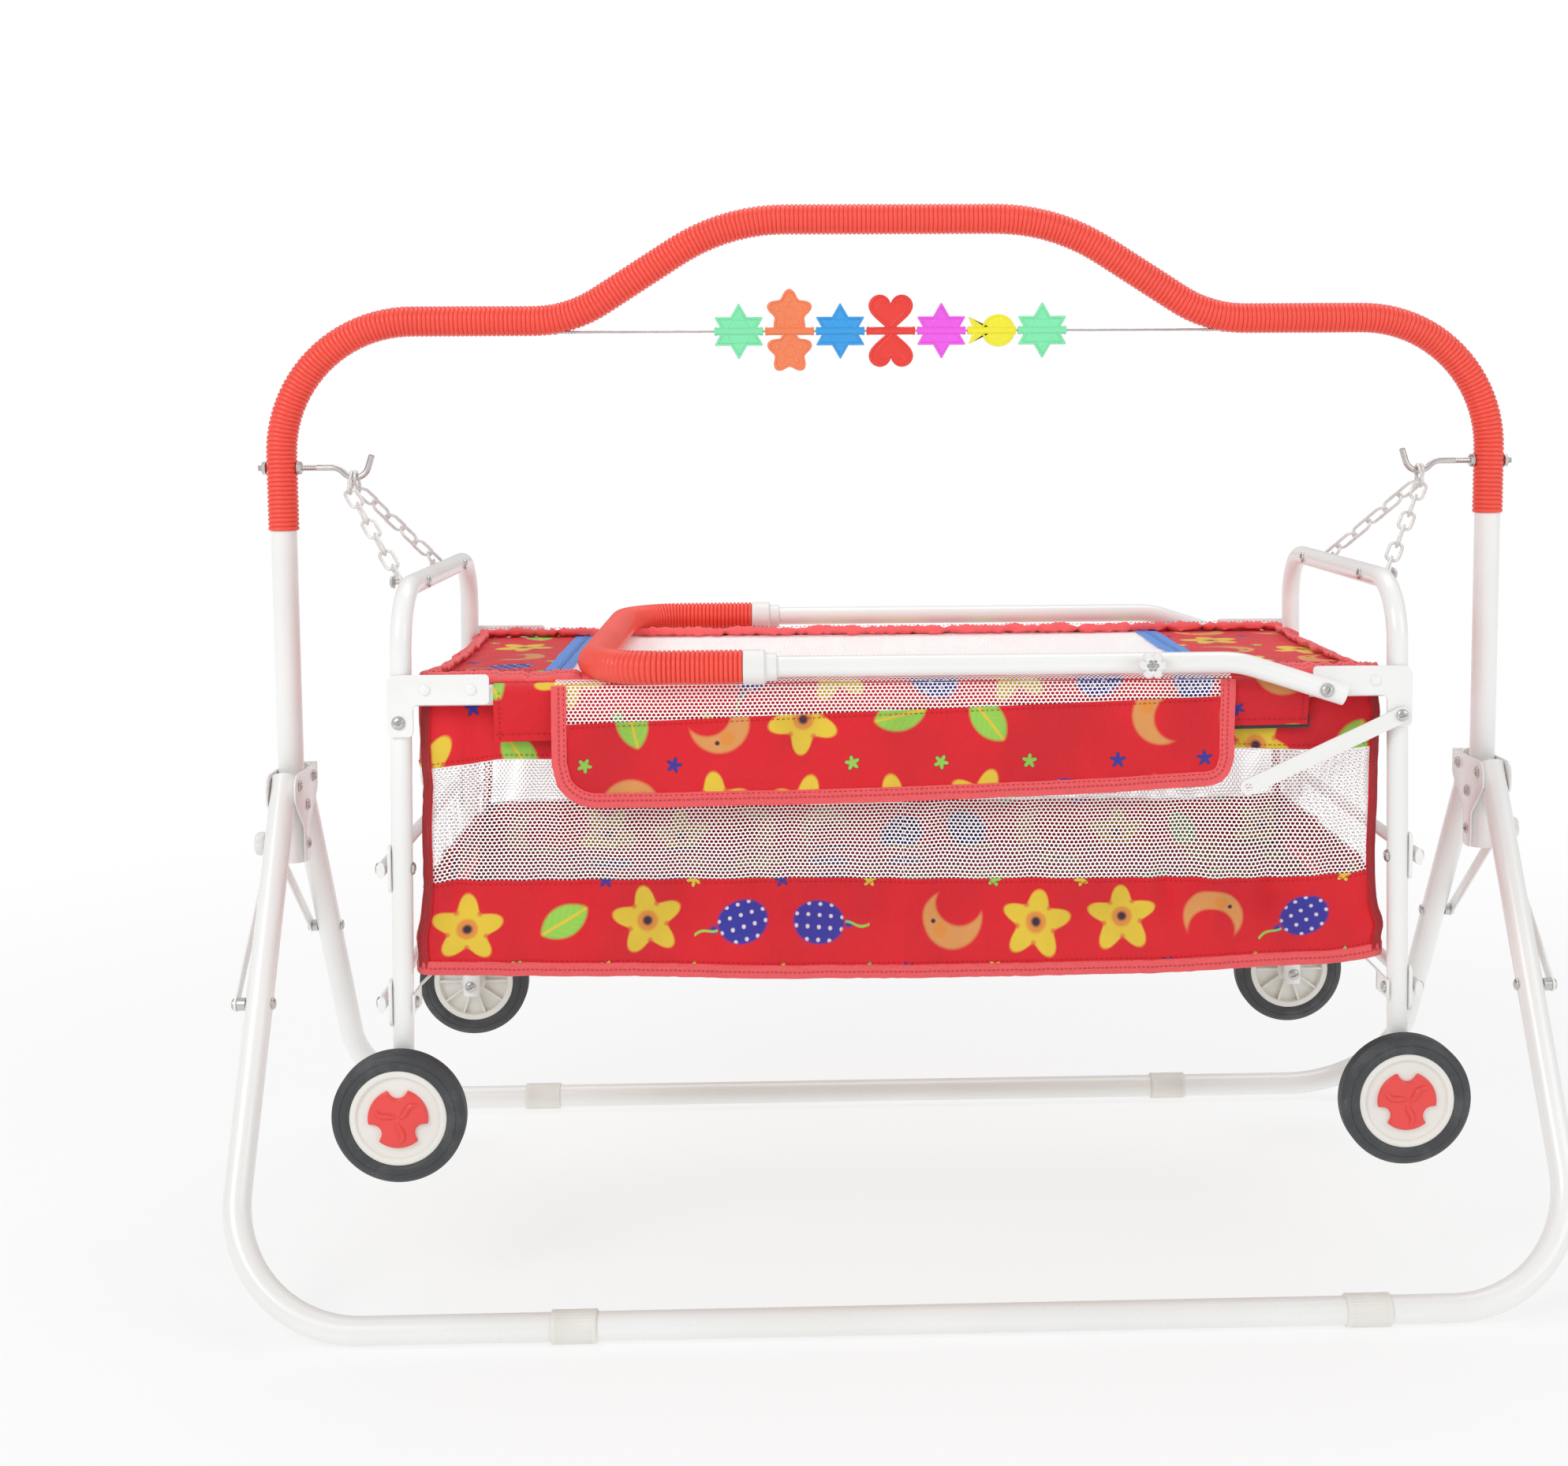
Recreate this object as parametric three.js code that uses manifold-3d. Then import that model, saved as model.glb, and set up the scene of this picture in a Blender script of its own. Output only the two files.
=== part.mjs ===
// Swing cradle with mosquito net. Millimetres, +Z up, floor at zero, arch in the XZ plane, front towards -Y.
import * as THREE from 'three';
import { mergeVertices } from 'three/addons/utils/BufferGeometryUtils.js';
import Module from 'manifold-3d';

const wasm = await Module();
wasm.setup();

// Clearances and fastenings shared by all pieces
const fitGap = 0.3;
const cutOverrun = 5;
const fuseDepth = 0.5;
const boltDiameter = 6;
const boltHeadDiameter = 11;
const boltHeadHeight = 3;
const rivetHeadDiameter = 10;
const rivetHeadHeight = 1.8;

// Stand arch
const standTubeDiameter = 25;
const standTubeWall = 1.2;
const uprightHalfSpan = 600;
const uprightFoot = 364;
const archShoulderHeight = 899;
const archCornerRadius = 130;
const archShoulderHalfSpan = 316;
const archShoulderRadius = 124;
const archCrownHeight = 997;
const archCrownHalfSpan = 162;
const archCrownRadius = 200;

// Ribbed sleeve on the arch
const sleeveFootLeft = 695;
const sleeveFootRight = 704;
const sleeveRidgeDiameter = 29.6;
const sleeveValleyDiameter = 27.8;
const sleeveRibCount = 27;

// Chain hooks
const hookRodDiameter = 6;
const hookHeight = 756.5;
const hookOuterEnd = 623;
const hookDipStart = 545;
const hookValleyHalfSpan = 523;
const hookValleyHeight = 734;
const hookTipHalfSpan = 512;
const hookTipHeight = 769;
const hookBendRadius = 14;
const hookNutWidth = 11;
const hookNutThickness = 5;

// Toy wire and toys
const wireDiameter = 2.4;
const wireHeight = 888;
const wireEyeHalfSpan = 330;
const eyeShankDiameter = 5;
const eyeRiseShare = 1.6;
const toyTubeDiameter = 8.4;
const toyTubeBore = 3.6;
const toyThickness = 5;
const toyPitch = 50;
const toyTubeLength = 48;
const starSpan = 56;
const petalSpan = 46;
const heartSpan = 44;
const fishLength = 46;
const fishDepth = 32;

// Folding legs
const legPivotHeight = 445;
const legPivotHalfGap = 30;
const baseHalfSpread = 303;
const legTopOverrun = 9;
const legBendRadius = 120;
const couplerAcrossFlats = 29.4;
const couplerLength = 40;
const frontCouplerLeft = -295;
const frontCouplerRight = 403;
const rearCouplerLeft = -394;
const rearCouplerRight = 337;

// Leg brackets
const bracketSheet = 2;
const bracketTop = 457;
const bracketHeadHalfWidth = 46;
const bracketShoulder = 431;
const bracketNeck = 400;
const bracketStripHalfWidth = 11;
const bracketWebFoot = 445;
const bracketMiddleBolt = 421;
const bracketLowerBolt = 382;

// Braces between legs and bracket
const braceWidth = 14;
const braceSheet = 2;
const braceBoltHeight = 261;
const knobDiameter = 24;
const knobThickness = 14;

// Cradle end frames
const frameTubeDiameter = 19;
const frameTubeWall = 1.2;
const frameTopHalfSpan = 450;
const frameFootHalfSpan = 458;
const frameLegHalfDepth = 199;
const frameTopHeight = 652;
const frameTopRadius = 55;
const axleHeight = 178;
const frameFootOverrun = 11;
const chainBoltHalfDepth = 108;
const chainBoltDiameter = 5;
const chainBoltSeat = 6.5;
const chainNutThickness = 3;
const crossTubeDiameter = 12;
const upperCrossHeight = 399.5;
const lowerCrossHeight = 276;
const saddleHeight = 43;
const saddleWidth = 18;
const saddleSheet = 3;
const axleDiameter = 8;

// Chains
const chainWireDiameter = 3;
const chainInnerWidth = 9;
const chainLinkCount = 7;
const chainWeldOverlap = 0.8;
const chainSideGap = 1.9;

// Rails and corner plates
const railHeight = 557;
const cornerSheet = 2.5;
const cornerArmEnd = 371;
const cornerArmTop = 577;
const cornerArmFoot = 550;
const cornerLegOuter = 462;
const cornerLegInner = 439;
const cornerLegFoot = 521;
const cornerInnerRivet = 387;
const cornerOuterRivet = 428;
const cornerBoltHeight = 534;

// Push handle
const handleHalfDepth = 223.5;
const handlePivotHalfSpan = 378;
const handlePivotHeight = 558;
const handleBendStart = 300;
const handleBendRadius = 100;
const handleTail = 19;
const collarOuterDiameter = 31;
const collarInnerEnd = -124.5;
const collarOuterEnd = -144;
const collarStepDiameter = 25;
const collarStepEnd = -114;
const gripRidgeDiameter = 31;
const gripValleyDiameter = 28.4;
const gripRibCount = 12;
const gripLeftEnd = -297;
const gripBendRadius = 62;
const handleKnobPlace = 219;
const handleKnobDiameter = 22;
const handleKnobThickness = 12;

// Stays for the raised handle
const stayWidth = 15;
const staySheet = 2;
const staySpacer = 1;
const stayPivotHeight = 532;
const stayEndPlace = 312.4;
const stayEndHeight = 467.6;

// Bed cloth, net and flap
const clothHalfLength = 439;
const clothHalfDepth = 197;
const clothThickness = 2;
const clothHem = 297;
const clothDeckHeight = 331;
const clothWallTop = 543;
const lowerBandTop = 386;
const upperBandFoot = 503;
const clothPipingHeight = 10;
const clothPipingDepth = 2.4;
const loopHalfLength = 368;
const loopOuter = 210.2;
const loopInner = 188;
const loopTop = 567.4;
const loopShoulder = 561;
const loopShoulderDepth = 204;
const loopFoot = 541;
const wallGapColumns = 9;
const wallGapRows = 2;
const endGapColumns = 3;
const coverFoot = 565;
const coverThickness = 2.4;
const coverHalfDepth = 187.5;
const coverNetLeft = -322;
const coverNetRight = 287;
const coverNetHalfDepth = 168;
const coverGapColumns = 6;
const coverGapRows = 4;
const flapLeft = -316;
const flapRight = 300;
const flapTop = 565;
const flapFootLeft = 459;
const flapFootRight = 485;
const flapNetFoot = 545;
const flapGapColumns = 8;
const flapThickness = 1.6;
const flapCornerRadius = 40;
const netStrandShare = 0.3;
const zipPullLength = 16;
const zipPullWidth = 7;
const zipPullThickness = 2.4;

// Board and frame under the bed
const boardThickness = 6;
const underBarWidth = 20;
const underBarThickness = 3;
const underHalfDepth = 178;
const underHalfLength = 407;
const strutWidth = 12;
const strutSheet = 2;
const strutTabHalfHeight = 8;

// Wheels
const tyreDiameter = 120;
const tyreWidth = 22;
const tyreSeatDiameter = 87;
const tyreShoulder = 7;
const rimWidth = 18;
const rimLipThickness = 6;
const rimWebThickness = 4;
const hubDiameter = 26;
const capDiameter = 54;
const capThickness = 4;
const wheelGap = 1.2;

// Facet counts
const standSides = 8;
const boreSides = 5;
const plateCurveSegments = 3;
const frameSides = 8;
const wireSides = 4;
const boltSides = 6;
const endArcSteps = 4;
const middleArcSteps = 2;
const sleevedBendStep = THREE.MathUtils.degToRad(11.3);
const bendStep = THREE.MathUtils.degToRad(18.1);

// Colours and finishes
function finish(color, roughness, metalness) {
  return new THREE.MeshStandardMaterial({ color, roughness, metalness });
}
const enamel = () => finish(0xf4f2ee, 0.35, 0.1);
const zinc = () => finish(0xa9a8a6, 0.4, 0.9);
const coralPlastic = () => finish(0xf0503f, 0.45, 0);
const whitePlastic = () => finish(0xf3efe2, 0.5, 0);
const redCloth = () => finish(0xd81f26, 0.9, 0);
const whiteNet = () => finish(0xf6eeee, 0.9, 0);
const blackRubber = () => finish(0x2b2b2d, 0.85, 0);
const board = () => finish(0xb59a76, 0.8, 0);
const toyPlastic = (color) => finish(color, 0.4, 0);

// A bolt hole whose flats clear a round shank however far the piece turns
const holeFor = (shank) => (shank + 2 * fitGap) / Math.cos(Math.PI / boltSides);

const at = (x, y, z) => new THREE.Vector3(x, y, z);
const heading = (from, to) => to.clone().sub(from).normalize();

// A path whose stations are the only places where a section is set
class Route extends THREE.Curve {
  constructor(stations) {
    super();
    this.stations = stations;
  }

  getPoint(share, target = new THREE.Vector3()) {
    const place = share * (this.stations.length - 1);
    const index = Math.min(Math.floor(place), this.stations.length - 2);
    const from = this.stations[index].point;
    const to = this.stations[index + 1].point;
    return target.copy(from).lerp(to, place - index);
  }

  getPointAt(share, target) {
    return this.getPoint(share, target);
  }

  getTangentAt(share, target = new THREE.Vector3()) {
    const index = Math.round(share * (this.stations.length - 1));
    return target.copy(this.stations[index].tangent);
  }
}

// Stations along straight runs joined by round bends
function bentStations(corners, radii, stepAngle = bendStep) {
  const stations = [{ point: corners[0], tangent: heading(corners[0], corners[1]) }];
  for (let i = 1; i < corners.length - 1; i += 1) {
    const before = heading(corners[i - 1], corners[i]);
    const after = heading(corners[i], corners[i + 1]);
    const turn = before.angleTo(after);
    const radius = radii[i - 1];
    const start = corners[i].clone().addScaledVector(before, -radius * Math.tan(turn / 2));
    const inward = after.clone().addScaledVector(before, -before.dot(after)).normalize();
    const centre = start.clone().addScaledVector(inward, radius);
    const steps = Math.max(2, Math.ceil(turn / stepAngle));
    for (let step = 0; step <= steps; step += 1) {
      const angle = (turn * step) / steps;
      const point = centre.clone();
      point.addScaledVector(before, radius * Math.sin(angle));
      point.addScaledVector(inward, -radius * Math.cos(angle));
      const tangent = before.clone().multiplyScalar(Math.cos(angle)).addScaledVector(inward, Math.sin(angle));
      stations.push({ point, tangent });
    }
  }
  const last = corners.length - 1;
  stations.push({ point: corners[last], tangent: heading(corners[last - 1], corners[last]) });
  return stations;
}

function polygonPath(Kind, radius, sides, turn = 0) {
  const path = new Kind();
  for (let i = 0; i < sides; i += 1) {
    const angle = turn + (i / sides) * Math.PI * 2;
    const x = radius * Math.cos(angle);
    const y = radius * Math.sin(angle);
    if (i === 0) {
      path.moveTo(x, y);
    } else {
      path.lineTo(x, y);
    }
  }
  path.closePath();
  return path;
}

function alongRoute(shape, stations) {
  const options = { steps: stations.length - 1, bevelEnabled: false, extrudePath: new Route(stations) };
  return new THREE.ExtrudeGeometry(shape, options);
}

function tube(stations, diameter, wall, sides = frameSides) {
  const shape = polygonPath(THREE.Shape, diameter / 2, sides);
  if (wall > 0) {
    shape.holes.push(polygonPath(THREE.Path, diameter / 2 - wall, boreSides));
  }
  return alongRoute(shape, stations);
}

const rod = (stations, diameter, sides = frameSides) => tube(stations, diameter, 0, sides);
const straight = (from, to) => bentStations([from, to], []);

function barBetween(from, to, diameter, sides = boltSides) {
  return rod(straight(from, to), diameter, sides);
}

function box(low, high) {
  const size = high.clone().sub(low);
  const geometry = new THREE.BoxGeometry(size.x, size.y, size.z);
  const centre = low.clone().add(high).multiplyScalar(0.5);
  return geometry.translate(centre.x, centre.y, centre.z);
}

// A flat outline in the XZ plane with a thickness along Y, or in the YZ plane with one along X
function plateXZ(shape, y, thickness) {
  const options = { depth: thickness, bevelEnabled: false, curveSegments: plateCurveSegments };
  const geometry = new THREE.ExtrudeGeometry(shape, options);
  return geometry.rotateX(Math.PI / 2).translate(0, y + thickness, 0);
}

function plateYZ(shape, x, thickness) {
  const options = { depth: thickness, bevelEnabled: false, curveSegments: plateCurveSegments };
  const geometry = new THREE.ExtrudeGeometry(shape, options);
  return geometry.rotateX(Math.PI / 2).rotateZ(Math.PI / 2).translate(x, 0, 0);
}

function solidOf(geometry) {
  const bare = geometry.index ? geometry.toNonIndexed() : geometry.clone();
  bare.deleteAttribute('normal');
  bare.deleteAttribute('uv');
  const merged = mergeVertices(bare, 1e-4);
  const vertProperties = new Float32Array(merged.attributes.position.array);
  const corners = merged.index.array;
  const kept = [];
  for (let i = 0; i < corners.length; i += 3) {
    const [a, b, c] = [corners[i], corners[i + 1], corners[i + 2]];
    if (a !== b && b !== c && c !== a) {
      kept.push(a, b, c);
    }
  }
  const triVerts = new Uint32Array(kept);
  return new wasm.Manifold(new wasm.Mesh({ numProp: 3, vertProperties, triVerts }));
}

function geometryOf(solid) {
  const mesh = solid.getMesh();
  const geometry = new THREE.BufferGeometry();
  geometry.setAttribute('position', new THREE.BufferAttribute(new Float32Array(mesh.vertProperties), 3));
  geometry.setIndex(new THREE.BufferAttribute(new Uint32Array(mesh.triVerts), 1));
  geometry.computeVertexNormals();
  return geometry;
}

function joined(pieces, cuts = []) {
  let solid = solidOf(pieces[0]);
  for (const piece of pieces.slice(1)) {
    solid = solid.add(solidOf(piece));
  }
  for (const cut of cuts) {
    solid = solid.subtract(solidOf(cut));
  }
  return geometryOf(solid);
}

// Rings of points, each joined to the next and the last to the first, as one closed skin
function closedLoft(rings) {
  const sides = rings[0].length;
  const positions = rings.flat().flatMap((point) => point.toArray());
  const index = [];
  for (let ring = 0; ring < rings.length; ring += 1) {
    const next = (ring + 1) % rings.length;
    for (let side = 0; side < sides; side += 1) {
      const beside = (side + 1) % sides;
      const corner = ring * sides + side;
      const across = next * sides + beside;
      index.push(corner, ring * sides + beside, across);
      index.push(corner, across, next * sides + side);
    }
  }
  const geometry = new THREE.BufferGeometry();
  geometry.setAttribute('position', new THREE.Float32BufferAttribute(positions, 3));
  geometry.setIndex(index);
  geometry.computeVertexNormals();
  return geometry;
}

function ringAt(point, normal, binormal, radius, sides) {
  const ring = [];
  for (let side = 0; side < sides; side += 1) {
    const angle = (side / sides) * Math.PI * 2;
    const place = point.clone().addScaledVector(normal, radius * Math.cos(angle));
    ring.push(place.addScaledVector(binormal, radius * Math.sin(angle)));
  }
  return ring;
}

// Ribs as pairs of rings along a bent path, over a bore that follows the tube inside
function ribbedSleeve(stations, ribCount, ridgeDiameter, valleyDiameter, boreDiameter, plainEnd) {
  const lengths = [0];
  for (let i = 1; i < stations.length; i += 1) {
    lengths.push(lengths[i - 1] + stations[i].point.distanceTo(stations[i - 1].point));
  }
  const total = lengths[lengths.length - 1];
  const middle = stations[Math.floor(stations.length / 2)];
  const side = stations[0].tangent.clone().cross(middle.tangent).normalize();
  const frameAt = (distance) => {
    let index = 1;
    while (index < lengths.length - 1 && lengths[index] < distance) {
      index += 1;
    }
    const share = (distance - lengths[index - 1]) / (lengths[index] - lengths[index - 1]);
    const from = stations[index - 1];
    const to = stations[index];
    const point = from.point.clone().lerp(to.point, share);
    const tangent = from.tangent.clone().lerp(to.tangent, share).normalize();
    const span = lengths[index] - lengths[index - 1];
    const turn = from.tangent.angleTo(to.tangent);
    const rise = (span * turn * share * (1 - share)) / 2;
    const away = from.tangent.clone().sub(to.tangent);
    if (away.lengthSq() > 0) {
      point.addScaledVector(away.normalize(), rise);
    }
    return { point, tangent };
  };
  const ring = (distance, diameter) => {
    const place = frameAt(distance);
    const binormal = place.tangent.clone().cross(side);
    return ringAt(place.point, side, binormal, diameter / 2, standSides);
  };
  const rings = [ring(0, ridgeDiameter), ring(plainEnd, ridgeDiameter)];
  const pitch = (total - 2 * plainEnd) / ribCount;
  for (let rib = 0; rib < ribCount; rib += 1) {
    rings.push(ring(plainEnd + pitch * (rib + 0.35), valleyDiameter));
    rings.push(ring(plainEnd + pitch * (rib + 0.85), ridgeDiameter));
  }
  rings.push(ring(total, ridgeDiameter));
  for (let i = stations.length - 1; i >= 0; i -= 1) {
    const binormal = stations[i].tangent.clone().cross(side);
    rings.push(ringAt(stations[i].point, side, binormal, boreDiameter / 2, standSides));
  }
  return closedLoft(rings);
}

function flower(span, thickness, petals = 5) {
  const shape = new THREE.Shape();
  const petalSteps = 4;
  for (let i = 0; i <= petals * petalSteps; i += 1) {
    const angle = (i / (petals * petalSteps)) * Math.PI * 2;
    const reach = (span / 2) * (0.84 + 0.16 * Math.cos(angle * petals));
    if (i === 0) {
      shape.moveTo(reach, 0);
    } else if (i < petals * petalSteps) {
      shape.lineTo(reach * Math.cos(angle), reach * Math.sin(angle));
    }
  }
  shape.closePath();
  return new THREE.ExtrudeGeometry(shape, { depth: thickness, bevelEnabled: false });
}

const object = new THREE.Group();

function place(parent, name, geometry, material) {
  const mesh = new THREE.Mesh(geometry, material);
  mesh.name = name;
  parent.add(mesh);
  return mesh;
}

const ends = [
  { name: 'left', side: -1 },
  { name: 'right', side: 1 },
];
const faces = [
  { name: 'front', side: -1 },
  { name: 'rear', side: 1 },
];

// Stand: arch, sleeve, hooks, brackets, toy wire
const archRadii = [archCornerRadius, archShoulderRadius, archCrownRadius];
const archBends = [
  at(-uprightHalfSpan, 0, archShoulderHeight),
  at(-archShoulderHalfSpan, 0, archShoulderHeight),
  at(-archCrownHalfSpan, 0, archCrownHeight),
  at(archCrownHalfSpan, 0, archCrownHeight),
  at(archShoulderHalfSpan, 0, archShoulderHeight),
  at(uprightHalfSpan, 0, archShoulderHeight),
];

function archStations(footLeft, footRight) {
  const corners = [at(-uprightHalfSpan, 0, footLeft), ...archBends, at(uprightHalfSpan, 0, footRight)];
  return bentStations(corners, [...archRadii, ...archRadii.toReversed()], sleevedBendStep);
}

// A cutter for a bolt hole along X through a stand tube
function boltHoleX(side, y, z, diameter) {
  const reach = standTubeDiameter / 2 + bracketSheet + cutOverrun;
  const from = at(side * uprightHalfSpan - reach, y, z);
  return barBetween(from, at(side * uprightHalfSpan + reach, y, z), holeFor(diameter));
}

function wireAndShankCuts(side) {
  const eye = side * wireEyeHalfSpan;
  const run = eye - side * standTubeDiameter;
  const wireCut = holeFor(wireDiameter);
  const shankCut = holeFor(eyeShankDiameter);
  const foot = wireHeight - eyeShankDiameter;
  const past = side * (eyeShankDiameter / 2);
  return [
    barBetween(at(run, 0, wireHeight), at(eye + past, 0, wireHeight), wireCut),
    barBetween(at(eye, 0, foot), at(eye, 0, wireHeight + eyeShankDiameter * 2), shankCut),
  ];
}

function standArch() {
  const tubes = tube(archStations(uprightFoot, uprightFoot), standTubeDiameter, standTubeWall, standSides);
  const cuts = ends.flatMap(({ side }) => [
    boltHoleX(side, 0, hookHeight, hookRodDiameter),
    boltHoleX(side, 0, bracketMiddleBolt, boltDiameter),
    boltHoleX(side, 0, bracketLowerBolt, boltDiameter),
    ...wireAndShankCuts(side),
  ]);
  place(object, 'arch_tube', joined([tubes], cuts), enamel());

  const bore = standTubeDiameter + (2 * fitGap) / Math.cos(Math.PI / standSides);
  const stations = archStations(sleeveFootLeft, sleeveFootRight);
  const sleeve = ribbedSleeve(
    stations, sleeveRibCount, sleeveRidgeDiameter, sleeveValleyDiameter, bore, standTubeDiameter);
  const sleeveCuts = ends.flatMap(({ side }) => [
    boltHoleX(side, 0, hookHeight, hookRodDiameter),
    ...wireAndShankCuts(side),
  ]);
  place(object, 'arch_sleeve', joined([sleeve], sleeveCuts), coralPlastic());
}

function hookStations(side) {
  const corners = [
    at(side * hookOuterEnd, 0, hookHeight),
    at(side * hookDipStart, 0, hookHeight),
    at(side * hookValleyHalfSpan, 0, hookValleyHeight),
    at(side * hookTipHalfSpan, 0, hookTipHeight),
  ];
  return bentStations(corners, [hookBendRadius, hookBendRadius]);
}

function hookSeat(side) {
  const points = hookStations(side).map((station) => station.point);
  return points.reduce((lowest, point) => (point.z < lowest.z ? point : lowest));
}

function chainHook({ name, side }) {
  const face = uprightHalfSpan - sleeveRidgeDiameter / 2 - fitGap;
  const back = uprightHalfSpan + sleeveRidgeDiameter / 2 + fitGap;
  const rodPoint = (x) => at(side * x, 0, hookHeight);
  const nut = (from, to) => barBetween(rodPoint(from), rodPoint(to), hookNutWidth, boltSides);
  const pieces = [
    rod(hookStations(side), hookRodDiameter, boltSides),
    nut(face - hookNutThickness, face),
    nut(back, back + hookNutThickness),
  ];
  place(object, `${name}_hook`, joined(pieces), zinc());
}

// Plates of a leg bracket lie on both sides of the upright and the two legs
const bracketInner = standTubeDiameter / 2 + fitGap;
const bracketOuter = bracketInner + bracketSheet;

function bracketOutline() {
  const shape = new THREE.Shape();
  shape.moveTo(-bracketHeadHalfWidth + bracketStripHalfWidth, bracketTop);
  shape.lineTo(bracketHeadHalfWidth + bracketSheet, bracketTop);
  shape.lineTo(bracketHeadHalfWidth + bracketSheet, bracketShoulder);
  shape.lineTo(bracketStripHalfWidth, bracketNeck);
  shape.lineTo(bracketStripHalfWidth, uprightFoot);
  shape.lineTo(-bracketStripHalfWidth, uprightFoot);
  shape.lineTo(-bracketStripHalfWidth, bracketNeck);
  shape.lineTo(-bracketHeadHalfWidth, bracketShoulder);
  shape.lineTo(-bracketHeadHalfWidth, bracketTop - bracketStripHalfWidth);
  shape.closePath();
  return shape;
}

function legBracket({ name, side }) {
  const centre = side * uprightHalfSpan;
  const outline = bracketOutline();
  const web = box(
    at(centre - bracketOuter, bracketHeadHalfWidth, bracketWebFoot),
    at(centre + bracketOuter, bracketHeadHalfWidth + bracketSheet, bracketTop));
  const pieces = [
    plateYZ(outline, centre - bracketOuter, bracketSheet),
    plateYZ(outline, centre + bracketInner, bracketSheet),
    web,
  ];
  const bolts = [
    { y: -legPivotHalfGap, z: legPivotHeight },
    { y: legPivotHalfGap, z: legPivotHeight },
    { y: 0, z: bracketMiddleBolt },
    { y: 0, z: bracketLowerBolt },
  ];
  for (const { y, z } of bolts) {
    const inner = centre - side * bracketOuter;
    const outer = centre + side * bracketOuter;
    pieces.push(barBetween(at(inner, y, z), at(outer, y, z), boltDiameter));
    const headInner = at(inner - side * boltHeadHeight, y, z);
    pieces.push(barBetween(headInner, at(inner + side * fuseDepth, y, z), boltHeadDiameter));
    const headOuter = at(outer + side * boltHeadHeight, y, z);
    pieces.push(barBetween(at(outer - side * fuseDepth, y, z), headOuter, boltHeadDiameter));
  }
  place(object, `${name}_leg_bracket`, joined(pieces), enamel());
}

function toyWire() {
  const eyeShankTop = wireHeight + eyeShankDiameter * eyeRiseShare;
  const end = wireEyeHalfSpan + eyeShankDiameter / 4;
  const pieces = [barBetween(at(-end, 0, wireHeight), at(end, 0, wireHeight), wireDiameter)];
  for (const { side } of ends) {
    const eye = side * wireEyeHalfSpan;
    const foot = wireHeight - eyeShankDiameter / 2;
    pieces.push(barBetween(at(eye, 0, foot), at(eye, 0, eyeShankTop), eyeShankDiameter));
  }
  place(object, 'toy_wire', joined(pieces), zinc());
}

// Toys, each turning on the wire
function closedOutline(points) {
  const shape = new THREE.Shape();
  shape.moveTo(points[0].x, points[0].y);
  for (const point of points.slice(1)) {
    shape.lineTo(point.x, point.y);
  }
  shape.closePath();
  return shape;
}

function starOutline() {
  const points = [];
  for (let i = 0; i < 12; i += 1) {
    const angle = (i / 12) * Math.PI * 2;
    const reach = (starSpan / 2) * (i % 2 === 0 ? 1 : 1 / Math.sqrt(3));
    points.push({ x: reach * Math.sin(angle), y: reach * Math.cos(angle) });
  }
  return closedOutline(points);
}

// Two five-lobed blossoms, one above and one below the barrel
const petalOffsetShares = [0.4, -0.42];
const petalLobeShare = 0.16;
const petalLobes = 5;

function petalOutline(middle) {
  const points = [];
  const pointCount = 20;
  for (let i = 0; i < pointCount; i += 1) {
    const angle = (i / pointCount) * Math.PI * 2;
    const reach = (petalSpan / 2) * (1 - petalLobeShare + petalLobeShare * Math.cos(angle * petalLobes));
    points.push({ x: reach * Math.sin(angle), y: middle + reach * Math.cos(angle) });
  }
  return closedOutline(points);
}

// Half width, then the rise of each cosine wave around a heart
const heartWaves = [16, 13, -5, -2, -1];

function heartOutline(upward) {
  const points = [];
  const pointCount = 14;
  const [wide, ...wave] = heartWaves;
  const scale = heartSpan / (2 * wide);
  for (let i = 0; i < pointCount; i += 1) {
    const angle = (i / pointCount) * Math.PI * 2;
    const rise = wave.reduce((sum, height, i2) => sum + height * Math.cos((i2 + 1) * angle), 0);
    const x = wide * Math.sin(angle) ** 3 * scale * upward;
    const tip = wave.reduce((sum, height, i2) => sum - height * (-1) ** (i2 + 1), 0);
    const y = (rise + tip) * scale * upward - (toyTubeDiameter / 2) * upward;
    points.push({ x, y });
  }
  return closedOutline(points);
}

const fishTailShare = 0.28;
const fishTailSpreadShare = 0.42;
const fishTailNotchShare = 0.385;

function fishOutline() {
  const bodyLength = fishLength * (1 - fishTailShare);
  const middle = (fishLength - bodyLength) / 2;
  const points = [];
  const pointCount = 12;
  for (let i = 1; i < pointCount; i += 1) {
    const angle = (i / pointCount) * Math.PI * 2 + Math.PI;
    const x = middle + (bodyLength / 2) * Math.cos(angle);
    points.push({ x, y: (fishDepth / 2) * Math.sin(angle) });
  }
  points.push({ x: -fishLength / 2, y: fishDepth * fishTailSpreadShare });
  points.push({ x: -fishLength * fishTailNotchShare, y: 0 });
  points.push({ x: -fishLength / 2, y: -fishDepth * fishTailSpreadShare });
  return closedOutline(points);
}

const petalOutlines = () => petalOffsetShares.map((share) => petalOutline(petalSpan * share));
const toys = [
  { name: 'toy_star_green_left', color: 0x4fe0a0, outlines: () => [starOutline()] },
  { name: 'toy_flower_orange', color: 0xff7a4a, outlines: petalOutlines },
  { name: 'toy_star_blue', color: 0x1d7fd6, outlines: () => [starOutline()] },
  { name: 'toy_heart_red', color: 0xd81a26, outlines: () => [heartOutline(1), heartOutline(-1)] },
  { name: 'toy_star_magenta', color: 0xf04cf0, outlines: () => [starOutline()] },
  { name: 'toy_fish_yellow', color: 0xf6e21a, outlines: () => [fishOutline()] },
  { name: 'toy_star_green_right', color: 0x4fe0a0, outlines: () => [starOutline()] },
];

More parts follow.
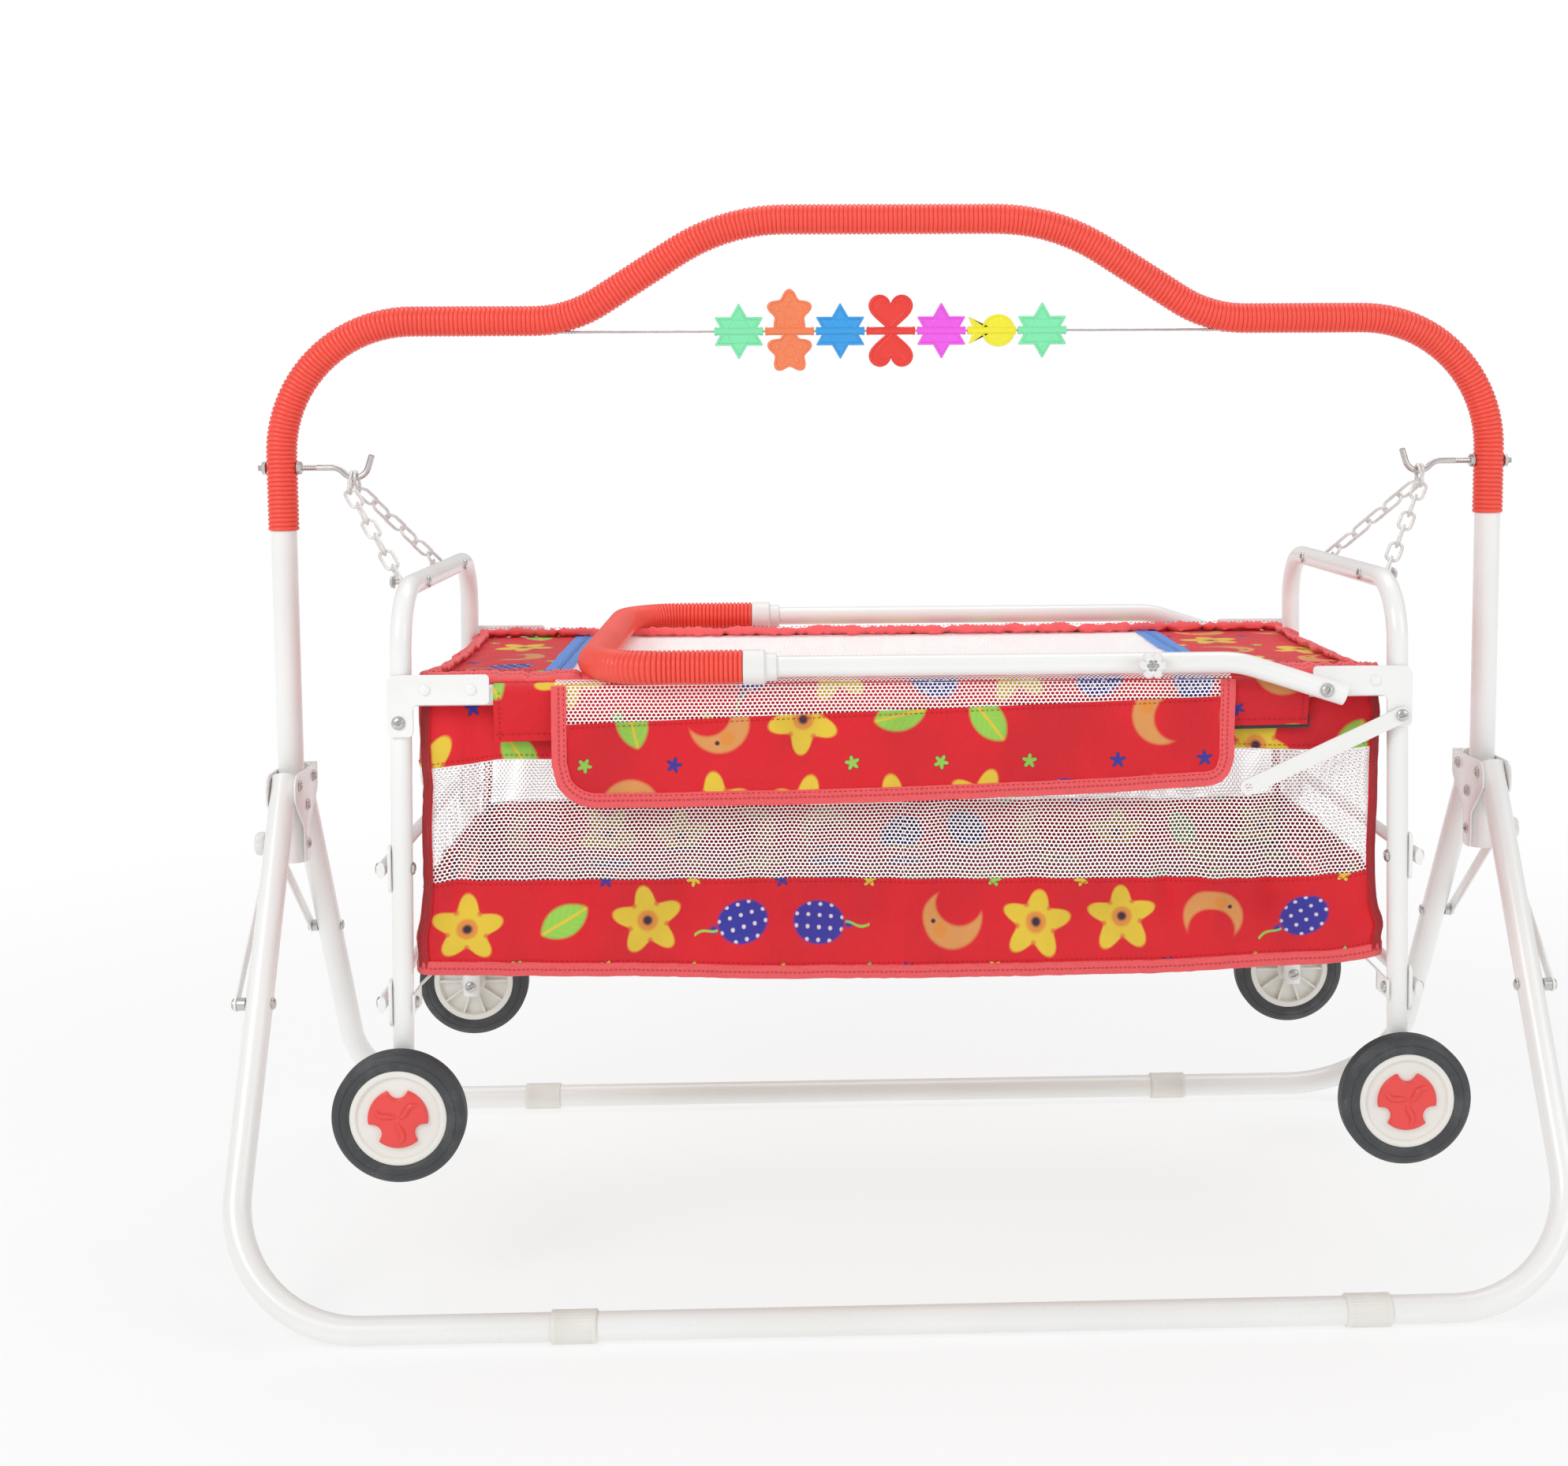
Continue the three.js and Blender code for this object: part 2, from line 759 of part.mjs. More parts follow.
function wireToys() {
  const first = -(toyPitch * (toys.length - 1)) / 2;
  toys.forEach(({ name, color, outlines }, index) => {
    const group = new THREE.Group();
    group.position.set(first + toyPitch * index, 0, wireHeight);
    object.add(group);
    const half = toyTubeLength / 2;
    const plates = outlines().map((shape) => plateXZ(shape, -toyThickness / 2, toyThickness));
    const barrel = barBetween(at(-half, 0, 0), at(half, 0, 0), toyTubeDiameter);
    const bore = barBetween(at(-half - cutOverrun, 0, 0), at(half + cutOverrun, 0, 0), toyTubeBore);
    place(group, name, joined([barrel, ...plates], [bore]), toyPlastic(color));
  });
}

// Folding leg frames
const couplerHalf = couplerAcrossFlats / 2;
const legReach = baseHalfSpread - legPivotHalfGap;
const legDrop = legPivotHeight - couplerHalf;
const legLength = Math.hypot(legReach, legDrop);
const foldAngle = Math.atan2(legReach, legDrop);
const braceBoltAlongLeg = (legPivotHeight - braceBoltHeight) / Math.cos(foldAngle);
// The braces lie outside the bracket's bolt heads, the lowest of which spaces them off
const rearBraceLayer = bracketOuter + boltHeadHeight + fitGap;
const frontBraceLayer = rearBraceLayer + braceSheet + fitGap;
const knobLayer = frontBraceLayer + braceSheet + fitGap;

function coupler(middle, angle) {
  const sides = 12;
  const turn = -angle + Math.PI / sides;
  const shape = polygonPath(THREE.Shape, couplerHalf / Math.cos(Math.PI / sides), sides, turn);
  const bore = (standTubeDiameter / 2 + fitGap) / Math.cos(Math.PI / sides);
  shape.holes.push(polygonPath(THREE.Path, bore, sides, turn));
  const from = at(middle - couplerLength / 2, 0, -legLength);
  return alongRoute(shape, straight(from, at(middle + couplerLength / 2, 0, -legLength)));
}

function legTube(side, couplerPlace, braceLayer) {
  const corners = [
    at(side * uprightHalfSpan, 0, legTopOverrun),
    at(side * uprightHalfSpan, 0, -legLength),
    at(couplerPlace + side * fitGap, 0, -legLength),
  ];
  const tubing = tube(bentStations(corners, [legBendRadius]), standTubeDiameter, standTubeWall, standSides);
  const boltHeight = -braceBoltAlongLeg;
  const along = (offset) => at(side * (uprightHalfSpan + offset), 0, boltHeight);
  const inner = -standTubeDiameter / 2 - boltHeadHeight;
  const past = braceLayer + braceSheet + fitGap;
  const pieces = [
    tubing,
    barBetween(along(inner), along(inner + boltHeadHeight + fuseDepth), boltHeadDiameter),
    barBetween(along(standTubeDiameter / 2 - fuseDepth), along(braceLayer - fitGap), boltHeadDiameter),
    barBetween(along(braceLayer - fitGap * 2), along(past + fuseDepth), boltDiameter),
    barBetween(along(past), along(past + boltHeadHeight), boltHeadDiameter),
  ];
  return joined(pieces, [boltHoleX(side, 0, 0, boltDiameter)]);
}

function legFrame({ name, side: face }) {
  const angle = face * foldAngle;
  const layer = face < 0 ? frontBraceLayer : rearBraceLayer;
  const couplers = face < 0 ? [frontCouplerLeft, frontCouplerRight] : [rearCouplerLeft, rearCouplerRight];
  const group = new THREE.Group();
  group.position.set(0, face * legPivotHalfGap, legPivotHeight);
  group.rotation.x = angle;
  object.add(group);
  ends.forEach(({ name: endName, side }, index) => {
    place(group, `${name}_${endName}_leg_tube`, legTube(side, couplers[index], layer), enamel());
    place(group, `${name}_${endName}_coupler`, joined([coupler(couplers[index], angle)]), whitePlastic());
  });
  const from = at(couplers[0] + fitGap, 0, -legLength);
  const run = straight(from, at(couplers[1] - fitGap, 0, -legLength));
  const baseTube = joined([tube(run, standTubeDiameter, standTubeWall, standSides)]);
  place(group, `${name}_base_tube`, baseTube, enamel());
}

// A flat bar with round ends and a hole at each end
function strapOutline(from, to, width, hole) {
  const along = to.clone().sub(from);
  const angle = Math.atan2(along.y, along.x);
  const shape = new THREE.Shape();
  shape.absarc(to.x, to.y, width / 2, angle - Math.PI / 2, angle + Math.PI / 2, false);
  shape.absarc(from.x, from.y, width / 2, angle + Math.PI / 2, angle + (Math.PI * 3) / 2, false);
  shape.closePath();
  for (const end of [from, to]) {
    const eye = polygonPath(THREE.Path, hole / 2, boltSides);
    eye.curves.forEach((line) => {
      line.v1.add(end);
      line.v2.add(end);
    });
    shape.holes.push(eye);
  }
  return shape;
}

function legBrace(end, face) {
  const layer = face.side < 0 ? frontBraceLayer : rearBraceLayer;
  const reach = legPivotHalfGap + (legPivotHeight - braceBoltHeight) * Math.tan(foldAngle);
  const foot = new THREE.Vector2(face.side * reach, braceBoltHeight);
  const top = new THREE.Vector2(0, bracketLowerBolt);
  const outline = strapOutline(foot, top, braceWidth, holeFor(boltDiameter));
  const near = end.side * (uprightHalfSpan + layer);
  const x = end.side < 0 ? near - braceSheet : near;
  place(object, `${face.name}_${end.name}_brace`, joined([plateYZ(outline, x, braceSheet)]), enamel());
}

function braceKnob({ name, side }) {
  const geometry = flower(knobDiameter, knobThickness);
  geometry.rotateY((side * Math.PI) / 2);
  geometry.translate(side * (uprightHalfSpan + knobLayer), 0, bracketLowerBolt);
  place(object, `${name}_brace_knob`, joined([geometry]), whitePlastic());
}

standArch();
ends.forEach(chainHook);
ends.forEach(legBracket);
toyWire();
wireToys();
faces.forEach(legFrame);
ends.forEach((end) => faces.forEach((face) => legBrace(end, face)));
ends.forEach(braceKnob);

// Cradle end frames: an inverted U tube with its cross tubes, saddles, bolts and axles
const cradle = new THREE.Group();
object.add(cradle);
const frameRadius = frameTubeDiameter / 2;
const plateFace = frameLegHalfDepth + frameRadius + fitGap;
const plateOuter = plateFace + cornerSheet;
const stayFace = plateOuter + staySpacer + fitGap;
const wheelMiddle = frameLegHalfDepth + frameRadius + wheelGap + tyreWidth / 2;
const chainBoltPlace = frameTopHalfSpan + frameRadius + chainBoltSeat;
const capInner = rimWidth / 2 - capThickness / 2;

function frameSpanAt(height) {
  const share = (frameTopHeight - height) / (frameTopHeight - axleHeight);
  return frameTopHalfSpan + (frameFootHalfSpan - frameTopHalfSpan) * share;
}

function crossTube(side, height) {
  const leg = frameSpanAt(height);
  const face = side * (leg + frameRadius);
  const flat = (crossTubeDiameter / 2) * Math.cos(Math.PI / boltSides);
  const axis = side * (leg + frameRadius + saddleSheet + flat - fuseDepth);
  const end = frameLegHalfDepth + saddleWidth / 2;
  const pieces = [barBetween(at(axis, -end, height), at(axis, end, height), crossTubeDiameter)];
  for (const { side: face2 } of faces) {
    const y = face2 * frameLegHalfDepth;
    const corner = at(face - side * fuseDepth * 2, y - saddleWidth / 2, height - saddleHeight / 2);
    const opposite = at(face + side * saddleSheet, y + saddleWidth / 2, height + saddleHeight / 2);
    pieces.push(box(corner.clone().min(opposite), corner.clone().max(opposite)));
  }
  return pieces;
}

function legBolts(side, height, spacer) {
  const inner = frameSpanAt(height) - frameRadius - spacer;
  const headFoot = spacer > 0 ? inner : inner + fuseDepth;
  return faces.flatMap(({ side: face }) => {
    const alongX = (x) => at(side * x, face * frameLegHalfDepth, height);
    return [
      barBetween(alongX(inner - fuseDepth), alongX(inner + spacer + fuseDepth), boltDiameter),
      barBetween(alongX(inner - boltHeadHeight), alongX(headFoot), boltHeadDiameter),
    ];
  });
}

function chainBolts(side) {
  const inner = frameTopHalfSpan - frameRadius;
  const outer = chainBoltPlace + chainBoltSeat;
  const shankFoot = outer - chainBoltSeat * 2 - fuseDepth;
  const alongX = (x, y) => at(side * x, y, frameTopHeight);
  return faces.flatMap(({ side: face }) => {
    const y = face * chainBoltHalfDepth;
    return [
      barBetween(alongX(shankFoot, y), alongX(outer + fuseDepth, y), chainBoltDiameter),
      barBetween(alongX(inner - boltHeadHeight, y), alongX(inner + fuseDepth, y), boltHeadDiameter),
      barBetween(alongX(outer, y), alongX(outer + chainNutThickness, y), boltHeadDiameter),
    ];
  });
}

function axles(side) {
  const inner = frameLegHalfDepth - frameRadius;
  const tip = wheelMiddle + capInner - fitGap;
  const alongY = (y, face) => at(side * frameFootHalfSpan, face * y, axleHeight);
  return faces.flatMap(({ side: face }) => [
    barBetween(alongY(frameLegHalfDepth + frameRadius - fuseDepth, face), alongY(tip, face), axleDiameter),
    barBetween(alongY(inner - boltHeadHeight, face), alongY(inner + fuseDepth, face), boltHeadDiameter),
  ]);
}

function endFrame({ name, side }) {
  const foot = axleHeight - frameFootOverrun;
  const footSpan = side * frameSpanAt(foot);
  const top = side * frameTopHalfSpan;
  const corners = [
    at(footSpan, -frameLegHalfDepth, foot),
    at(top, -frameLegHalfDepth, frameTopHeight),
    at(top, frameLegHalfDepth, frameTopHeight),
    at(footSpan, frameLegHalfDepth, foot),
  ];
  const pieces = [
    tube(bentStations(corners, [frameTopRadius, frameTopRadius]), frameTubeDiameter, frameTubeWall),
    ...crossTube(side, upperCrossHeight),
    ...crossTube(side, lowerCrossHeight),
    ...legBolts(side, upperCrossHeight, 0),
    ...legBolts(side, lowerCrossHeight, strutSheet + 2 * fitGap),
    ...chainBolts(side),
    ...axles(side),
  ];
  place(cradle, `${name}_end_frame`, joined(pieces), enamel());
}

// Chain links hang from the hook's lowest point and end on the frame's bolt
function chainLink(top, along, across, length, arcSteps) {
  const normal = along.clone().cross(across);
  const half = (chainInnerWidth + chainWireDiameter) / 2;
  const rings = [];
  for (const arc of [0, 1]) {
    const depth = arc === 0 ? half : length - half;
    for (let step = 0; step <= arcSteps; step += 1) {
      const angle = (arc + step / arcSteps) * Math.PI;
      const point = top.clone().addScaledVector(along, depth - half * Math.sin(angle));
      point.addScaledVector(across, half * Math.cos(angle));
      const tangent = along.clone().multiplyScalar(-Math.cos(angle));
      tangent.addScaledVector(across, -Math.sin(angle));
      rings.push(ringAt(point, normal, tangent.cross(normal), chainWireDiameter / 2, wireSides));
    }
  }
  return closedLoft(rings);
}

function chain(end, face) {
  const seat = hookSeat(end.side).add(at(face.side * chainSideGap, 0, 0));
  const bolt = at(end.side * chainBoltPlace, face.side * chainBoltHalfDepth, frameTopHeight);
  const half = (chainInnerWidth + chainWireDiameter) / 2;
  const drop = at(0, bolt.y - seat.y, bolt.z - seat.z).normalize();
  const across = at(1, 0, 0).cross(drop);
  const top = seat.clone().addScaledVector(drop, -half);
  const weld = chainWeldOverlap;
  const past = chainBoltDiameter / 2 + fitGap + chainWireDiameter / 2;
  // The clear length of a link is settled so that the last link just reaches its bolt
  let clearLength = seat.distanceTo(bolt) / chainLinkCount;
  let second = top;
  const settlingPasses = 30;
  for (let pass = 0; pass < settlingPasses; pass += 1) {
    second = top.clone().addScaledVector(drop, clearLength + weld);
    const span = second.distanceTo(bolt) + past - chainWireDiameter;
    clearLength = (span - weld * (chainLinkCount - 2)) / (chainLinkCount - 1);
  }
  const length = clearLength + chainWireDiameter;
  const links = [chainLink(top, drop, across, length, endArcSteps)];
  const along = heading(second, bolt);
  const flatAcross = along.clone().cross(across);
  for (let link = 1; link < chainLinkCount; link += 1) {
    const start = second.clone().addScaledVector(along, (clearLength + weld) * (link - 1));
    const arcSteps = link === chainLinkCount - 1 ? endArcSteps : middleArcSteps;
    links.push(chainLink(start, along, link % 2 === 1 ? flatAcross : across, length, arcSteps));
  }
  place(cradle, `${face.name}_${end.name}_chain`, joined(links), zinc());
}

// Rails and corner plates
function rail({ name, side }) {
  const end = frameSpanAt(railHeight) - frameRadius - fitGap;
  const y = side * frameLegHalfDepth;
  const run = straight(at(-end, y, railHeight), at(end, y, railHeight));
  place(cradle, `${name}_rail`, joined([tube(run, frameTubeDiameter, frameTubeWall)]), enamel());
}

function cornerPlate(end, face) {
  const { side } = end;
  const outline = closedOutline([
    { x: side * cornerArmEnd, y: cornerArmTop },
    { x: side * cornerArmEnd, y: cornerArmFoot },
    { x: side * cornerLegInner, y: cornerArmFoot },
    { x: side * cornerLegInner, y: cornerLegFoot },
    { x: side * cornerLegOuter, y: cornerLegFoot },
    { x: side * cornerLegOuter, y: cornerArmTop },
  ]);
  const near = face.side * plateFace;
  const pieces = [plateXZ(outline, face.side < 0 ? near - cornerSheet : near, cornerSheet)];
  const stud = (x, z, reach, diameter, from = -fuseDepth) => {
    const start = at(side * x, face.side * (plateOuter + from), z);
    pieces.push(barBetween(start, at(side * x, face.side * (plateOuter + reach), z), diameter));
  };
  const armMiddle = (cornerArmTop + cornerArmFoot) / 2;
  stud(cornerOuterRivet, armMiddle, rivetHeadHeight, rivetHeadDiameter);
  if (side < 0) {
    stud(cornerInnerRivet, armMiddle, rivetHeadHeight, rivetHeadDiameter);
    stud(frameSpanAt(cornerBoltHeight), cornerBoltHeight, boltHeadHeight, boltHeadDiameter);
  } else {
    const tubeInner = handleHalfDepth - frameRadius - plateOuter;
    const tubeOuter = handleHalfDepth + frameRadius - plateOuter + fitGap;
    stud(handlePivotHalfSpan, handlePivotHeight, tubeInner - fitGap, boltHeadDiameter);
    stud(handlePivotHalfSpan, handlePivotHeight, tubeOuter + fuseDepth, boltDiameter);
    stud(handlePivotHalfSpan, handlePivotHeight, tubeOuter + boltHeadHeight, boltHeadDiameter, tubeOuter);
    const stayOuter = staySpacer + staySheet + 2 * fitGap;
    const stayX = frameSpanAt(stayPivotHeight);
    stud(stayX, stayPivotHeight, staySpacer, boltHeadDiameter);
    stud(stayX, stayPivotHeight, stayOuter + fuseDepth, boltDiameter);
    stud(stayX, stayPivotHeight, stayOuter + boltHeadHeight, boltHeadDiameter, stayOuter);
  }
  place(cradle, `${face.name}_${end.name}_corner_plate`, joined(pieces), enamel());
}

// Push handle with its grip, and the stays that hold it raised
const handleHeight = loopTop + fitGap + gripRidgeDiameter / 2;
const gripCrossPlace = gripLeftEnd + gripRidgeDiameter / 2;

function handleGripStations() {
  const corners = [
    at(collarOuterEnd - fitGap, -handleHalfDepth, handleHeight),
    at(gripCrossPlace, -handleHalfDepth, handleHeight),
    at(gripCrossPlace, handleHalfDepth, handleHeight),
    at(collarOuterEnd - fitGap, handleHalfDepth, handleHeight),
  ];
  return bentStations(corners, [gripBendRadius, gripBendRadius]);
}

function pushHandle() {
  const fall = heading(
    at(handleBendStart, -handleHalfDepth, handleHeight),
    at(handlePivotHalfSpan, -handleHalfDepth, handlePivotHeight));
  const tail = at(handlePivotHalfSpan, 0, handlePivotHeight).addScaledVector(fall, handleTail);
  const grip = handleGripStations().slice(1, -1);
  const sideRun = (depth) => bentStations([
    at(tail.x, depth, tail.z),
    at(handleBendStart, depth, handleHeight),
    at(collarOuterEnd, depth, handleHeight),
  ], [handleBendRadius]).slice(0, -1);
  const back = sideRun(handleHalfDepth).toReversed().map(({ point, tangent }) => ({
    point,
    tangent: tangent.clone().negate(),
  }));
  const pieces = [tube([...sideRun(-handleHalfDepth), ...grip, ...back], frameTubeDiameter, frameTubeWall)];
  for (const { side } of faces) {
    const y = side * handleHalfDepth;
    const collar = (from, to, diameter) => {
      const run = straight(at(from, y, handleHeight), at(to, y, handleHeight));
      return tube(run, diameter, (diameter - frameTubeDiameter) / 2 + fuseDepth);
    };
    pieces.push(collar(collarOuterEnd, collarInnerEnd, collarOuterDiameter));
    pieces.push(collar(collarInnerEnd - fuseDepth, collarStepEnd, collarStepDiameter));
  }
  const face = handleHalfDepth + frameRadius;
  const boss = at(handleKnobPlace, -face + fuseDepth, handleHeight);
  pieces.push(barBetween(boss, at(handleKnobPlace, -face - boltHeadHeight, handleHeight), boltHeadDiameter));
  const knob = flower(handleKnobDiameter, handleKnobThickness).rotateX(Math.PI / 2);
  pieces.push(knob.translate(handleKnobPlace, -face - boltHeadHeight + fuseDepth, handleHeight));
  const head = at(handleKnobPlace, face - fuseDepth, handleHeight);
  pieces.push(barBetween(head, at(handleKnobPlace, face + boltHeadHeight, handleHeight), boltHeadDiameter));
  const hole = barBetween(
    at(handlePivotHalfSpan, -face - cutOverrun, handlePivotHeight),
    at(handlePivotHalfSpan, face + cutOverrun, handlePivotHeight), holeFor(boltDiameter));
  place(cradle, 'handle_tube', joined(pieces, [hole]), enamel());

  const bore = frameTubeDiameter + (2 * fitGap) / Math.cos(Math.PI / frameSides);
  const sleeve = ribbedSleeve(
    handleGripStations(), gripRibCount, gripRidgeDiameter, gripValleyDiameter, bore, frameTubeDiameter);
  place(cradle, 'handle_grip', joined([sleeve]), coralPlastic());
}

function handleStay({ name, side }) {
  const pivot = new THREE.Vector2(frameSpanAt(stayPivotHeight), stayPivotHeight);
  const end = new THREE.Vector2(stayEndPlace, stayEndHeight);
  const outline = strapOutline(pivot, end, stayWidth, holeFor(boltDiameter));
  const y = side < 0 ? -stayFace - staySheet : stayFace;
  place(cradle, `${name}_stay`, joined([plateXZ(outline, y, staySheet)]), enamel());
}

// Bed cloth: printed bands with net between them, hung from the rails by stitched loops
function netGaps(axis, from, to, low, high, columns, rows, reach) {
  const gaps = [];
  const width = (to - from) / columns;
  const height = (high - low) / rows;
  const strandX = (width * netStrandShare) / 2;
  const strandZ = (height * netStrandShare) / 2;
  for (let column = 0; column < columns; column += 1) {
    for (let row = 0; row < rows; row += 1) {
      const a = from + width * column + strandX;
      const b = from + width * (column + 1) - strandX;
      const c = low + height * row + strandZ;
      const d = low + height * (row + 1) - strandZ;
      if (axis === 'y') {
        gaps.push(box(at(a, -reach, c), at(b, reach, d)));
      } else if (axis === 'x') {
        gaps.push(box(at(-reach, a, c), at(reach, b, d)));
      } else {
        gaps.push(box(at(a, c, -reach), at(b, d, reach)));
      }
    }
  }
  return gaps;
}

function bedCloth() {
  const pipingX = clothHalfLength + clothPipingDepth;
  const pipingY = clothHalfDepth + clothPipingDepth;
  const inX = clothHalfLength - clothThickness;
  const inY = clothHalfDepth - clothThickness;
  const pieces = [
    box(at(-clothHalfLength, -clothHalfDepth, clothHem), at(clothHalfLength, clothHalfDepth, clothWallTop)),
    box(at(-pipingX, -pipingY, clothHem), at(pipingX, pipingY, clothHem + clothPipingHeight)),
  ];
  const endTop = coverFoot - fitGap;
  const endHalf = coverHalfDepth - fitGap;
  const ears = ends.map(({ side }) => {
    const outer = at(side * clothHalfLength, -endHalf, clothWallTop - clothPipingDepth);
    const inner = at(side * inX, endHalf, endTop);
    return box(outer.clone().min(inner), outer.clone().max(inner));
  });
  const rooms = [
    box(at(-inX, -inY, clothDeckHeight + clothThickness), at(inX, inY, clothWallTop + cutOverrun)),
    box(at(-inX, -inY, clothHem - cutOverrun), at(inX, inY, clothDeckHeight)),
  ];
  const nets = [
    ...netGaps('y', -inX, inX, lowerBandTop, upperBandFoot, wallGapColumns, wallGapRows, clothHalfDepth * 2),
    ...netGaps('x', -inY, inY, lowerBandTop, upperBandFoot, endGapColumns, wallGapRows, clothHalfLength * 2),
  ];
  let solid = solidOf(joined(pieces, rooms));
  for (const ear of ears) {
    solid = solid.add(solidOf(ear));
  }
  for (const gap of nets) {
    solid = solid.subtract(solidOf(gap));
  }
  const hole = (frameRadius + fitGap) / Math.cos(Math.PI / frameSides);
  for (const { side } of faces) {
    const outline = closedOutline([
      { x: side * loopInner, y: loopFoot },
      { x: side * loopOuter, y: loopFoot },
      { x: side * loopOuter, y: loopShoulder },
      { x: side * loopShoulderDepth, y: loopTop },
      { x: side * loopInner, y: loopTop },
    ]);
    const loop = plateYZ(outline, -loopHalfLength, loopHalfLength * 2);
    const y = side * frameLegHalfDepth;
    const end = loopHalfLength + cutOverrun;
    const tunnel = barBetween(at(-end, y, railHeight), at(end, y, railHeight), hole * 2, frameSides);
    solid = solid.add(solidOf(loop).subtract(solidOf(tunnel)));
  }
  place(cradle, 'bed_cloth', geometryOf(solid), redCloth());
}

function netCover() {
  const panel = box(
    at(-clothHalfLength, -coverHalfDepth, 0),
    at(clothHalfLength, coverHalfDepth, coverThickness));
  const gaps = netGaps(
    'z', coverNetLeft, coverNetRight, -coverNetHalfDepth, coverNetHalfDepth,
    coverGapColumns, coverGapRows, coverThickness * 2);
  const geometry = joined([panel], gaps);
  const mesh = place(cradle, 'net_cover', geometry, whiteNet());
  mesh.position.z = coverFoot;
}

function netFlap() {
  const shape = new THREE.Shape();
  const rise = flapFootRight - flapFootLeft;
  const slope = rise / (flapRight - flapLeft);
  const radius = flapCornerRadius;
  shape.moveTo(flapLeft, flapTop);
  shape.lineTo(flapLeft, flapFootLeft + radius);
  shape.quadraticCurveTo(flapLeft, flapFootLeft, flapLeft + radius, flapFootLeft + radius * slope);
  shape.lineTo(flapRight - radius, flapFootRight - radius * slope);
  shape.quadraticCurveTo(flapRight, flapFootRight, flapRight, flapFootRight + radius);
  shape.lineTo(flapRight, flapTop);
  shape.closePath();
  const front = -loopOuter - fitGap - flapThickness;
  const edge = flapTop - flapNetFoot;
  const gaps = netGaps(
    'y', flapLeft + edge, flapRight - edge, flapNetFoot, flapTop - clothPipingDepth,
    flapGapColumns, 1, loopOuter * 2);
  place(cradle, 'net_flap', joined([plateXZ(shape, front, flapThickness)], gaps), redCloth());
}

function zipSlider(name, x) {
  const low = coverFoot + coverThickness + fitGap;
  const y = -coverNetHalfDepth;
  const geometry = box(
    at(x - zipPullWidth / 2, y, low),
    at(x + zipPullWidth / 2, y + zipPullLength, low + zipPullThickness));
  place(cradle, name, joined([geometry]), zinc());
}

// Board and frame under the bed, with struts to the end frames
function baseFrame() {
  const boardTop = clothDeckHeight - fitGap;
  const inX = clothHalfLength - clothThickness - fitGap;
  const inY = clothHalfDepth - clothThickness - fitGap;
  const barTop = boardTop - boardThickness + fuseDepth;
  const barFoot = barTop - underBarThickness;
  const half = underBarWidth / 2;
  const pieces = [box(at(-inX, -inY, boardTop - boardThickness), at(inX, inY, boardTop))];
  for (const { side } of faces) {
    const y = side * underHalfDepth;
    const end = underHalfLength + half;
    pieces.push(box(at(-end, y - half, barFoot), at(end, y + half, barTop)));
  }
  const tabSpan = frameSpanAt(lowerCrossHeight) - frameRadius - fitGap - strutSheet;
  const holes = [];
  for (const { side } of ends) {
    const x = side * underHalfLength;
    pieces.push(box(at(x - half, -underHalfDepth, barFoot), at(x + half, underHalfDepth, barTop)));
    for (const { side: face } of faces) {
      const y = face * underHalfDepth;
      const middle = side * (tabSpan + strutSheet / 2);
      const foot = lowerCrossHeight - strutTabHalfHeight;
      const knee = lowerCrossHeight + strutTabHalfHeight;
      const shape = closedOutline([
        { x: -strutWidth / 2, y: -strutSheet / 2 },
        { x: strutWidth / 2, y: -strutSheet / 2 },
        { x: strutWidth / 2, y: strutSheet / 2 },
        { x: -strutWidth / 2, y: strutSheet / 2 },
      ]);
      const run = bentStations([
        at(middle, y, foot),
        at(middle, y, knee),
        at(x, y, barFoot + fuseDepth * 2),
      ], [strutTabHalfHeight / 2]);
      pieces.push(alongRoute(shape, run));
      const tabNear = at(side * tabSpan, y - (face * strutWidth) / 2, foot);
      const tabFar = at(side * (tabSpan + strutSheet), face * (frameLegHalfDepth + strutTabHalfHeight), knee);
      pieces.push(box(tabNear.clone().min(tabFar), tabNear.clone().max(tabFar)));
      const boltY = face * frameLegHalfDepth;
      const reach = (distance) => at(side * (tabSpan + distance), boltY, lowerCrossHeight);
      holes.push(barBetween(reach(-cutOverrun), reach(cutOverrun), holeFor(boltDiameter)));
    }
  }
  place(cradle, 'base_frame', joined(pieces, holes), board());
}

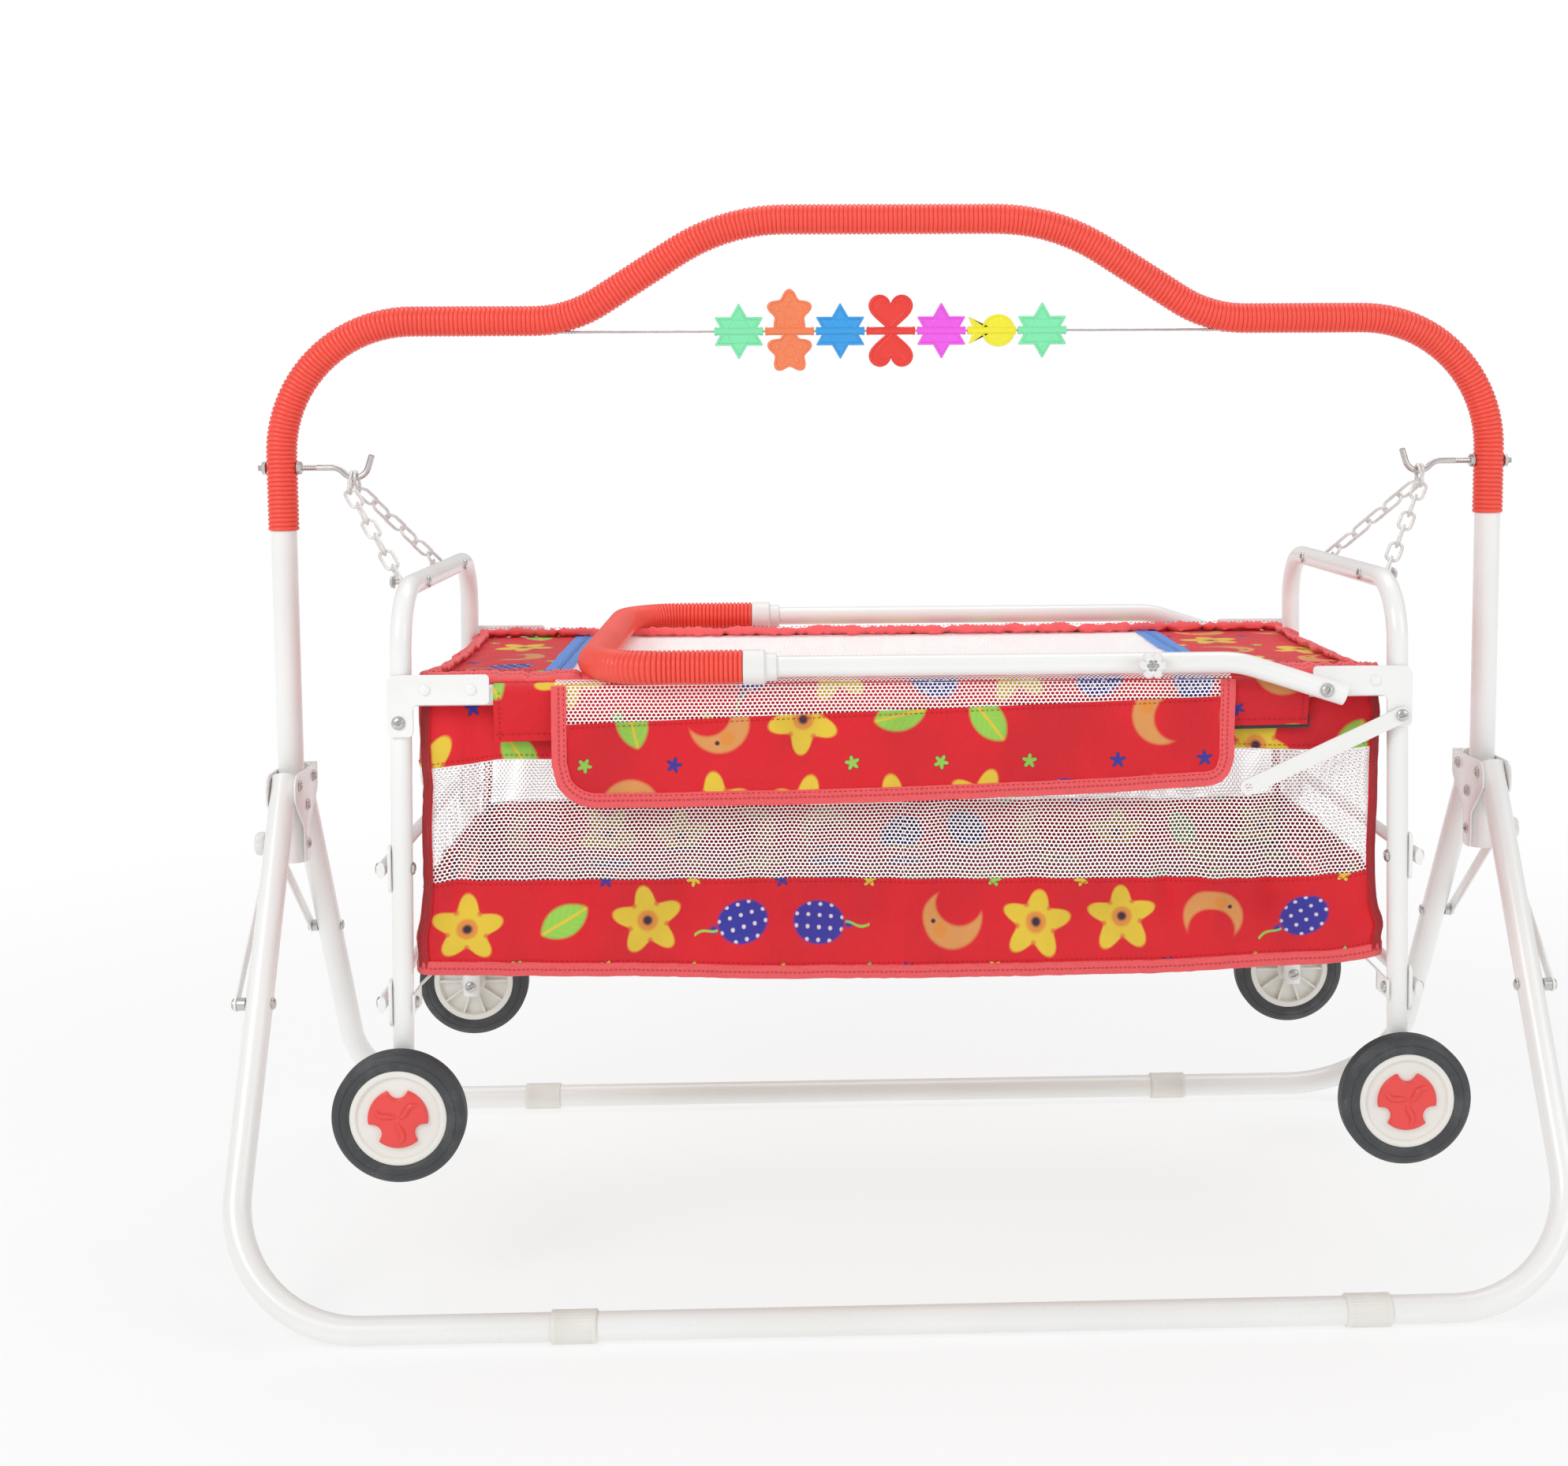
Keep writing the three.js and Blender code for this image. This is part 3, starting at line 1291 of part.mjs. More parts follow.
// Wheels: tyre on a rim whose cap closes the outer end of the hub
function wheel(end, face) {
  const sides = 12;
  const group = new THREE.Group();
  group.position.set(end.side * frameFootHalfSpan, face.side * wheelMiddle, axleHeight);
  group.rotation.x = face.side < 0 ? Math.PI : 0;
  cradle.add(group);
  const name = `${face.name}_${end.name}`;
  const lathe = (points) => new THREE.LatheGeometry(points.map(([x, y]) => new THREE.Vector2(x, y)), sides);

  const half = tyreWidth / 2;
  const seat = tyreSeatDiameter / 2 + fitGap;
  const tread = tyreDiameter / 2;
  const bead = rimWidth / 2;
  const tyre = lathe([
    [seat, -bead],
    [tread - tyreShoulder, -half],
    [tread, -half / 2],
    [tread, half / 2],
    [tread - tyreShoulder, half],
    [seat, bead],
    [seat, -bead],
  ]);
  place(group, `${name}_tyre`, joined([tyre]), blackRubber());

  const rim = tyreSeatDiameter / 2;
  const lip = rim - rimLipThickness;
  const web = rimWebThickness / 2;
  const bore = axleDiameter / 2 + fitGap * 2;
  const disc = lathe([
    [0, capInner],
    [bore, capInner],
    [bore, -half],
    [hubDiameter / 2, -half],
    [hubDiameter / 2, -web],
    [lip, -web],
    [lip, -bead],
    [rim, -bead],
    [rim, bead],
    [lip, bead],
    [lip, web],
    [hubDiameter / 2, web],
    [hubDiameter / 2, bead],
    [0, bead],
  ]);
  const cap = new THREE.CylinderGeometry(capDiameter / 2, capDiameter / 2, capThickness, sides);
  cap.translate(0, bead, 0);
  const notches = [0, 1, 2].map((lobe) => {
    const angle = (lobe / 3) * Math.PI * 2;
    const notch = new THREE.CylinderGeometry(hubDiameter / 3, hubDiameter / 3, capThickness * 2, boltSides);
    return notch.translate((capDiameter / 2) * Math.cos(angle), bead, (capDiameter / 2) * Math.sin(angle));
  });
  let body = solidOf(cap);
  for (const notch of notches) {
    body = body.subtract(solidOf(notch));
  }
  place(group, `${name}_wheel`, geometryOf(solidOf(disc).add(body)), whitePlastic());
}

ends.forEach(endFrame);
faces.forEach(rail);
ends.forEach((end) => faces.forEach((face) => cornerPlate(end, face)));
ends.forEach((end) => faces.forEach((face) => chain(end, face)));
baseFrame();
bedCloth();
netCover();
netFlap();
zipSlider('left_zip_slider', coverNetLeft);
zipSlider('right_zip_slider', coverNetRight);
pushHandle();
faces.forEach(handleStay);
ends.forEach((end) => faces.forEach((face) => wheel(end, face)));

export default object;
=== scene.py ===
import math

import bmesh
import bpy
from mathutils import Matrix, Vector, noise


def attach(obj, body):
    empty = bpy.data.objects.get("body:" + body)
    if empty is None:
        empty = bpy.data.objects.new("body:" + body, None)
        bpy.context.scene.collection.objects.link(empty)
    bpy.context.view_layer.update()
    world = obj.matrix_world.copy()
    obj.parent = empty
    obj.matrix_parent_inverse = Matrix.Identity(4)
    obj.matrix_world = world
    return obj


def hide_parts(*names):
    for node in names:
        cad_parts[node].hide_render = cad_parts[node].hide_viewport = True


# A swing cradle on a folding tube stand. Lengths below are in millimetres and
# become metres when a mesh is made.

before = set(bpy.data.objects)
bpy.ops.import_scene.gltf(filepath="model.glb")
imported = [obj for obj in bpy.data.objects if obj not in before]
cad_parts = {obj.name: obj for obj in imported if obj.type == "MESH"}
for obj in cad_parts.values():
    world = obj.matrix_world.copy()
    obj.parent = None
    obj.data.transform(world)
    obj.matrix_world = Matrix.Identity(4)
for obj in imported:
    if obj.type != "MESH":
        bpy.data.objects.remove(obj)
scene = bpy.context.scene
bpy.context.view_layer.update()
print("frame loaded")


# Shader sockets that can be added, multiplied and compared
class Wire:
    def __init__(self, finish, socket):
        self.finish = finish
        self.socket = socket

    def math(self, operation, *others):
        values = [self, *others]
        return self.finish.wire("ShaderNodeMath", {"operation": operation}, dict(enumerate(values)))

    def turned(self, operation, other):
        return self.finish.wire("ShaderNodeMath", {"operation": operation}, {0: other, 1: self})

    def __add__(self, other):
        return self.math("ADD", other)

    __radd__ = __add__

    def __mul__(self, other):
        return self.math("MULTIPLY", other)

    __rmul__ = __mul__

    def __sub__(self, other):
        return self.math("SUBTRACT", other)

    def __rsub__(self, other):
        return self.turned("SUBTRACT", other)

    def __truediv__(self, other):
        return self.math("DIVIDE", other)

    def __rtruediv__(self, other):
        return self.turned("DIVIDE", other)

    def __neg__(self):
        return self * -1.0

    def __gt__(self, other):
        return self.math("GREATER_THAN", other)

    def __lt__(self, other):
        return self.math("LESS_THAN", other)

    def soft(self, low, high):
        # 0 below low, 1 above high, smooth between
        return self.finish.wire(
            "ShaderNodeMapRange", {"interpolation_type": "SMOOTHSTEP"},
            {"Value": self, "From Min": low, "From Max": high, "To Min": 0.0, "To Max": 1.0})

    def parts(self):
        made = self.finish.node("ShaderNodeSeparateXYZ", {}, {0: self})
        return [Wire(self.finish, output) for output in made.outputs]


class Finish:
    # A material with a Principled surface; settings go on the sockets themselves
    def __init__(self, name, **constants):
        self.material = bpy.data.materials.new(name)
        self.material.use_nodes = True
        self.tree = self.material.node_tree
        self.tree.nodes.clear()
        self.output = self.tree.nodes.new("ShaderNodeOutputMaterial")
        self.surface = self.tree.nodes.new("ShaderNodeBsdfPrincipled")
        self.tree.links.new(self.surface.outputs[0], self.output.inputs["Surface"])
        for socket, value in constants.items():
            self.feed(self.surface.inputs[socket.replace("_", " ")], value)

    def feed(self, socket, value):
        if isinstance(value, Wire):
            self.tree.links.new(value.socket, socket)
        elif isinstance(value, (tuple, list)) and socket.type == "RGBA" and len(value) == 3:
            socket.default_value = (*value, 1.0)
        else:
            socket.default_value = value

    def node(self, kind, settings=None, inputs=None):
        made = self.tree.nodes.new(kind)
        for key, value in (settings or {}).items():
            if key == "stops":
                ramp = made.color_ramp
                while len(ramp.elements) < len(value):
                    ramp.elements.new(0.5)
                for element, (place, colour) in zip(ramp.elements, value):
                    element.position = place
                    element.color = (*colour, 1.0)
            else:
                setattr(made, key, value)
        for key, value in (inputs or {}).items():
            self.feed(made.inputs[key], value)
        return made

    def wire(self, kind, settings=None, inputs=None, output=0):
        return Wire(self, self.node(kind, settings, inputs).outputs[output])

    def place(self):
        return self.wire("ShaderNodeTexCoord", output="Object")

    def flat(self):
        return self.wire("ShaderNodeUVMap", {"uv_map": "cut"})

    def noise(self, scale, detail=3.0, at=None, roughness=0.5, stretch=None):
        spot = at if at is not None else self.place()
        if stretch:
            spot = self.vector("MULTIPLY", spot, {1: stretch})
        return self.wire(
            "ShaderNodeTexNoise", {},
            {"Vector": spot, "Scale": scale, "Detail": detail, "Roughness": roughness})

    def vector(self, operation, first, inputs):
        return self.wire("ShaderNodeVectorMath", {"operation": operation}, {0: first, **inputs})

    def mix(self, mask, low, high):
        # The node's colour sockets are 6 and 7, and its colour output is 2
        return self.wire("ShaderNodeMix", {"data_type": "RGBA"}, {0: mask, 6: low, 7: high}, 2)

    def bump(self, height, distance, strength):
        self.set(Normal=self.wire(
            "ShaderNodeBump", {}, {"Height": height, "Distance": distance, "Strength": strength}))

    def set(self, **inputs):
        for socket, value in inputs.items():
            self.feed(self.surface.inputs[socket.replace("_", " ")], value)
        return self


def dimmed(colour, share):
    return tuple(channel * share for channel in colour)


# Paint and metal
def enamelFinish():
    finish = Finish("whiteEnamel", Coat_Weight=0.35, Coat_Roughness=0.12)
    broad = finish.noise(5.0, 2.0)
    grain = finish.noise(420.0, 2.0)
    scuffs = finish.noise(60.0, 6.0, roughness=0.75, stretch=(1.0, 1.0, 0.25)).soft(0.70, 0.78)
    clean = finish.mix(broad.soft(0.35, 0.65), (0.865, 0.865, 0.845), (0.91, 0.91, 0.895))
    finish.set(Base_Color=finish.mix(scuffs * 0.35, clean, (0.52, 0.50, 0.47)))
    finish.set(Roughness=0.24 + grain * 0.10 + scuffs * 0.25)
    finish.bump(grain + scuffs * -0.6, 0.00006, 0.5)
    return finish.material


def zincFinish(name="zincPlate", pale=1.0, metal=1.0):
    finish = Finish(name, Metallic=metal)
    cloud = finish.noise(90.0, 4.0)
    lines = finish.noise(700.0, 2.0, stretch=(1.0, 1.0, 0.12))
    spots = finish.noise(260.0, 3.0).soft(0.66, 0.74)
    plate = finish.mix(cloud, dimmed((0.50, 0.50, 0.49), pale), dimmed((0.72, 0.71, 0.69), pale))
    finish.set(Base_Color=finish.mix(spots * 0.5, plate, (0.33, 0.30, 0.26)))
    finish.set(Roughness=0.26 + cloud * 0.22 + spots * 0.2)
    finish.bump(lines, 0.00005, 0.5)
    return finish.material


# Moulded plastics: slight flow marks, fine grain and dulled patches
def plasticFinish(name, colour, rough=0.32, haze=0.12, glow=0.0):
    finish = Finish(name, IOR=1.48, Subsurface_Weight=glow, Subsurface_Radius=(0.004, 0.003, 0.002))
    broad = finish.noise(14.0, 3.0)
    grain = finish.noise(650.0, 2.0)
    dust = finish.noise(45.0, 5.0, roughness=0.7).soft(0.62, 0.8)
    pale = tuple(channel + (1.0 - channel) * 0.25 for channel in colour)
    finish.set(Base_Color=finish.mix(dust * haze, finish.mix(broad, dimmed(colour, 0.86), colour), pale))
    finish.set(Roughness=rough + grain * 0.12 + dust * 0.15)
    finish.bump(grain + broad * 2.0, 0.00008, 0.4)
    return finish.material


def rubberFinish():
    finish = Finish("tyreRubber", IOR=1.5)
    grain = finish.noise(900.0, 3.0)
    dust = finish.noise(26.0, 5.0, roughness=0.7).soft(0.45, 0.75)
    scrapes = finish.noise(160.0, 5.0, roughness=0.8, stretch=(0.3, 1.0, 0.3)).soft(0.62, 0.72)
    black = finish.mix(dust, (0.045, 0.048, 0.052), (0.095, 0.10, 0.105))
    finish.set(Base_Color=finish.mix(scrapes * 0.6, black, (0.20, 0.20, 0.20)))
    finish.set(Roughness=0.50 + dust * 0.22 + scrapes * 0.15)
    finish.bump(grain + scrapes * 1.5, 0.00018, 0.6)
    return finish.material


def boardFinish():
    finish = Finish("bedBoard")
    grain = finish.noise(26.0, 5.0, stretch=(0.12, 1.0, 1.0), roughness=0.65)
    fibre = finish.noise(300.0, 3.0, stretch=(0.08, 1.0, 1.0))
    finish.set(Base_Color=finish.mix(grain.soft(0.3, 0.7), (0.30, 0.19, 0.105), (0.50, 0.36, 0.22)))
    finish.set(Roughness=0.62 + fibre * 0.2)
    finish.bump(grain + fibre * 0.5, 0.0003, 0.6)
    return finish.material


# The cloth's print. Motifs sit one to a cell, each turned and shifted its own
# way, with small stars between the cells. Distances are shares of a cell.
printSizes = {"cell": 0.080, "motif": 0.86, "shift": 0.10, "bloomShare": 0.30, "balloonShare": 0.52,
              "moonShare": 0.76, "leafShare": 0.93, "starGap": 0.2, "yellowStars": 0.5, "greenStars": 0.8}
printColours = {
    "red": (0.90, 0.014, 0.028),
    "redDark": (0.80, 0.007, 0.018),
    "yellow": (0.94, 0.66, 0.05),
    "orange": (0.90, 0.33, 0.06),
    "tan": (0.86, 0.37, 0.11),
    "blue": (0.040, 0.040, 0.40),
    "green": (0.34, 0.74, 0.10),
    "pale": (0.90, 0.80, 0.80),
    "line": (0.045, 0.02, 0.05),
}


def cellOf(finish, spot, size, offset):
    # The place within its cell, one chance for the cell and three more
    scaled = finish.vector("SCALE", finish.vector("ADD", spot, {1: offset}), {3: 1.0 / size})
    index = finish.vector("FLOOR", scaled, {})
    centred = finish.vector("SUBTRACT", finish.vector("SUBTRACT", scaled, {1: index}), {1: (0.5, 0.5, 0.0)})
    chance = finish.node("ShaderNodeTexWhiteNoise", {"noise_dimensions": "2D"}, {"Vector": index})
    return centred, Wire(finish, chance.outputs["Value"]), Wire(finish, chance.outputs["Color"]).parts()


def spin(finish, spot, turn):
    return finish.wire(
        "ShaderNodeVectorRotate", {"rotation_type": "Z_AXIS"},
        {"Vector": spot, "Center": (0.0, 0.0, 0.0), "Angle": turn * (2.0 * math.pi)})


def disc(finish, x, y, radius, edge=0.02):
    reach = (x * x + y * y).math("SQRT")
    return 1.0 - reach.soft(radius - edge, radius + edge)


def lobes(finish, x, y, radius, depth, count, edge=0.02):
    angle = y.math("ARCTAN2", x)
    wave = (angle * count).math("COSINE") * depth + radius
    reach = (x * x + y * y).math("SQRT") - wave
    return 1.0 - reach.soft(-edge, edge)


def printedColour(finish):
    colours = printColours
    spot = finish.flat()
    weave = finish.noise(7.0, 3.0, at=spot)
    ground = finish.mix(weave, colours["redDark"], colours["red"])

    centred, chance, (shiftX, shiftY, turn) = cellOf(finish, spot, printSizes["cell"], (3.037, 5.055, 0.0))
    shifted = finish.vector("SUBTRACT", centred, {1: finish.wire("ShaderNodeCombineXYZ", {}, {
        0: (shiftX - 0.5) * printSizes["shift"], 1: (shiftY - 0.5) * printSizes["shift"]})})
    x, y, _ = spin(finish, shifted, turn).parts()
    x, y = x * printSizes["motif"], y * printSizes["motif"]

    # A five-petalled blossom with an orange eye and petal creases
    blossom = lobes(finish, x, y, 0.27, 0.075, 5.0)
    eye = disc(finish, x, y, 0.10)
    pips = disc(finish, x, y, 0.045)
    bloom = finish.mix(pips, finish.mix(eye, colours["yellow"], colours["orange"]), colours["line"])
    ringX, ringY = (x * x + y * y).math("SQRT") - 0.185, y.math("ARCTAN2", x) * (5.0 / (2.0 * math.pi))
    petalDots = disc(finish, ringX, (ringY.math("FRACT") - 0.5) * 0.2, 0.022, 0.008)
    bloom = finish.mix(petalDots, bloom, colours["orange"])

    # A balloon with its knot and string, dotted white
    balloon = disc(finish, x * 1.22, y - 0.06, 0.25)
    knot = disc(finish, x, (y + 0.235) * 0.9, 0.035)
    sway = (y * 22.0).math("SINE") * 0.018
    string = (1.0 - (x - sway).math("ABSOLUTE").soft(0.006, 0.018)) * (y < -0.2) * (y > -0.44)
    dotX = (x * 9.0).math("FRACT") - 0.5
    dotY = (y * 9.0).math("FRACT") - 0.5
    dots = disc(finish, dotX, dotY, 0.17, 0.06) * balloon
    skin = finish.mix(dots, colours["blue"], colours["pale"])
    balloonMask = balloon.math("MAXIMUM", knot)

    # A round-backed moon with a pale cheek
    full = disc(finish, x, y, 0.29)
    bite = disc(finish, x - 0.15, y - 0.05, 0.235)
    moon = full * (1.0 - bite)
    cheek = disc(finish, x + 0.17, y, 0.07)
    glow = finish.mix(cheek, colours["tan"], colours["orange"])
    blink = disc(finish, x + 0.16, y - 0.11, 0.022, 0.008)
    glow = finish.mix(blink, glow, colours["line"])

    # A leaf with its midrib
    leaf = disc(finish, x - 0.15, y, 0.30) * disc(finish, x + 0.15, y, 0.30)
    rib = 1.0 - x.math("ABSOLUTE").soft(0.008, 0.02)
    veins = 1.0 - (((y - x.math("ABSOLUTE")) * 12.0).math("FRACT") - 0.5).math("ABSOLUTE").soft(0.02, 0.08)
    frond = finish.mix(rib.math("MAXIMUM", veins * 0.5), colours["green"], colours["yellow"])

    # Each cell shows the one motif that its chance picks
    bloomTo, balloonTo, moonTo, leafTo = (
        printSizes[kind + "Share"] for kind in ("bloom", "balloon", "moon", "leaf"))
    isBalloon = (chance > bloomTo) * (chance < balloonTo)
    colour = finish.mix(blossom * (chance < bloomTo), ground, bloom)
    colour = finish.mix(balloonMask * isBalloon, colour, skin)
    colour = finish.mix(string * isBalloon, colour, colours["green"])
    colour = finish.mix(moon * ((chance > balloonTo) * (chance < moonTo)), colour, glow)
    colour = finish.mix(leaf * ((chance > moonTo) * (chance < leafTo)), colour, frond)

    # Small stars in the corners between the motifs
    inner, starChance, (starTurn, _, _) = cellOf(finish, spot, printSizes["cell"], (3.077, 5.095, 0.0))
    starX, starY, _ = spin(finish, inner, starTurn).parts()
    star = lobes(finish, starX, starY, 0.062, 0.024, 5.0, 0.006)
    rim = lobes(finish, starX, starY, 0.070, 0.027, 5.0, 0.006)
    starColour = finish.mix(starChance > printSizes["yellowStars"], colours["yellow"], colours["blue"])
    starColour = finish.mix(starChance > printSizes["greenStars"], starColour, colours["green"])
    shown = starChance > printSizes["starGap"]
    colour = finish.mix(rim * shown * 0.7, colour, colours["line"])
    return finish.mix(star * shown, colour, starColour)


# Satin, printed or plain; shade below 1 darkens what lies in the bed's shadow
def clothFinish(name, printed, shade=1.0):
    finish = Finish(name, Sheen_Weight=0.12, Sheen_Roughness=0.4, IOR=1.45)
    x, y, _ = finish.flat().parts()
    weave = 2.0 * math.pi / 0.0009
    threads = (x * weave).math("SINE") * (y * weave).math("SINE")
    creases = finish.noise(13.0, 4.0, at=finish.flat(), stretch=(1.0, 0.5, 1.0))
    mottle = finish.noise(40.0, 3.0, at=finish.flat())
    plain = finish.mix(mottle, printColours["redDark"], printColours["red"])
    colour = printedColour(finish) if printed else plain
    # Painted shade: the colour is darkened a little in the satin's creases, and more all over when shade is
    # below 1
    paintedShade = creases.soft(0.62, 0.30) * 0.16
    if shade < 1.0:
        paintedShade = paintedShade + 1.0 - shade
    finish.set(Base_Color=finish.mix(paintedShade, colour, (0.10, 0.0, 0.008)))
    finish.set(Roughness=0.50 + creases * 0.16 + threads * 0.03)
    small = finish.noise(46.0, 5.0, at=finish.flat(), stretch=(0.7, 1.0, 1.0))
    finish.bump(threads * 0.05 + creases * 3.4 + small * 0.9, 0.0034, 0.9)
    return finish.material


# Coral satin binding: fine ribs across the tape, with a row of stitches
def bindingFinish():
    finish = Finish("coralBinding", Sheen_Weight=0.2, Sheen_Roughness=0.35)
    x, y, _ = finish.flat().parts()
    ribs = (x * (2.0 * math.pi / 0.0012)).math("SINE")
    pucker = finish.noise(150.0, 3.0, at=finish.flat(), stretch=(1.0, 0.3, 1.0))
    stitchLine = 1.0 - (y - 0.5).math("ABSOLUTE").soft(0.04, 0.09)
    stitches = stitchLine * ((x / 0.0042).math("FRACT")).soft(0.28, 0.36)
    satin = finish.mix(pucker, (0.93, 0.080, 0.092), (0.99, 0.145, 0.155))
    finish.set(Base_Color=finish.mix(stitches * 0.75, satin, (0.60, 0.020, 0.030)))
    finish.set(Roughness=0.42 + pucker * 0.2)
    finish.bump(ribs * 0.08 + pucker * 1.2 - stitches * 0.8, 0.0008, 0.8)
    return finish.material


# Knitted net: rows of rounded holes set half a pitch over from row to row. A
# larger hole leaves thinner threads.
netSizes = {"pitch": 0.0040, "row": 0.0031}


def netFinish(name="whiteNet", hole=0.40, tint=(0.97, 0.955, 0.96), glow=0.12):
    # The threads glow a little by emission: painted light that brightens them, no lamp
    finish = Finish(name, Emission_Strength=glow)
    # The knit is stretched unevenly, so its rows wander
    wander = finish.noise(11.0, 2.0, at=finish.flat()) - 0.5
    x, y, _ = finish.flat().parts()
    x, y = x + wander * 0.004, y + wander * 0.003
    rowPlace = y / netSizes["row"]
    row = rowPlace.math("FLOOR")
    shift = (row * 0.5).math("FRACT")
    across = (x / netSizes["pitch"] + shift).math("FRACT") - 0.5
    along = (rowPlace.math("FRACT") - 0.5) * (netSizes["row"] / netSizes["pitch"])
    reach = (across * across + along * along * 1.5).math("SQRT")
    thread = reach.soft(hole - 0.05, hole + 0.03)
    tone = finish.noise(9.0, 3.0, at=finish.flat())
    colour = finish.mix(tone, dimmed(tint, 0.95), tint)
    finish.set(Base_Color=colour, Emission_Color=colour)
    finish.set(Roughness=0.6 + tone * 0.1)
    finish.set(Alpha=thread)
    finish.bump(thread, 0.0002, 0.2)
    finish.material.surface_render_method = "DITHERED"
    return finish.material


def zipFinish():
    finish = Finish("zipTape")
    x, y, _ = finish.flat().parts()
    teeth = 1.0 - (y - 0.5).math("ABSOLUTE").soft(0.10, 0.13)
    bite = ((x / 0.0024).math("FRACT")).soft(0.45, 0.55) * teeth
    ribs = (y * 40.0).math("SINE")
    tape = finish.mix(ribs * 0.5 + 0.5, (0.075, 0.25, 0.72), (0.11, 0.33, 0.82))
    finish.set(Base_Color=finish.mix(bite, finish.mix(teeth, tape, (0.015, 0.045, 0.17)), (0.16, 0.36, 0.75)))
    finish.set(Roughness=0.55 - bite * 0.2)
    finish.bump(bite * 2.0 + teeth + ribs * 0.15, 0.0006, 0.8)
    return finish.material


def velcroFinish():
    finish = Finish("hookTape", Sheen_Weight=0.4)
    fuzz = finish.noise(900.0, 3.0)
    finish.set(Base_Color=finish.mix(fuzz, (0.008, 0.008, 0.010), (0.05, 0.05, 0.055)))
    finish.set(Roughness=0.8 + fuzz * 0.15)
    finish.bump(fuzz, 0.0008, 1.0)
    return finish.material


coralColour = (0.96, 0.096, 0.064)
finishes = {
    "enamel": enamelFinish(),
    "zinc": zincFinish(),
    "chain": zincFinish("paleChain", 1.26, 0.25),
    "coral": plasticFinish("coralSleeve", coralColour, 0.30, 0.10),
    "cream": plasticFinish("creamPlastic", (0.89, 0.875, 0.82), 0.34, 0.05, 0.1),
    "white": plasticFinish("whitePlastic", (0.90, 0.90, 0.885), 0.34, 0.05),
    "capRed": plasticFinish("capRed", (0.90, 0.075, 0.068), 0.25, 0.05),
    "rubber": rubberFinish(),
    "board": boardFinish(),
    "print": clothFinish("printedCloth", True),
    # Printed cloth at half brightness: painted shade for the deck, which lies in the bed's shadow
    "shadedPrint": clothFinish("shadedPrint", True, 0.5),
    "redTape": clothFinish("redTape", False),
    "binding": bindingFinish(),
    # Both nets glow a little, the close net more: painted light on their threads
    "net": netFinish(),
    "closeNet": netFinish("closeNet", 0.22, (0.98, 0.97, 0.97), 0.16),
    "zip": zipFinish(),
    "velcro": velcroFinish(),
    "thread": plasticFinish("thread", (0.52, 0.012, 0.020), 0.6, 0.0),
    "green": plasticFinish("toyGreen", (0.26, 0.90, 0.50), 0.22, 0.2, 0.15),
    "orange": plasticFinish("toyOrange", (0.95, 0.26, 0.11), 0.24, 0.2, 0.15),
    "blue": plasticFinish("toyBlue", (0.050, 0.40, 0.88), 0.24, 0.2, 0.1),
    "red": plasticFinish("toyRed", (0.90, 0.060, 0.045), 0.24, 0.2, 0.1),
    "magenta": plasticFinish("toyMagenta", (0.92, 0.13, 0.88), 0.22, 0.2, 0.15),
    "yellow": plasticFinish("toyYellow", (0.93, 0.88, 0.045), 0.24, 0.2, 0.15),
}
print("finishes made:", len(finishes))


# Mesh making. A shell is (points, faces, finish name, flat coordinates or None).
def at(x, y, z):
    return Vector((x, y, z))


def clamp(value):
    return max(0.0, min(1.0, value))


def noiseAt(x, y, z=0.0):
    return noise.noise(Vector((x, y, z)))


ends = {"left": -1, "right": 1}
sides = {"front": -1, "rear": 1}


def makePiece(name, shells, body, replaced=(), sharp=38.0):
    points, faces, used, picks, flats = [], [], [], [], []
    for shellPoints, shellFaces, finishName, flat in shells:
        base = len(points)
        points.extend(Vector(p) * 0.001 for p in shellPoints)
        if finishName not in used:
            used.append(finishName)
        for face in shellFaces:
            faces.append([base + i for i in face])
            picks.append(used.index(finishName))
            flats.append([flat[i] if flat else (0.0, 0.0) for i in face])
    mesh = bpy.data.meshes.new(name)
    mesh.from_pydata(points, [], faces)
    for finishName in used:
        mesh.materials.append(finishes[finishName])
    mesh.polygons.foreach_set("material_index", picks)
    layer = mesh.uv_layers.new(name="cut")
    layer.data.foreach_set("uv", [value for face in flats for spot in face for value in spot])
    mesh.polygons.foreach_set("use_smooth", [True] * len(faces))
    mesh.update()
    mesh.set_sharp_from_angle(angle=math.radians(sharp))
    piece = bpy.data.objects.new(name, mesh)
    scene.collection.objects.link(piece)
    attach(piece, body)
    if replaced:
        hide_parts(*replaced)
    return piece


def bentPath(corners, radii, step=5.0):
    # Corners rounded by arcs that touch both runs
    corners = [Vector(c) for c in corners]
    path = [corners[0]]
    for index in range(1, len(corners) - 1):
        before, corner, after = corners[index - 1], corners[index], corners[index + 1]
        radius = radii[min(index - 1, len(radii) - 1)]
        into = (corner - before).normalized()
        out = (after - corner).normalized()
        turn = into.angle(out)
        if turn < 0.001:
            continue
        reach = radius * math.tan(turn / 2)
        start = corner - into * reach
        inward = (out - into * into.dot(out)).normalized()
        centre = start + inward * radius
        count = max(2, math.ceil(math.degrees(turn) / step))
        for k in range(count + 1):
            angle = turn * k / count
            path.append(centre - inward * radius * math.cos(angle) + into * radius * math.sin(angle))
    path.append(corners[-1])
    return path


def along(path, count=None, spacing=None):
    # The path again, at even steps
    lengths = [0.0]
    for a, b in zip(path, path[1:]):
        lengths.append(lengths[-1] + (b - a).length)
    total = lengths[-1]
    count = count or max(2, round(total / spacing))
    result, k = [], 0
    for i in range(count + 1):
        want = total * i / count
        while k < len(lengths) - 2 and lengths[k + 1] < want:
            k += 1
        share = (want - lengths[k]) / max(lengths[k + 1] - lengths[k], 1e-9)
        result.append(path[k].lerp(path[k + 1], share))
    return result


def pathLength(path):
    return sum((b - a).length for a, b in zip(path, path[1:]))


def heading(path, i):
    return (path[min(i + 1, len(path) - 1)] - path[max(i - 1, 0)]).normalized()


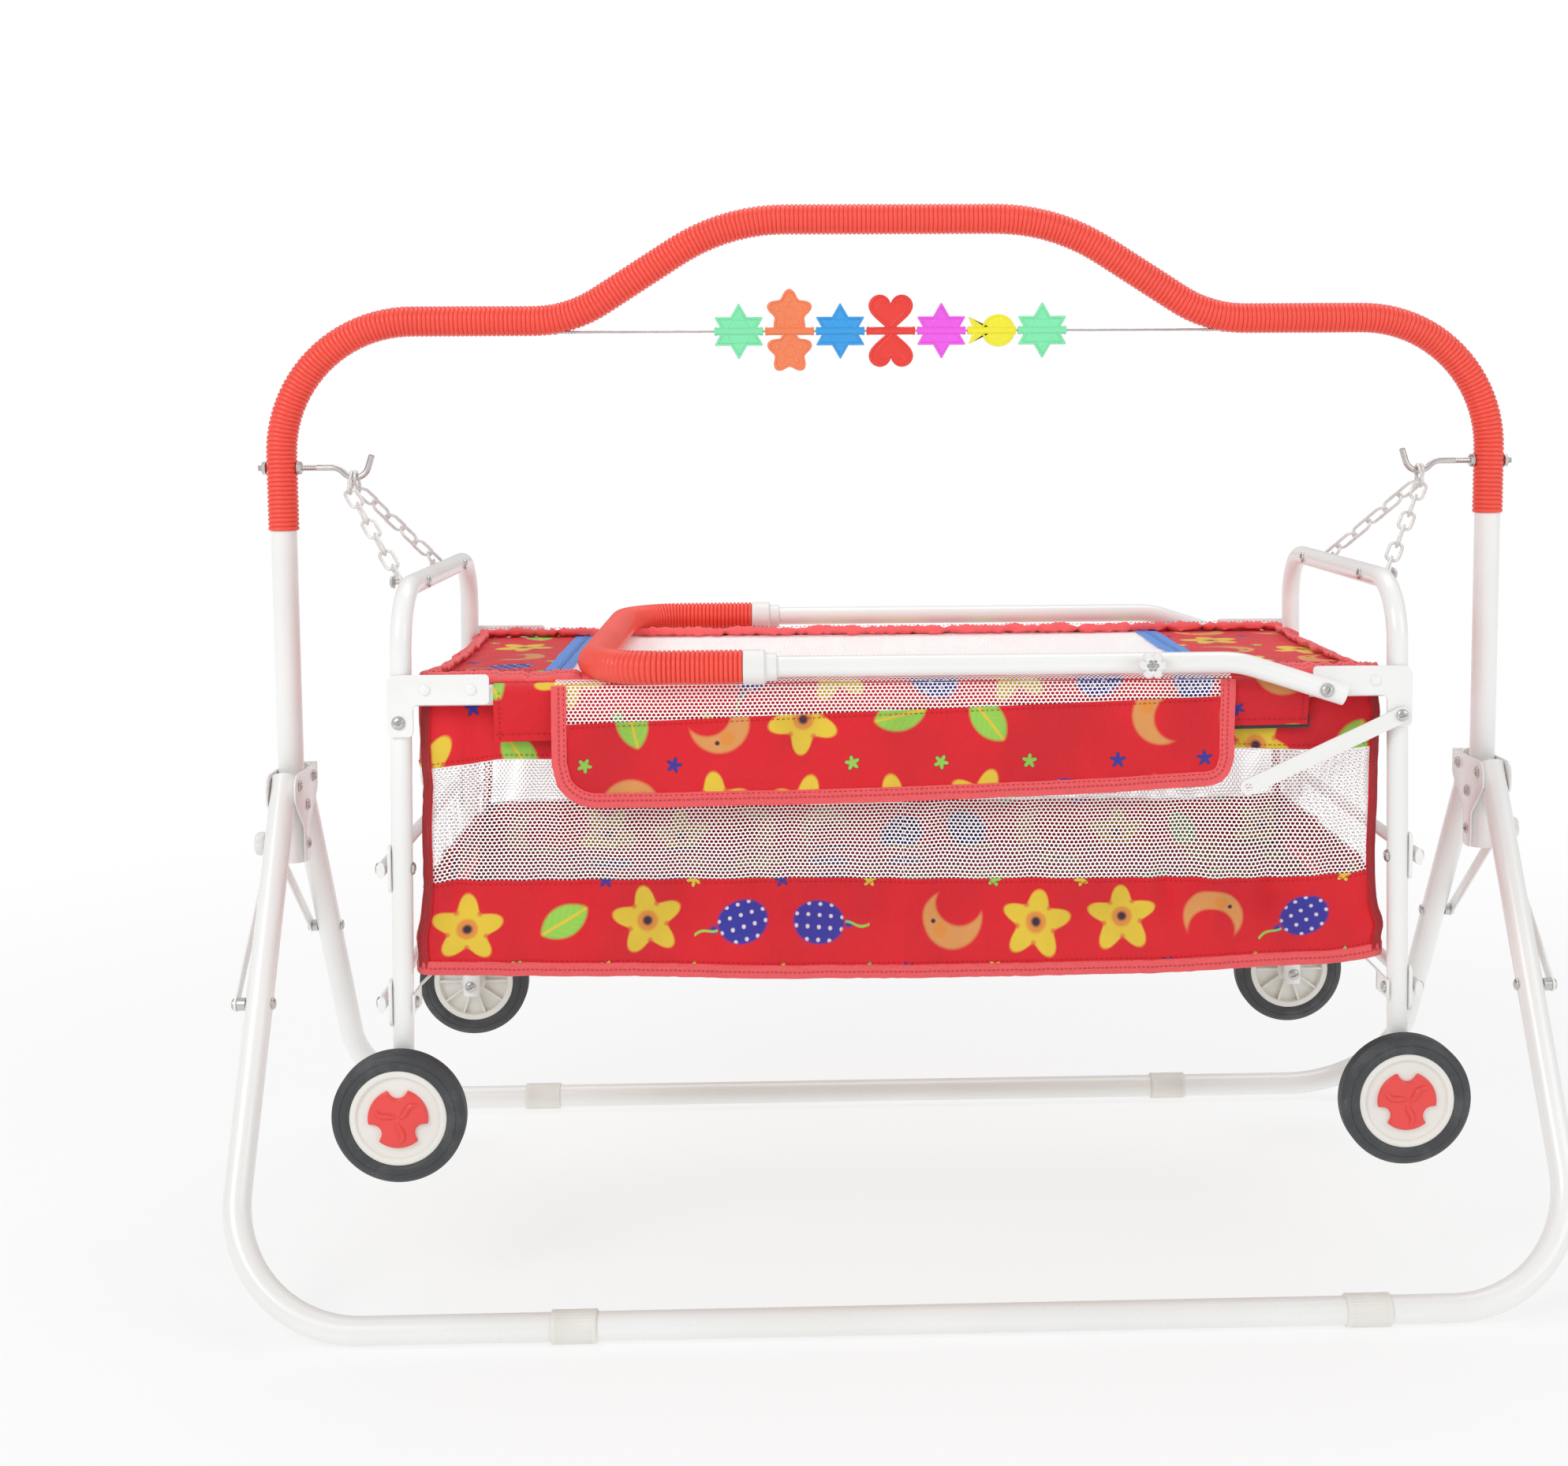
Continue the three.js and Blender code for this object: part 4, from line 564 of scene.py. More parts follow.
def frames(path):
    # The way on, the normal and the side at each point, without a twist
    tangents = [heading(path, i) for i in range(len(path))]
    start = at(0, 1, 0)
    if abs(tangents[0].dot(start)) > 0.95:
        start = at(1, 0, 0)
    normal = (start - tangents[0] * start.dot(tangents[0])).normalized()
    result = []
    for tangent in tangents:
        normal = (normal - tangent * normal.dot(tangent)).normalized()
        result.append((tangent, normal, tangent.cross(normal)))
    return result


def ringAround(centre, u, v, radius, ring):
    # The points of a circle in the u, v plane
    turns = [2 * math.pi * k / ring for k in range(ring)]
    return [centre + u * (radius * math.cos(turn)) + v * (radius * math.sin(turn)) for turn in turns]


def bandFaces(rows, ring, closed=False, base=0):
    # Faces between rows of ring points; closed joins the last row to the first
    faces = []
    for i in range(rows if closed else rows - 1):
        low, high = base + i * ring, base + (i + 1) % rows * ring
        for k in range(ring):
            n = (k + 1) % ring
            faces.append((low + k, low + n, high + n, high + k))
    return faces


def cappedFaces(rows, ring, base=0):
    # The same with both ends filled in
    last = base + (rows - 1) * ring
    return [*bandFaces(rows, ring, False, base), tuple(reversed(range(base, base + ring))),
            tuple(range(last, last + ring))]


def tubeShell(path, radii, finishName, ring=24, bore=None, boreDepth=18.0):
    # radii is one radius or one for each point; a bore is sunk into both ends
    radii = list(radii) if isinstance(radii, (list, tuple)) else [radii] * len(path)
    spots, axes = list(path), frames(path)
    if bore:
        spots = [path[0] + axes[0][0] * boreDepth, path[0], *spots, path[-1],
                 path[-1] - axes[-1][0] * boreDepth]
        radii = [bore, bore, *radii, bore, bore]
        axes = [axes[0], axes[0], *axes, axes[-1], axes[-1]]
    points = []
    for spot, radius, (_, normal, side) in zip(spots, radii, axes):
        points += ringAround(spot, normal, side, radius, ring)
    return points, cappedFaces(len(spots), ring), finishName, None


def sideAxes(axis):
    # The axis at unit length and two directions square to it
    axis = Vector(axis).normalized()
    guide = at(0, 0, 1) if abs(axis.z) < 0.9 else at(1, 0, 0)
    u = (guide - axis * guide.dot(axis)).normalized()
    return axis, u, axis.cross(u)


def turnedFaces(rows, ring):
    # Faces between rows of a turned shape; a row of one point is a tip
    faces = []
    for low, high in zip(rows, rows[1:]):
        for k in range(ring):
            n = (k + 1) % ring
            if len(low) > 1 and len(high) > 1:
                faces.append((low[k], low[n], high[n], high[k]))
            elif len(high) > 1:
                faces.append((low[0], high[n], high[k]))
            elif len(low) > 1:
                faces.append((low[k], low[n], high[0]))
    if len(rows[0]) > 1:
        faces.append(tuple(reversed(rows[0])))
    if len(rows[-1]) > 1:
        faces.append(tuple(rows[-1]))
    return faces


def turnedShell(profile, origin, axis, finishName, ring=32, wave=None):
    # profile is (radius, height) from foot to top; radius 0 closes it, and a
    # wave changes the radius with the angle
    axis, u, v = sideAxes(axis)
    points, rows = [], []
    for radius, height in profile:
        centre = Vector(origin) + axis * height
        start = len(points)
        for k in range(ring if radius > 1e-6 else 1):
            angle = 2 * math.pi * k / ring
            reach = wave(radius, height, angle) if wave else radius
            points.append(centre + u * (reach * math.cos(angle)) + v * (reach * math.sin(angle)))
        rows.append(list(range(start, len(points))))
    return points, turnedFaces(rows, ring), finishName, None


def bmShell(bm, finishName):
    bm.normal_update()
    bm.verts.index_update()
    points = [v.co.copy() for v in bm.verts]
    faces = [[v.index for v in f.verts] for f in bm.faces]
    bm.free()
    return points, faces, finishName, None


def plateShell(outline, u, v, depth, origin, finishName, bevel=0.5, segments=2, holes=()):
    # An outline in the u, v plane, thickened along u x v; holes are round
    u, v, origin = Vector(u), Vector(v), Vector(origin)
    w = u.cross(v)
    bm = bmesh.new()
    loops = [outline]
    for x, y, radius in holes:
        loops.append([(x + radius * math.cos(a), y - radius * math.sin(a))
                      for a in (2 * math.pi * k / 20 for k in range(20))])
    edges = []
    for loop in loops:
        verts = [bm.verts.new(origin + u * x + v * y) for x, y in loop]
        edges.extend(bm.edges.new((a, b)) for a, b in zip(verts, verts[1:] + verts[:1]))
    if holes:
        made = bmesh.ops.triangle_fill(bm, edges=edges, use_beauty=True, use_dissolve=False)
        base = [f for f in made["geom"] if isinstance(f, bmesh.types.BMFace)]
    else:
        base = [bm.faces.new(list(bm.verts))]
    bmesh.ops.recalc_face_normals(bm, faces=base)
    if base[0].normal.dot(w) > 0:
        bmesh.ops.reverse_faces(bm, faces=base)
    made = bmesh.ops.extrude_face_region(bm, geom=base, use_keep_orig=True)
    moved = [e for e in made["geom"] if isinstance(e, bmesh.types.BMVert)]
    bmesh.ops.translate(bm, verts=moved, vec=w * depth)
    bmesh.ops.recalc_face_normals(bm, faces=list(bm.faces))
    if bevel > 0:
        rims = [e for e in bm.edges if len(e.link_faces) == 2 and
                e.link_faces[0].normal.angle(e.link_faces[1].normal, 0.0) > 1.2 and
                abs((e.verts[0].co - e.verts[1].co).normalized().dot(w)) < 0.5]
        bmesh.ops.bevel(bm, geom=rims, offset=bevel, segments=segments, affect="EDGES", profile=0.5)
    return bmShell(bm, finishName)


def boxShell(low, high, finishName, bevel=0.6):
    low, high = Vector(low), Vector(high)
    bm = bmesh.new()
    made = bmesh.ops.create_cube(bm, size=1.0)
    for vert in made["verts"]:
        vert.co = Vector([(low[i] + high[i]) / 2 + vert.co[i] * (high[i] - low[i]) for i in range(3)])
    bmesh.ops.bevel(bm, geom=list(bm.edges), offset=bevel, segments=2, affect="EDGES", profile=0.5)
    return bmShell(bm, finishName)


def roundedOutline(points, radii, step=12.0):
    # A closed outline with each corner rounded
    result = []
    count = len(points)
    for i, (corner, radius) in enumerate(zip(points, radii)):
        a, c, b = (Vector((*points[i - 1], 0)), Vector((*corner, 0)), Vector((*points[(i + 1) % count], 0)))
        if radius <= 0:
            result.append((c.x, c.y))
            continue
        arc = bentPath([a, c, b], [radius], step)[1:-1]
        result.extend((p.x, p.y) for p in arc)
    return result


# Fasteners. The head is domed with a driver's slot; its shape is in shares of
# its diameter and height.
headShape = {"rows": 9, "ring": 36, "skirt": 0.25, "slotHalf": 0.085, "slotReach": 0.93, "slotFloor": 0.45}


def slottedHead(origin, axis, diameter, height, finishName="zinc", slotTurn=0.4):
    shape = headShape
    axis, u, v = sideAxes(axis)
    slotU = u * math.cos(slotTurn) + v * math.sin(slotTurn)
    radius, ring = diameter / 2, shape["ring"]
    rows, points = [], []
    for i in range(shape["rows"] + 1):
        quarter = i / shape["rows"] * math.pi / 2
        reach = radius * math.cos(quarter)
        rise = height * (shape["skirt"] + (1 - shape["skirt"]) * math.sin(quarter))
        start = len(points)
        for spot in ringAround(at(0, 0, 0), u, v, reach, ring if reach > 0.01 else 1):
            # The slot stops short of the rim
            inner = reach < radius * shape["slotReach"]
            inSlot = inner and abs(spot.dot(slotU)) < diameter * shape["slotHalf"]
            sunk = min(rise, height * shape["slotFloor"]) if inSlot else rise
            points.append(Vector(origin) + spot + axis * sunk)
        rows.append(list(range(start, len(points))))
    foot = list(range(len(points), len(points) + ring))
    points += ringAround(Vector(origin), u, v, radius, ring)
    return points, turnedFaces([foot, *rows], ring), finishName, None


def domeShell(origin, axis, diameter, height, finishName):
    steps = 7
    profile = [(diameter / 2, 0.0), (diameter / 2, height * 0.2)]
    for i in range(1, steps + 1):
        angle = i / steps * math.pi / 2
        profile.append((diameter / 2 * math.cos(angle), height * (0.2 + 0.8 * math.sin(angle))))
    return turnedShell(profile, origin, axis, finishName, ring=28)


def hexNut(origin, axis, across, thickness, finishName="zinc"):
    radius = across / 2 / math.cos(math.pi / 6)
    edge = 0.12 * across

    def flats(reach, height, angle):
        return reach * math.cos(math.pi / 6) / math.cos((angle % (math.pi / 3)) - math.pi / 6)

    profile = [(radius - edge, 0.0), (radius, edge * 0.5), (radius, thickness - edge * 0.5),
               (radius - edge, thickness)]
    return turnedShell(profile, origin, axis, finishName, ring=36, wave=flats)


def threadShell(start, end, diameter, pitch, finishName="zinc"):
    start, end = Vector(start), Vector(end)
    turns = max(2, round((end - start).length / pitch))
    path, radii = [], []
    for i in range(turns * 2 + 1):
        path.append(start.lerp(end, i / (turns * 2)))
        radii.append(diameter / 2 - (0.0 if i % 2 else pitch * 0.32))
    return tubeShell(path, radii, finishName, ring=16)


def washerShell(origin, axis, diameter, thickness, finishName="zinc"):
    edge = min(0.3, thickness / 3)
    profile = [(diameter / 2 - edge, 0.0), (diameter / 2, edge), (diameter / 2, thickness - edge),
               (diameter / 2 - edge, thickness)]
    return turnedShell(profile, origin, axis, finishName, ring=32)


# Stand
standSizes = {
    "tube": 25.0, "wall": 1.2, "uprightX": 600.0, "foot": 364.0,
    "shoulderX": 316.0, "shoulderZ": 899.0, "crownX": 162.0, "crownZ": 997.0,
    "bends": [130.0, 124.0, 200.0, 200.0, 124.0, 130.0],
    "sleeveLeft": 695.0, "sleeveRight": 704.0, "ridge": 29.6, "valley": 26.6, "ribPitch": 4.4,
}
uprightX = standSizes["uprightX"]
standRadius = standSizes["tube"] / 2
standBore = standRadius - standSizes["wall"]
play = 0.3


def archPath(leftFoot, rightFoot):
    s = standSizes
    shoulder, crown = (s["shoulderX"], s["shoulderZ"]), (s["crownX"], s["crownZ"])
    half = [(uprightX, s["shoulderZ"]), shoulder, crown]
    corners = [(-uprightX, leftFoot), *((-x, z) for x, z in half), *reversed(half), (uprightX, rightFoot)]
    return bentPath([at(x, 0, z) for x, z in corners], s["bends"], 4.0)


def sleeveShell():
    # Rounded ribs along a bent hose: five rings to a rib
    s = standSizes
    path = archPath(s["sleeveLeft"], s["sleeveRight"])
    ridge, valley = s["ridge"], s["valley"]
    spots = along(path, count=round(pathLength(path) / s["ribPitch"]) * 5)
    slope = (ridge * 0.86 + valley * 0.14) / 2
    shape = [valley / 2, slope, ridge / 2, ridge / 2, slope]
    radii = [shape[i % 5] + 0.10 * noise.noise(spot * 0.02) for i, spot in enumerate(spots)]
    radii[0] = radii[-1] = valley / 2
    return tubeShell(spots, radii, "coral", 28, (s["tube"] + 0.6) / 2, 4.0)


archShell = tubeShell(archPath(standSizes["foot"], standSizes["foot"]), standRadius, "enamel", 32, standBore)
makePiece("archTube", [archShell], "root", ["arch_tube"])
makePiece("archSleeve", [sleeveShell()], "root", ["arch_sleeve"], sharp=70.0)
print("arch made")

# Hooks through the uprights, threaded at their outer ends
hookSizes = {"rod": 6.0, "height": 756.5, "outer": 623.0, "dip": 545.0, "valley": (523.0, 734.0),
             "tip": (512.0, 769.0), "bend": 14.0, "nut": 11.0, "nutThickness": 4.6, "threadEnd": 566.0,
             "threadPitch": 1.5}


def hookPath(side, outer):
    h = hookSizes
    return bentPath([
        at(side * outer, 0, h["height"]), at(side * h["dip"], 0, h["height"]),
        at(side * h["valley"][0], 0, h["valley"][1]), at(side * h["tip"][0], 0, h["tip"][1]),
    ], [h["bend"]], 9.0)


def makeHook(name, side):
    h = hookSizes
    path = hookPath(side, h["threadEnd"])
    face = uprightX - standSizes["ridge"] / 2
    back = uprightX + standSizes["ridge"] / 2
    axis = at(side, 0, 0)
    # The tip is rounded off
    path[-1:] = [path[-1] - (path[-1] - path[-2]).normalized() * 1.2, path[-1]]
    radii = [h["rod"] / 2] * (len(path) - 1) + [h["rod"] / 2 - 1.0]

    def level(x):
        # A place on the hook's straight run
        return at(side * x, 0, h["height"])

    shells = [
        tubeShell(path, radii, "zinc", 18),
        threadShell(level(h["outer"]), level(h["threadEnd"] - 1), h["rod"], h["threadPitch"]),
        hexNut(level(back + 0.2), axis, h["nut"], h["nutThickness"]),
        hexNut(level(face - 0.2 - h["nutThickness"]), axis, h["nut"], h["nutThickness"]),
        washerShell(level(face - 0.9), axis, 13.0, 0.8),
    ]
    makePiece(f"{name}Hook", shells, "root", [f"{name}_hook"])


for endName, side in ends.items():
    makeHook(endName, side)

# Folded sheet brackets that the legs turn on
bracketSizes = {"sheet": 2.0, "top": 457.0, "half": 46.0, "shoulder": 431.0, "neck": 400.0, "strip": 11.0,
                "foot": 364.0, "webFoot": 441.0, "pivotY": 30.0, "pivotZ": 445.0, "middle": 421.0,
                "lower": 382.0, "head": 10.6, "headHeight": 3.0}


def makeBracket(name, side):
    b = bracketSizes
    inner = standRadius + play
    outer = inner + b["sheet"]
    outline = roundedOutline(
        [(-b["half"], b["top"]), (b["half"] + b["sheet"], b["top"]), (b["half"] + b["sheet"], b["shoulder"]),
         (b["strip"], b["neck"]), (b["strip"], b["foot"]), (-b["strip"], b["foot"]), (-b["strip"], b["neck"]),
         (-b["half"], b["shoulder"])],
        [14.0, 2.0, 12.0, 10.0, 6.0, 6.0, 10.0, 12.0], 10.0)
    centre = side * uprightX
    shells = [plateShell(outline, (0, 1, 0), (0, 0, 1), b["sheet"], (x, 0, 0), "enamel", 0.5)
              for x in (centre - outer, centre + inner)]
    shells.append(boxShell(at(centre - outer + 0.5, b["half"], b["webFoot"]),
                           at(centre + outer - 0.5, b["half"] + b["sheet"], b["top"] - 0.4), "enamel", 0.5))
    bolts = [(-b["pivotY"], b["pivotZ"]), (b["pivotY"], b["pivotZ"]), (0.0, b["middle"])]
    for index, (y, z) in enumerate(bolts):
        shells.append(washerShell(at(centre - side * outer, y, z), (-side, 0, 0), 12.0, 0.7))
        shells.append(slottedHead(at(centre - side * (outer + 0.7), y, z), (-side, 0, 0), b["head"], 2.4,
                                  slotTurn=index * 0.8))
        shells.append(slottedHead(at(centre + side * outer, y, z), (side, 0, 0), b["head"], b["headHeight"],
                                  slotTurn=1.3 - index * 0.5))
    shells.append(slottedHead(at(centre - side * outer, 0, b["lower"]), (-side, 0, 0), b["head"],
                              b["headHeight"], slotTurn=0.9))
    shells.append(washerShell(at(centre + side * outer, 0, b["lower"]), (side, 0, 0), 11.0, 3.0))
    makePiece(f"{name}LegBracket", shells, "root", [f"{name}_leg_bracket"])


for endName, side in ends.items():
    makeBracket(endName, side)

# Legs fold about the brackets; each pair is joined by a base tube
legSizes = {"baseY": 303.0, "baseZ": 14.7, "over": 9.0, "bend": 120.0, "gap": 2.0, "coupler": 29.4,
            "frontCouplers": (-295.0, 403.0), "rearCouplers": (-394.0, 337.0), "couplerLength": 40.0,
            "braceZ": 261.0, "braceSheet": 2.0, "braceWidth": 14.0, "knob": (24.0, 14.0, 5)}
legReach = legSizes["baseY"] - bracketSizes["pivotY"]
legDrop = bracketSizes["pivotZ"] - legSizes["baseZ"]
legLength = math.hypot(legReach, legDrop)
foldAngle = math.atan2(legReach, legDrop)
braceAlong = (bracketSizes["pivotZ"] - legSizes["braceZ"]) / math.cos(foldAngle)
# The braces lie in two layers outside the bracket and its bolt's washer
rearLayer = standRadius + play + bracketSizes["sheet"] + bracketSizes["headHeight"] + play
frontLayer = rearLayer + legSizes["braceSheet"] + play
knobLayer = frontLayer + legSizes["braceSheet"] + play


def legSpace(face):
    # Leg lengths are measured along the leg from the bracket's pivot
    return Matrix.Translation((0, face * bracketSizes["pivotY"], bracketSizes["pivotZ"])) @ Matrix.Rotation(
        face * foldAngle, 4, "X")


def moved(shell, matrix):
    points, faces, finishName, flat = shell
    return [matrix @ Vector(p) for p in points], faces, finishName, flat


def couplerShell(middle):
    # A moulded socket with a collar at each end and grip ribs lengthwise
    half = legSizes["couplerLength"] / 2
    radius = legSizes["coupler"] / 2
    end = [(standRadius + play, half), (radius - 0.7, half), (radius, half - 0.7), (radius, half - 4.0),
           (radius - 0.1, half - 4.6)]
    profile = [*((r, -height) for r, height in end), *reversed(end)]

    def grip(reach, height, turn):
        if abs(height) < half - 4.2:
            return reach - 0.55 * (0.5 - 0.5 * math.cos(turn * 30))
        return reach

    shell = turnedShell(profile, (0, 0, 0), (1, 0, 0), "cream", ring=120, wave=grip)
    return moved(shell, Matrix.Translation((middle, 0, -legLength)))


def makeLegs(faceName, face):
    space = legSpace(face)
    body = f"{faceName}_leg_frame"
    layer = frontLayer if face < 0 else rearLayer
    couplers = legSizes[faceName + "Couplers"]
    outer = uprightX + standRadius
    past = uprightX + layer + legSizes["braceSheet"] + play
    for (endName, side), coupler in zip(ends.items(), couplers):
        corners = [at(side * uprightX, 0, legSizes["over"]), at(side * uprightX, 0, -legLength),
                   at(coupler + side * legSizes["gap"], 0, -legLength)]

        def bolted(x):
            # A place on the brace bolt's axis
            return at(side * x, 0, -braceAlong)

        # The leg, then the brace's bolt: its far head, spacer, shank and head
        axis = at(side, 0, 0)
        shells = [
            tubeShell(bentPath(corners, [legSizes["bend"]], 4.0), standRadius, "enamel", 32, standBore),
            domeShell(bolted(uprightX - standRadius), -axis, 11.0, 3.0, "zinc"),
            washerShell(bolted(outer - 0.4), axis, 12.0, uprightX + layer - play - outer + 0.4),
            turnedShell([(3.0, 0.0), (3.0, 6.0)], bolted(past - 3.5), axis, "zinc", 16),
            slottedHead(bolted(past), axis, 11.0, 3.0, slotTurn=0.7 * side),
        ]
        makePiece(f"{faceName}{endName.title()}LegTube", [moved(shell, space) for shell in shells], body,
                  [f"{faceName}_{endName}_leg_tube"])
        makePiece(f"{faceName}{endName.title()}Coupler", [moved(couplerShell(coupler), space)], body,
                  [f"{faceName}_{endName}_coupler"], sharp=50.0)
    run = [at(couplers[0] + legSizes["gap"], 0, -legLength), at(couplers[1] - legSizes["gap"], 0, -legLength)]
    tubing = tubeShell(along(run, count=12), standRadius, "enamel", 32)
    makePiece(f"{faceName}BaseTube", [moved(tubing, space)], body, [f"{faceName}_base_tube"])


def strap(start, end, width, holeRadius=3.3):
    # Outline of a flat bar with round ends, and its two holes
    start, end = Vector((*start, 0)), Vector((*end, 0))
    turn = math.atan2(end.y - start.y, end.x - start.x)
    outline = []
    for centre, first in ((end, turn - math.pi / 2), (start, turn + math.pi / 2)):
        for k in range(13):
            angle = first + math.pi * k / 12
            outline.append((centre.x + width / 2 * math.cos(angle), centre.y + width / 2 * math.sin(angle)))
    return outline, [(start.x, start.y, holeRadius), (end.x, end.y, holeRadius)]


def makeBrace(endName, side, faceName, face):
    layer = frontLayer if face < 0 else rearLayer
    reach = bracketSizes["pivotY"] + (bracketSizes["pivotZ"] - legSizes["braceZ"]) * math.tan(foldAngle)
    outline, holes = strap((face * reach, legSizes["braceZ"]), (0.0, bracketSizes["lower"]),
                           legSizes["braceWidth"])
    near = side * (uprightX + layer)
    x = near - legSizes["braceSheet"] if side < 0 else near
    sheet = legSizes["braceSheet"]
    shell = plateShell(outline, (0, 1, 0), (0, 0, 1), sheet, (x, 0, 0), "enamel", 0.45, 2, holes)
    makePiece(f"{faceName}{endName.title()}Brace", [shell], f"{faceName}_{endName}_brace",
              [f"{faceName}_{endName}_brace"])


def flowerKnob(origin, axis, diameter, thickness, lobesCount, bite=0.15, screwShare=0.66):
    # A hand knob with scalloped grip, dished face and a screw in its middle
    radius = diameter / 2

    def scallops(reach, height, turn):
        share = clamp(reach / radius)
        return reach - bite * radius * share * (1 - abs(math.sin(turn * lobesCount / 2))) ** 1.5

    # In shares of the radius and the thickness
    shape = [(0.5, 0.0), (0.55, 0.24), (0.9, 0.30), (1.0, 0.42), (1.0, 0.80), (0.94, 0.93), (0.82, 1.0),
             (0.45, 0.92), (0.40, 0.70), (0.0, 0.70)]
    profile = [(radius * out, thickness * up) for out, up in shape]
    top = Vector(origin) + Vector(axis) * thickness * shape[-1][1]
    return [turnedShell(profile, origin, axis, "white", ring=60, wave=scallops),
            slottedHead(top, axis, radius * screwShare, thickness * 0.16, slotTurn=0.5)]


for faceName, face in sides.items():
    makeLegs(faceName, face)
    for endName, side in ends.items():
        makeBrace(endName, side, faceName, face)
for endName, side in ends.items():
    place = at(side * (uprightX + knobLayer), 0, bracketSizes["lower"])
    knob = flowerKnob(place, (side, 0, 0), *legSizes["knob"])
    makePiece(f"{endName}BraceKnob", knob, "root", [f"{endName}_brace_knob"], sharp=45.0)
print("stand made")

# Toy wire and its eyes, then seven toys that turn on it
wireSizes = {"z": 888.0, "eyeX": 330.0, "wire": 2.4, "shank": 5.0, "rise": 8.0, "pitch": 50.0, "barrel": 8.4,
             "bore": 3.6, "length": 48.0, "thick": 5.0, "star": 56.0, "petal": 46.0, "heart": 44.0,
             "fish": (46.0, 32.0)}


def makeToyWire():
    w = wireSizes
    end = w["eyeX"] + w["shank"] / 4
    count = 120
    path = [at(-end + 2 * end * i / count, 0, w["z"] + 0.05 * math.sin(i * 0.9)) for i in range(count + 1)]
    radii = [w["wire"] / 2 - (0.12 if i % 2 else 0.0) for i in range(count + 1)]
    shells = [tubeShell(path, radii, "zinc", 10)]
    for side in ends.values():
        eye = at(side * w["eyeX"], 0, w["z"] - w["shank"] / 2)
        stem = [(0.0, 0.0), (1.9, 0.1), (2.5, 0.9), (2.5, w["shank"] / 2 + w["rise"])]
        shells.append(turnedShell(stem, eye, (0, 0, 1), "zinc", 20))
        turns = [at(side * (w["eyeX"] - 4.0 - k * 0.55), 1.45 * math.cos(k * 1.1),
                    w["z"] + 1.45 * math.sin(k * 1.1)) for k in range(30)]
        shells.append(tubeShell(turns, 0.5, "zinc", 8))
    makePiece("toyWire", shells, "root", ["toy_wire"], sharp=60.0)


def rimmedPlate(outline, centreX, finishName, shrink=0.84):
    # A flat toy shape with a raised rim, a sunk face and rounded edges, on both faces
    w = wireSizes
    thick = w["thick"]
    count = len(outline)
    centre = Vector((sum(p[0] for p in outline) / count, sum(p[1] for p in outline) / count))
    half = thick / 2
    sunk = half - 0.8
    levels = [(1.0, half - 1.0), (0.975, half - 0.3), (0.94, half), (shrink + 0.02, half), (shrink, sunk)]
    points, faces = [], []

    def ring(scale, y):
        start = len(points)
        for px, pz in outline:
            spot = centre + (Vector((px, pz)) - centre) * scale
            points.append(at(centreX + spot.x, y, w["z"] + spot.y))
        return start

    rows = [ring(scale, -depth) for scale, depth in reversed(levels)]
    rows += [ring(scale, depth) for scale, depth in levels]
    for a, b in zip(rows, rows[1:]):
        for k in range(count):
            n = (k + 1) % count
            faces.append((a + k, b + k, b + n, a + n))
    for row, sign in ((rows[0], -1), (rows[-1], 1)):
        middle = len(points)
        points.append(at(centreX + centre.x, sign * sunk, w["z"] + centre.y))
        for k in range(count):
            n = (k + 1) % count
            faces.append((row + k, row + n, middle) if sign < 0 else (row + n, row + k, middle))
    return points, faces, finishName, None


def starOutline(span):
    points = []
    for i in range(12):
        angle = i / 12 * 2 * math.pi
        reach = span / 2 * (1 if i % 2 == 0 else 1 / math.sqrt(3))
        points.append((reach * math.sin(angle), reach * math.cos(angle)))
    return roundedOutline(points, [0.9 if i % 2 == 0 else 0.0 for i in range(12)], 30.0)


def blossomOutline(middle, span):
    points = []
    for i in range(60):
        angle = i / 60 * 2 * math.pi
        reach = span / 2 * (0.84 + 0.16 * math.cos(angle * 5))
        points.append((reach * math.sin(angle), middle + reach * math.cos(angle)))
    return points


def heartOutline(upward, span):
    points = []
    scale = span / 32
    for i in range(48):
        angle = i / 48 * 2 * math.pi
        rise = 13 * math.cos(angle) - 5 * math.cos(2 * angle) - 2 * math.cos(3 * angle) - math.cos(4 * angle)
        x = 16 * math.sin(angle) ** 3 * scale * upward
        points.append((x, (rise + 17) * scale * upward - wireSizes["barrel"] / 2 * upward))
    return points


def fishOutline(length, depth):
    body = length * 0.72
    middle = (length - body) / 2
    points = []
    for i in range(1, 24):
        angle = i / 24 * 2 * math.pi + math.pi
        points.append((middle + body / 2 * math.cos(angle), depth / 2 * math.sin(angle)))
    points.append((-length / 2, depth * 0.42))
    points.append((-length * 0.385, 0.0))
    points.append((-length / 2, -depth * 0.42))
    return points


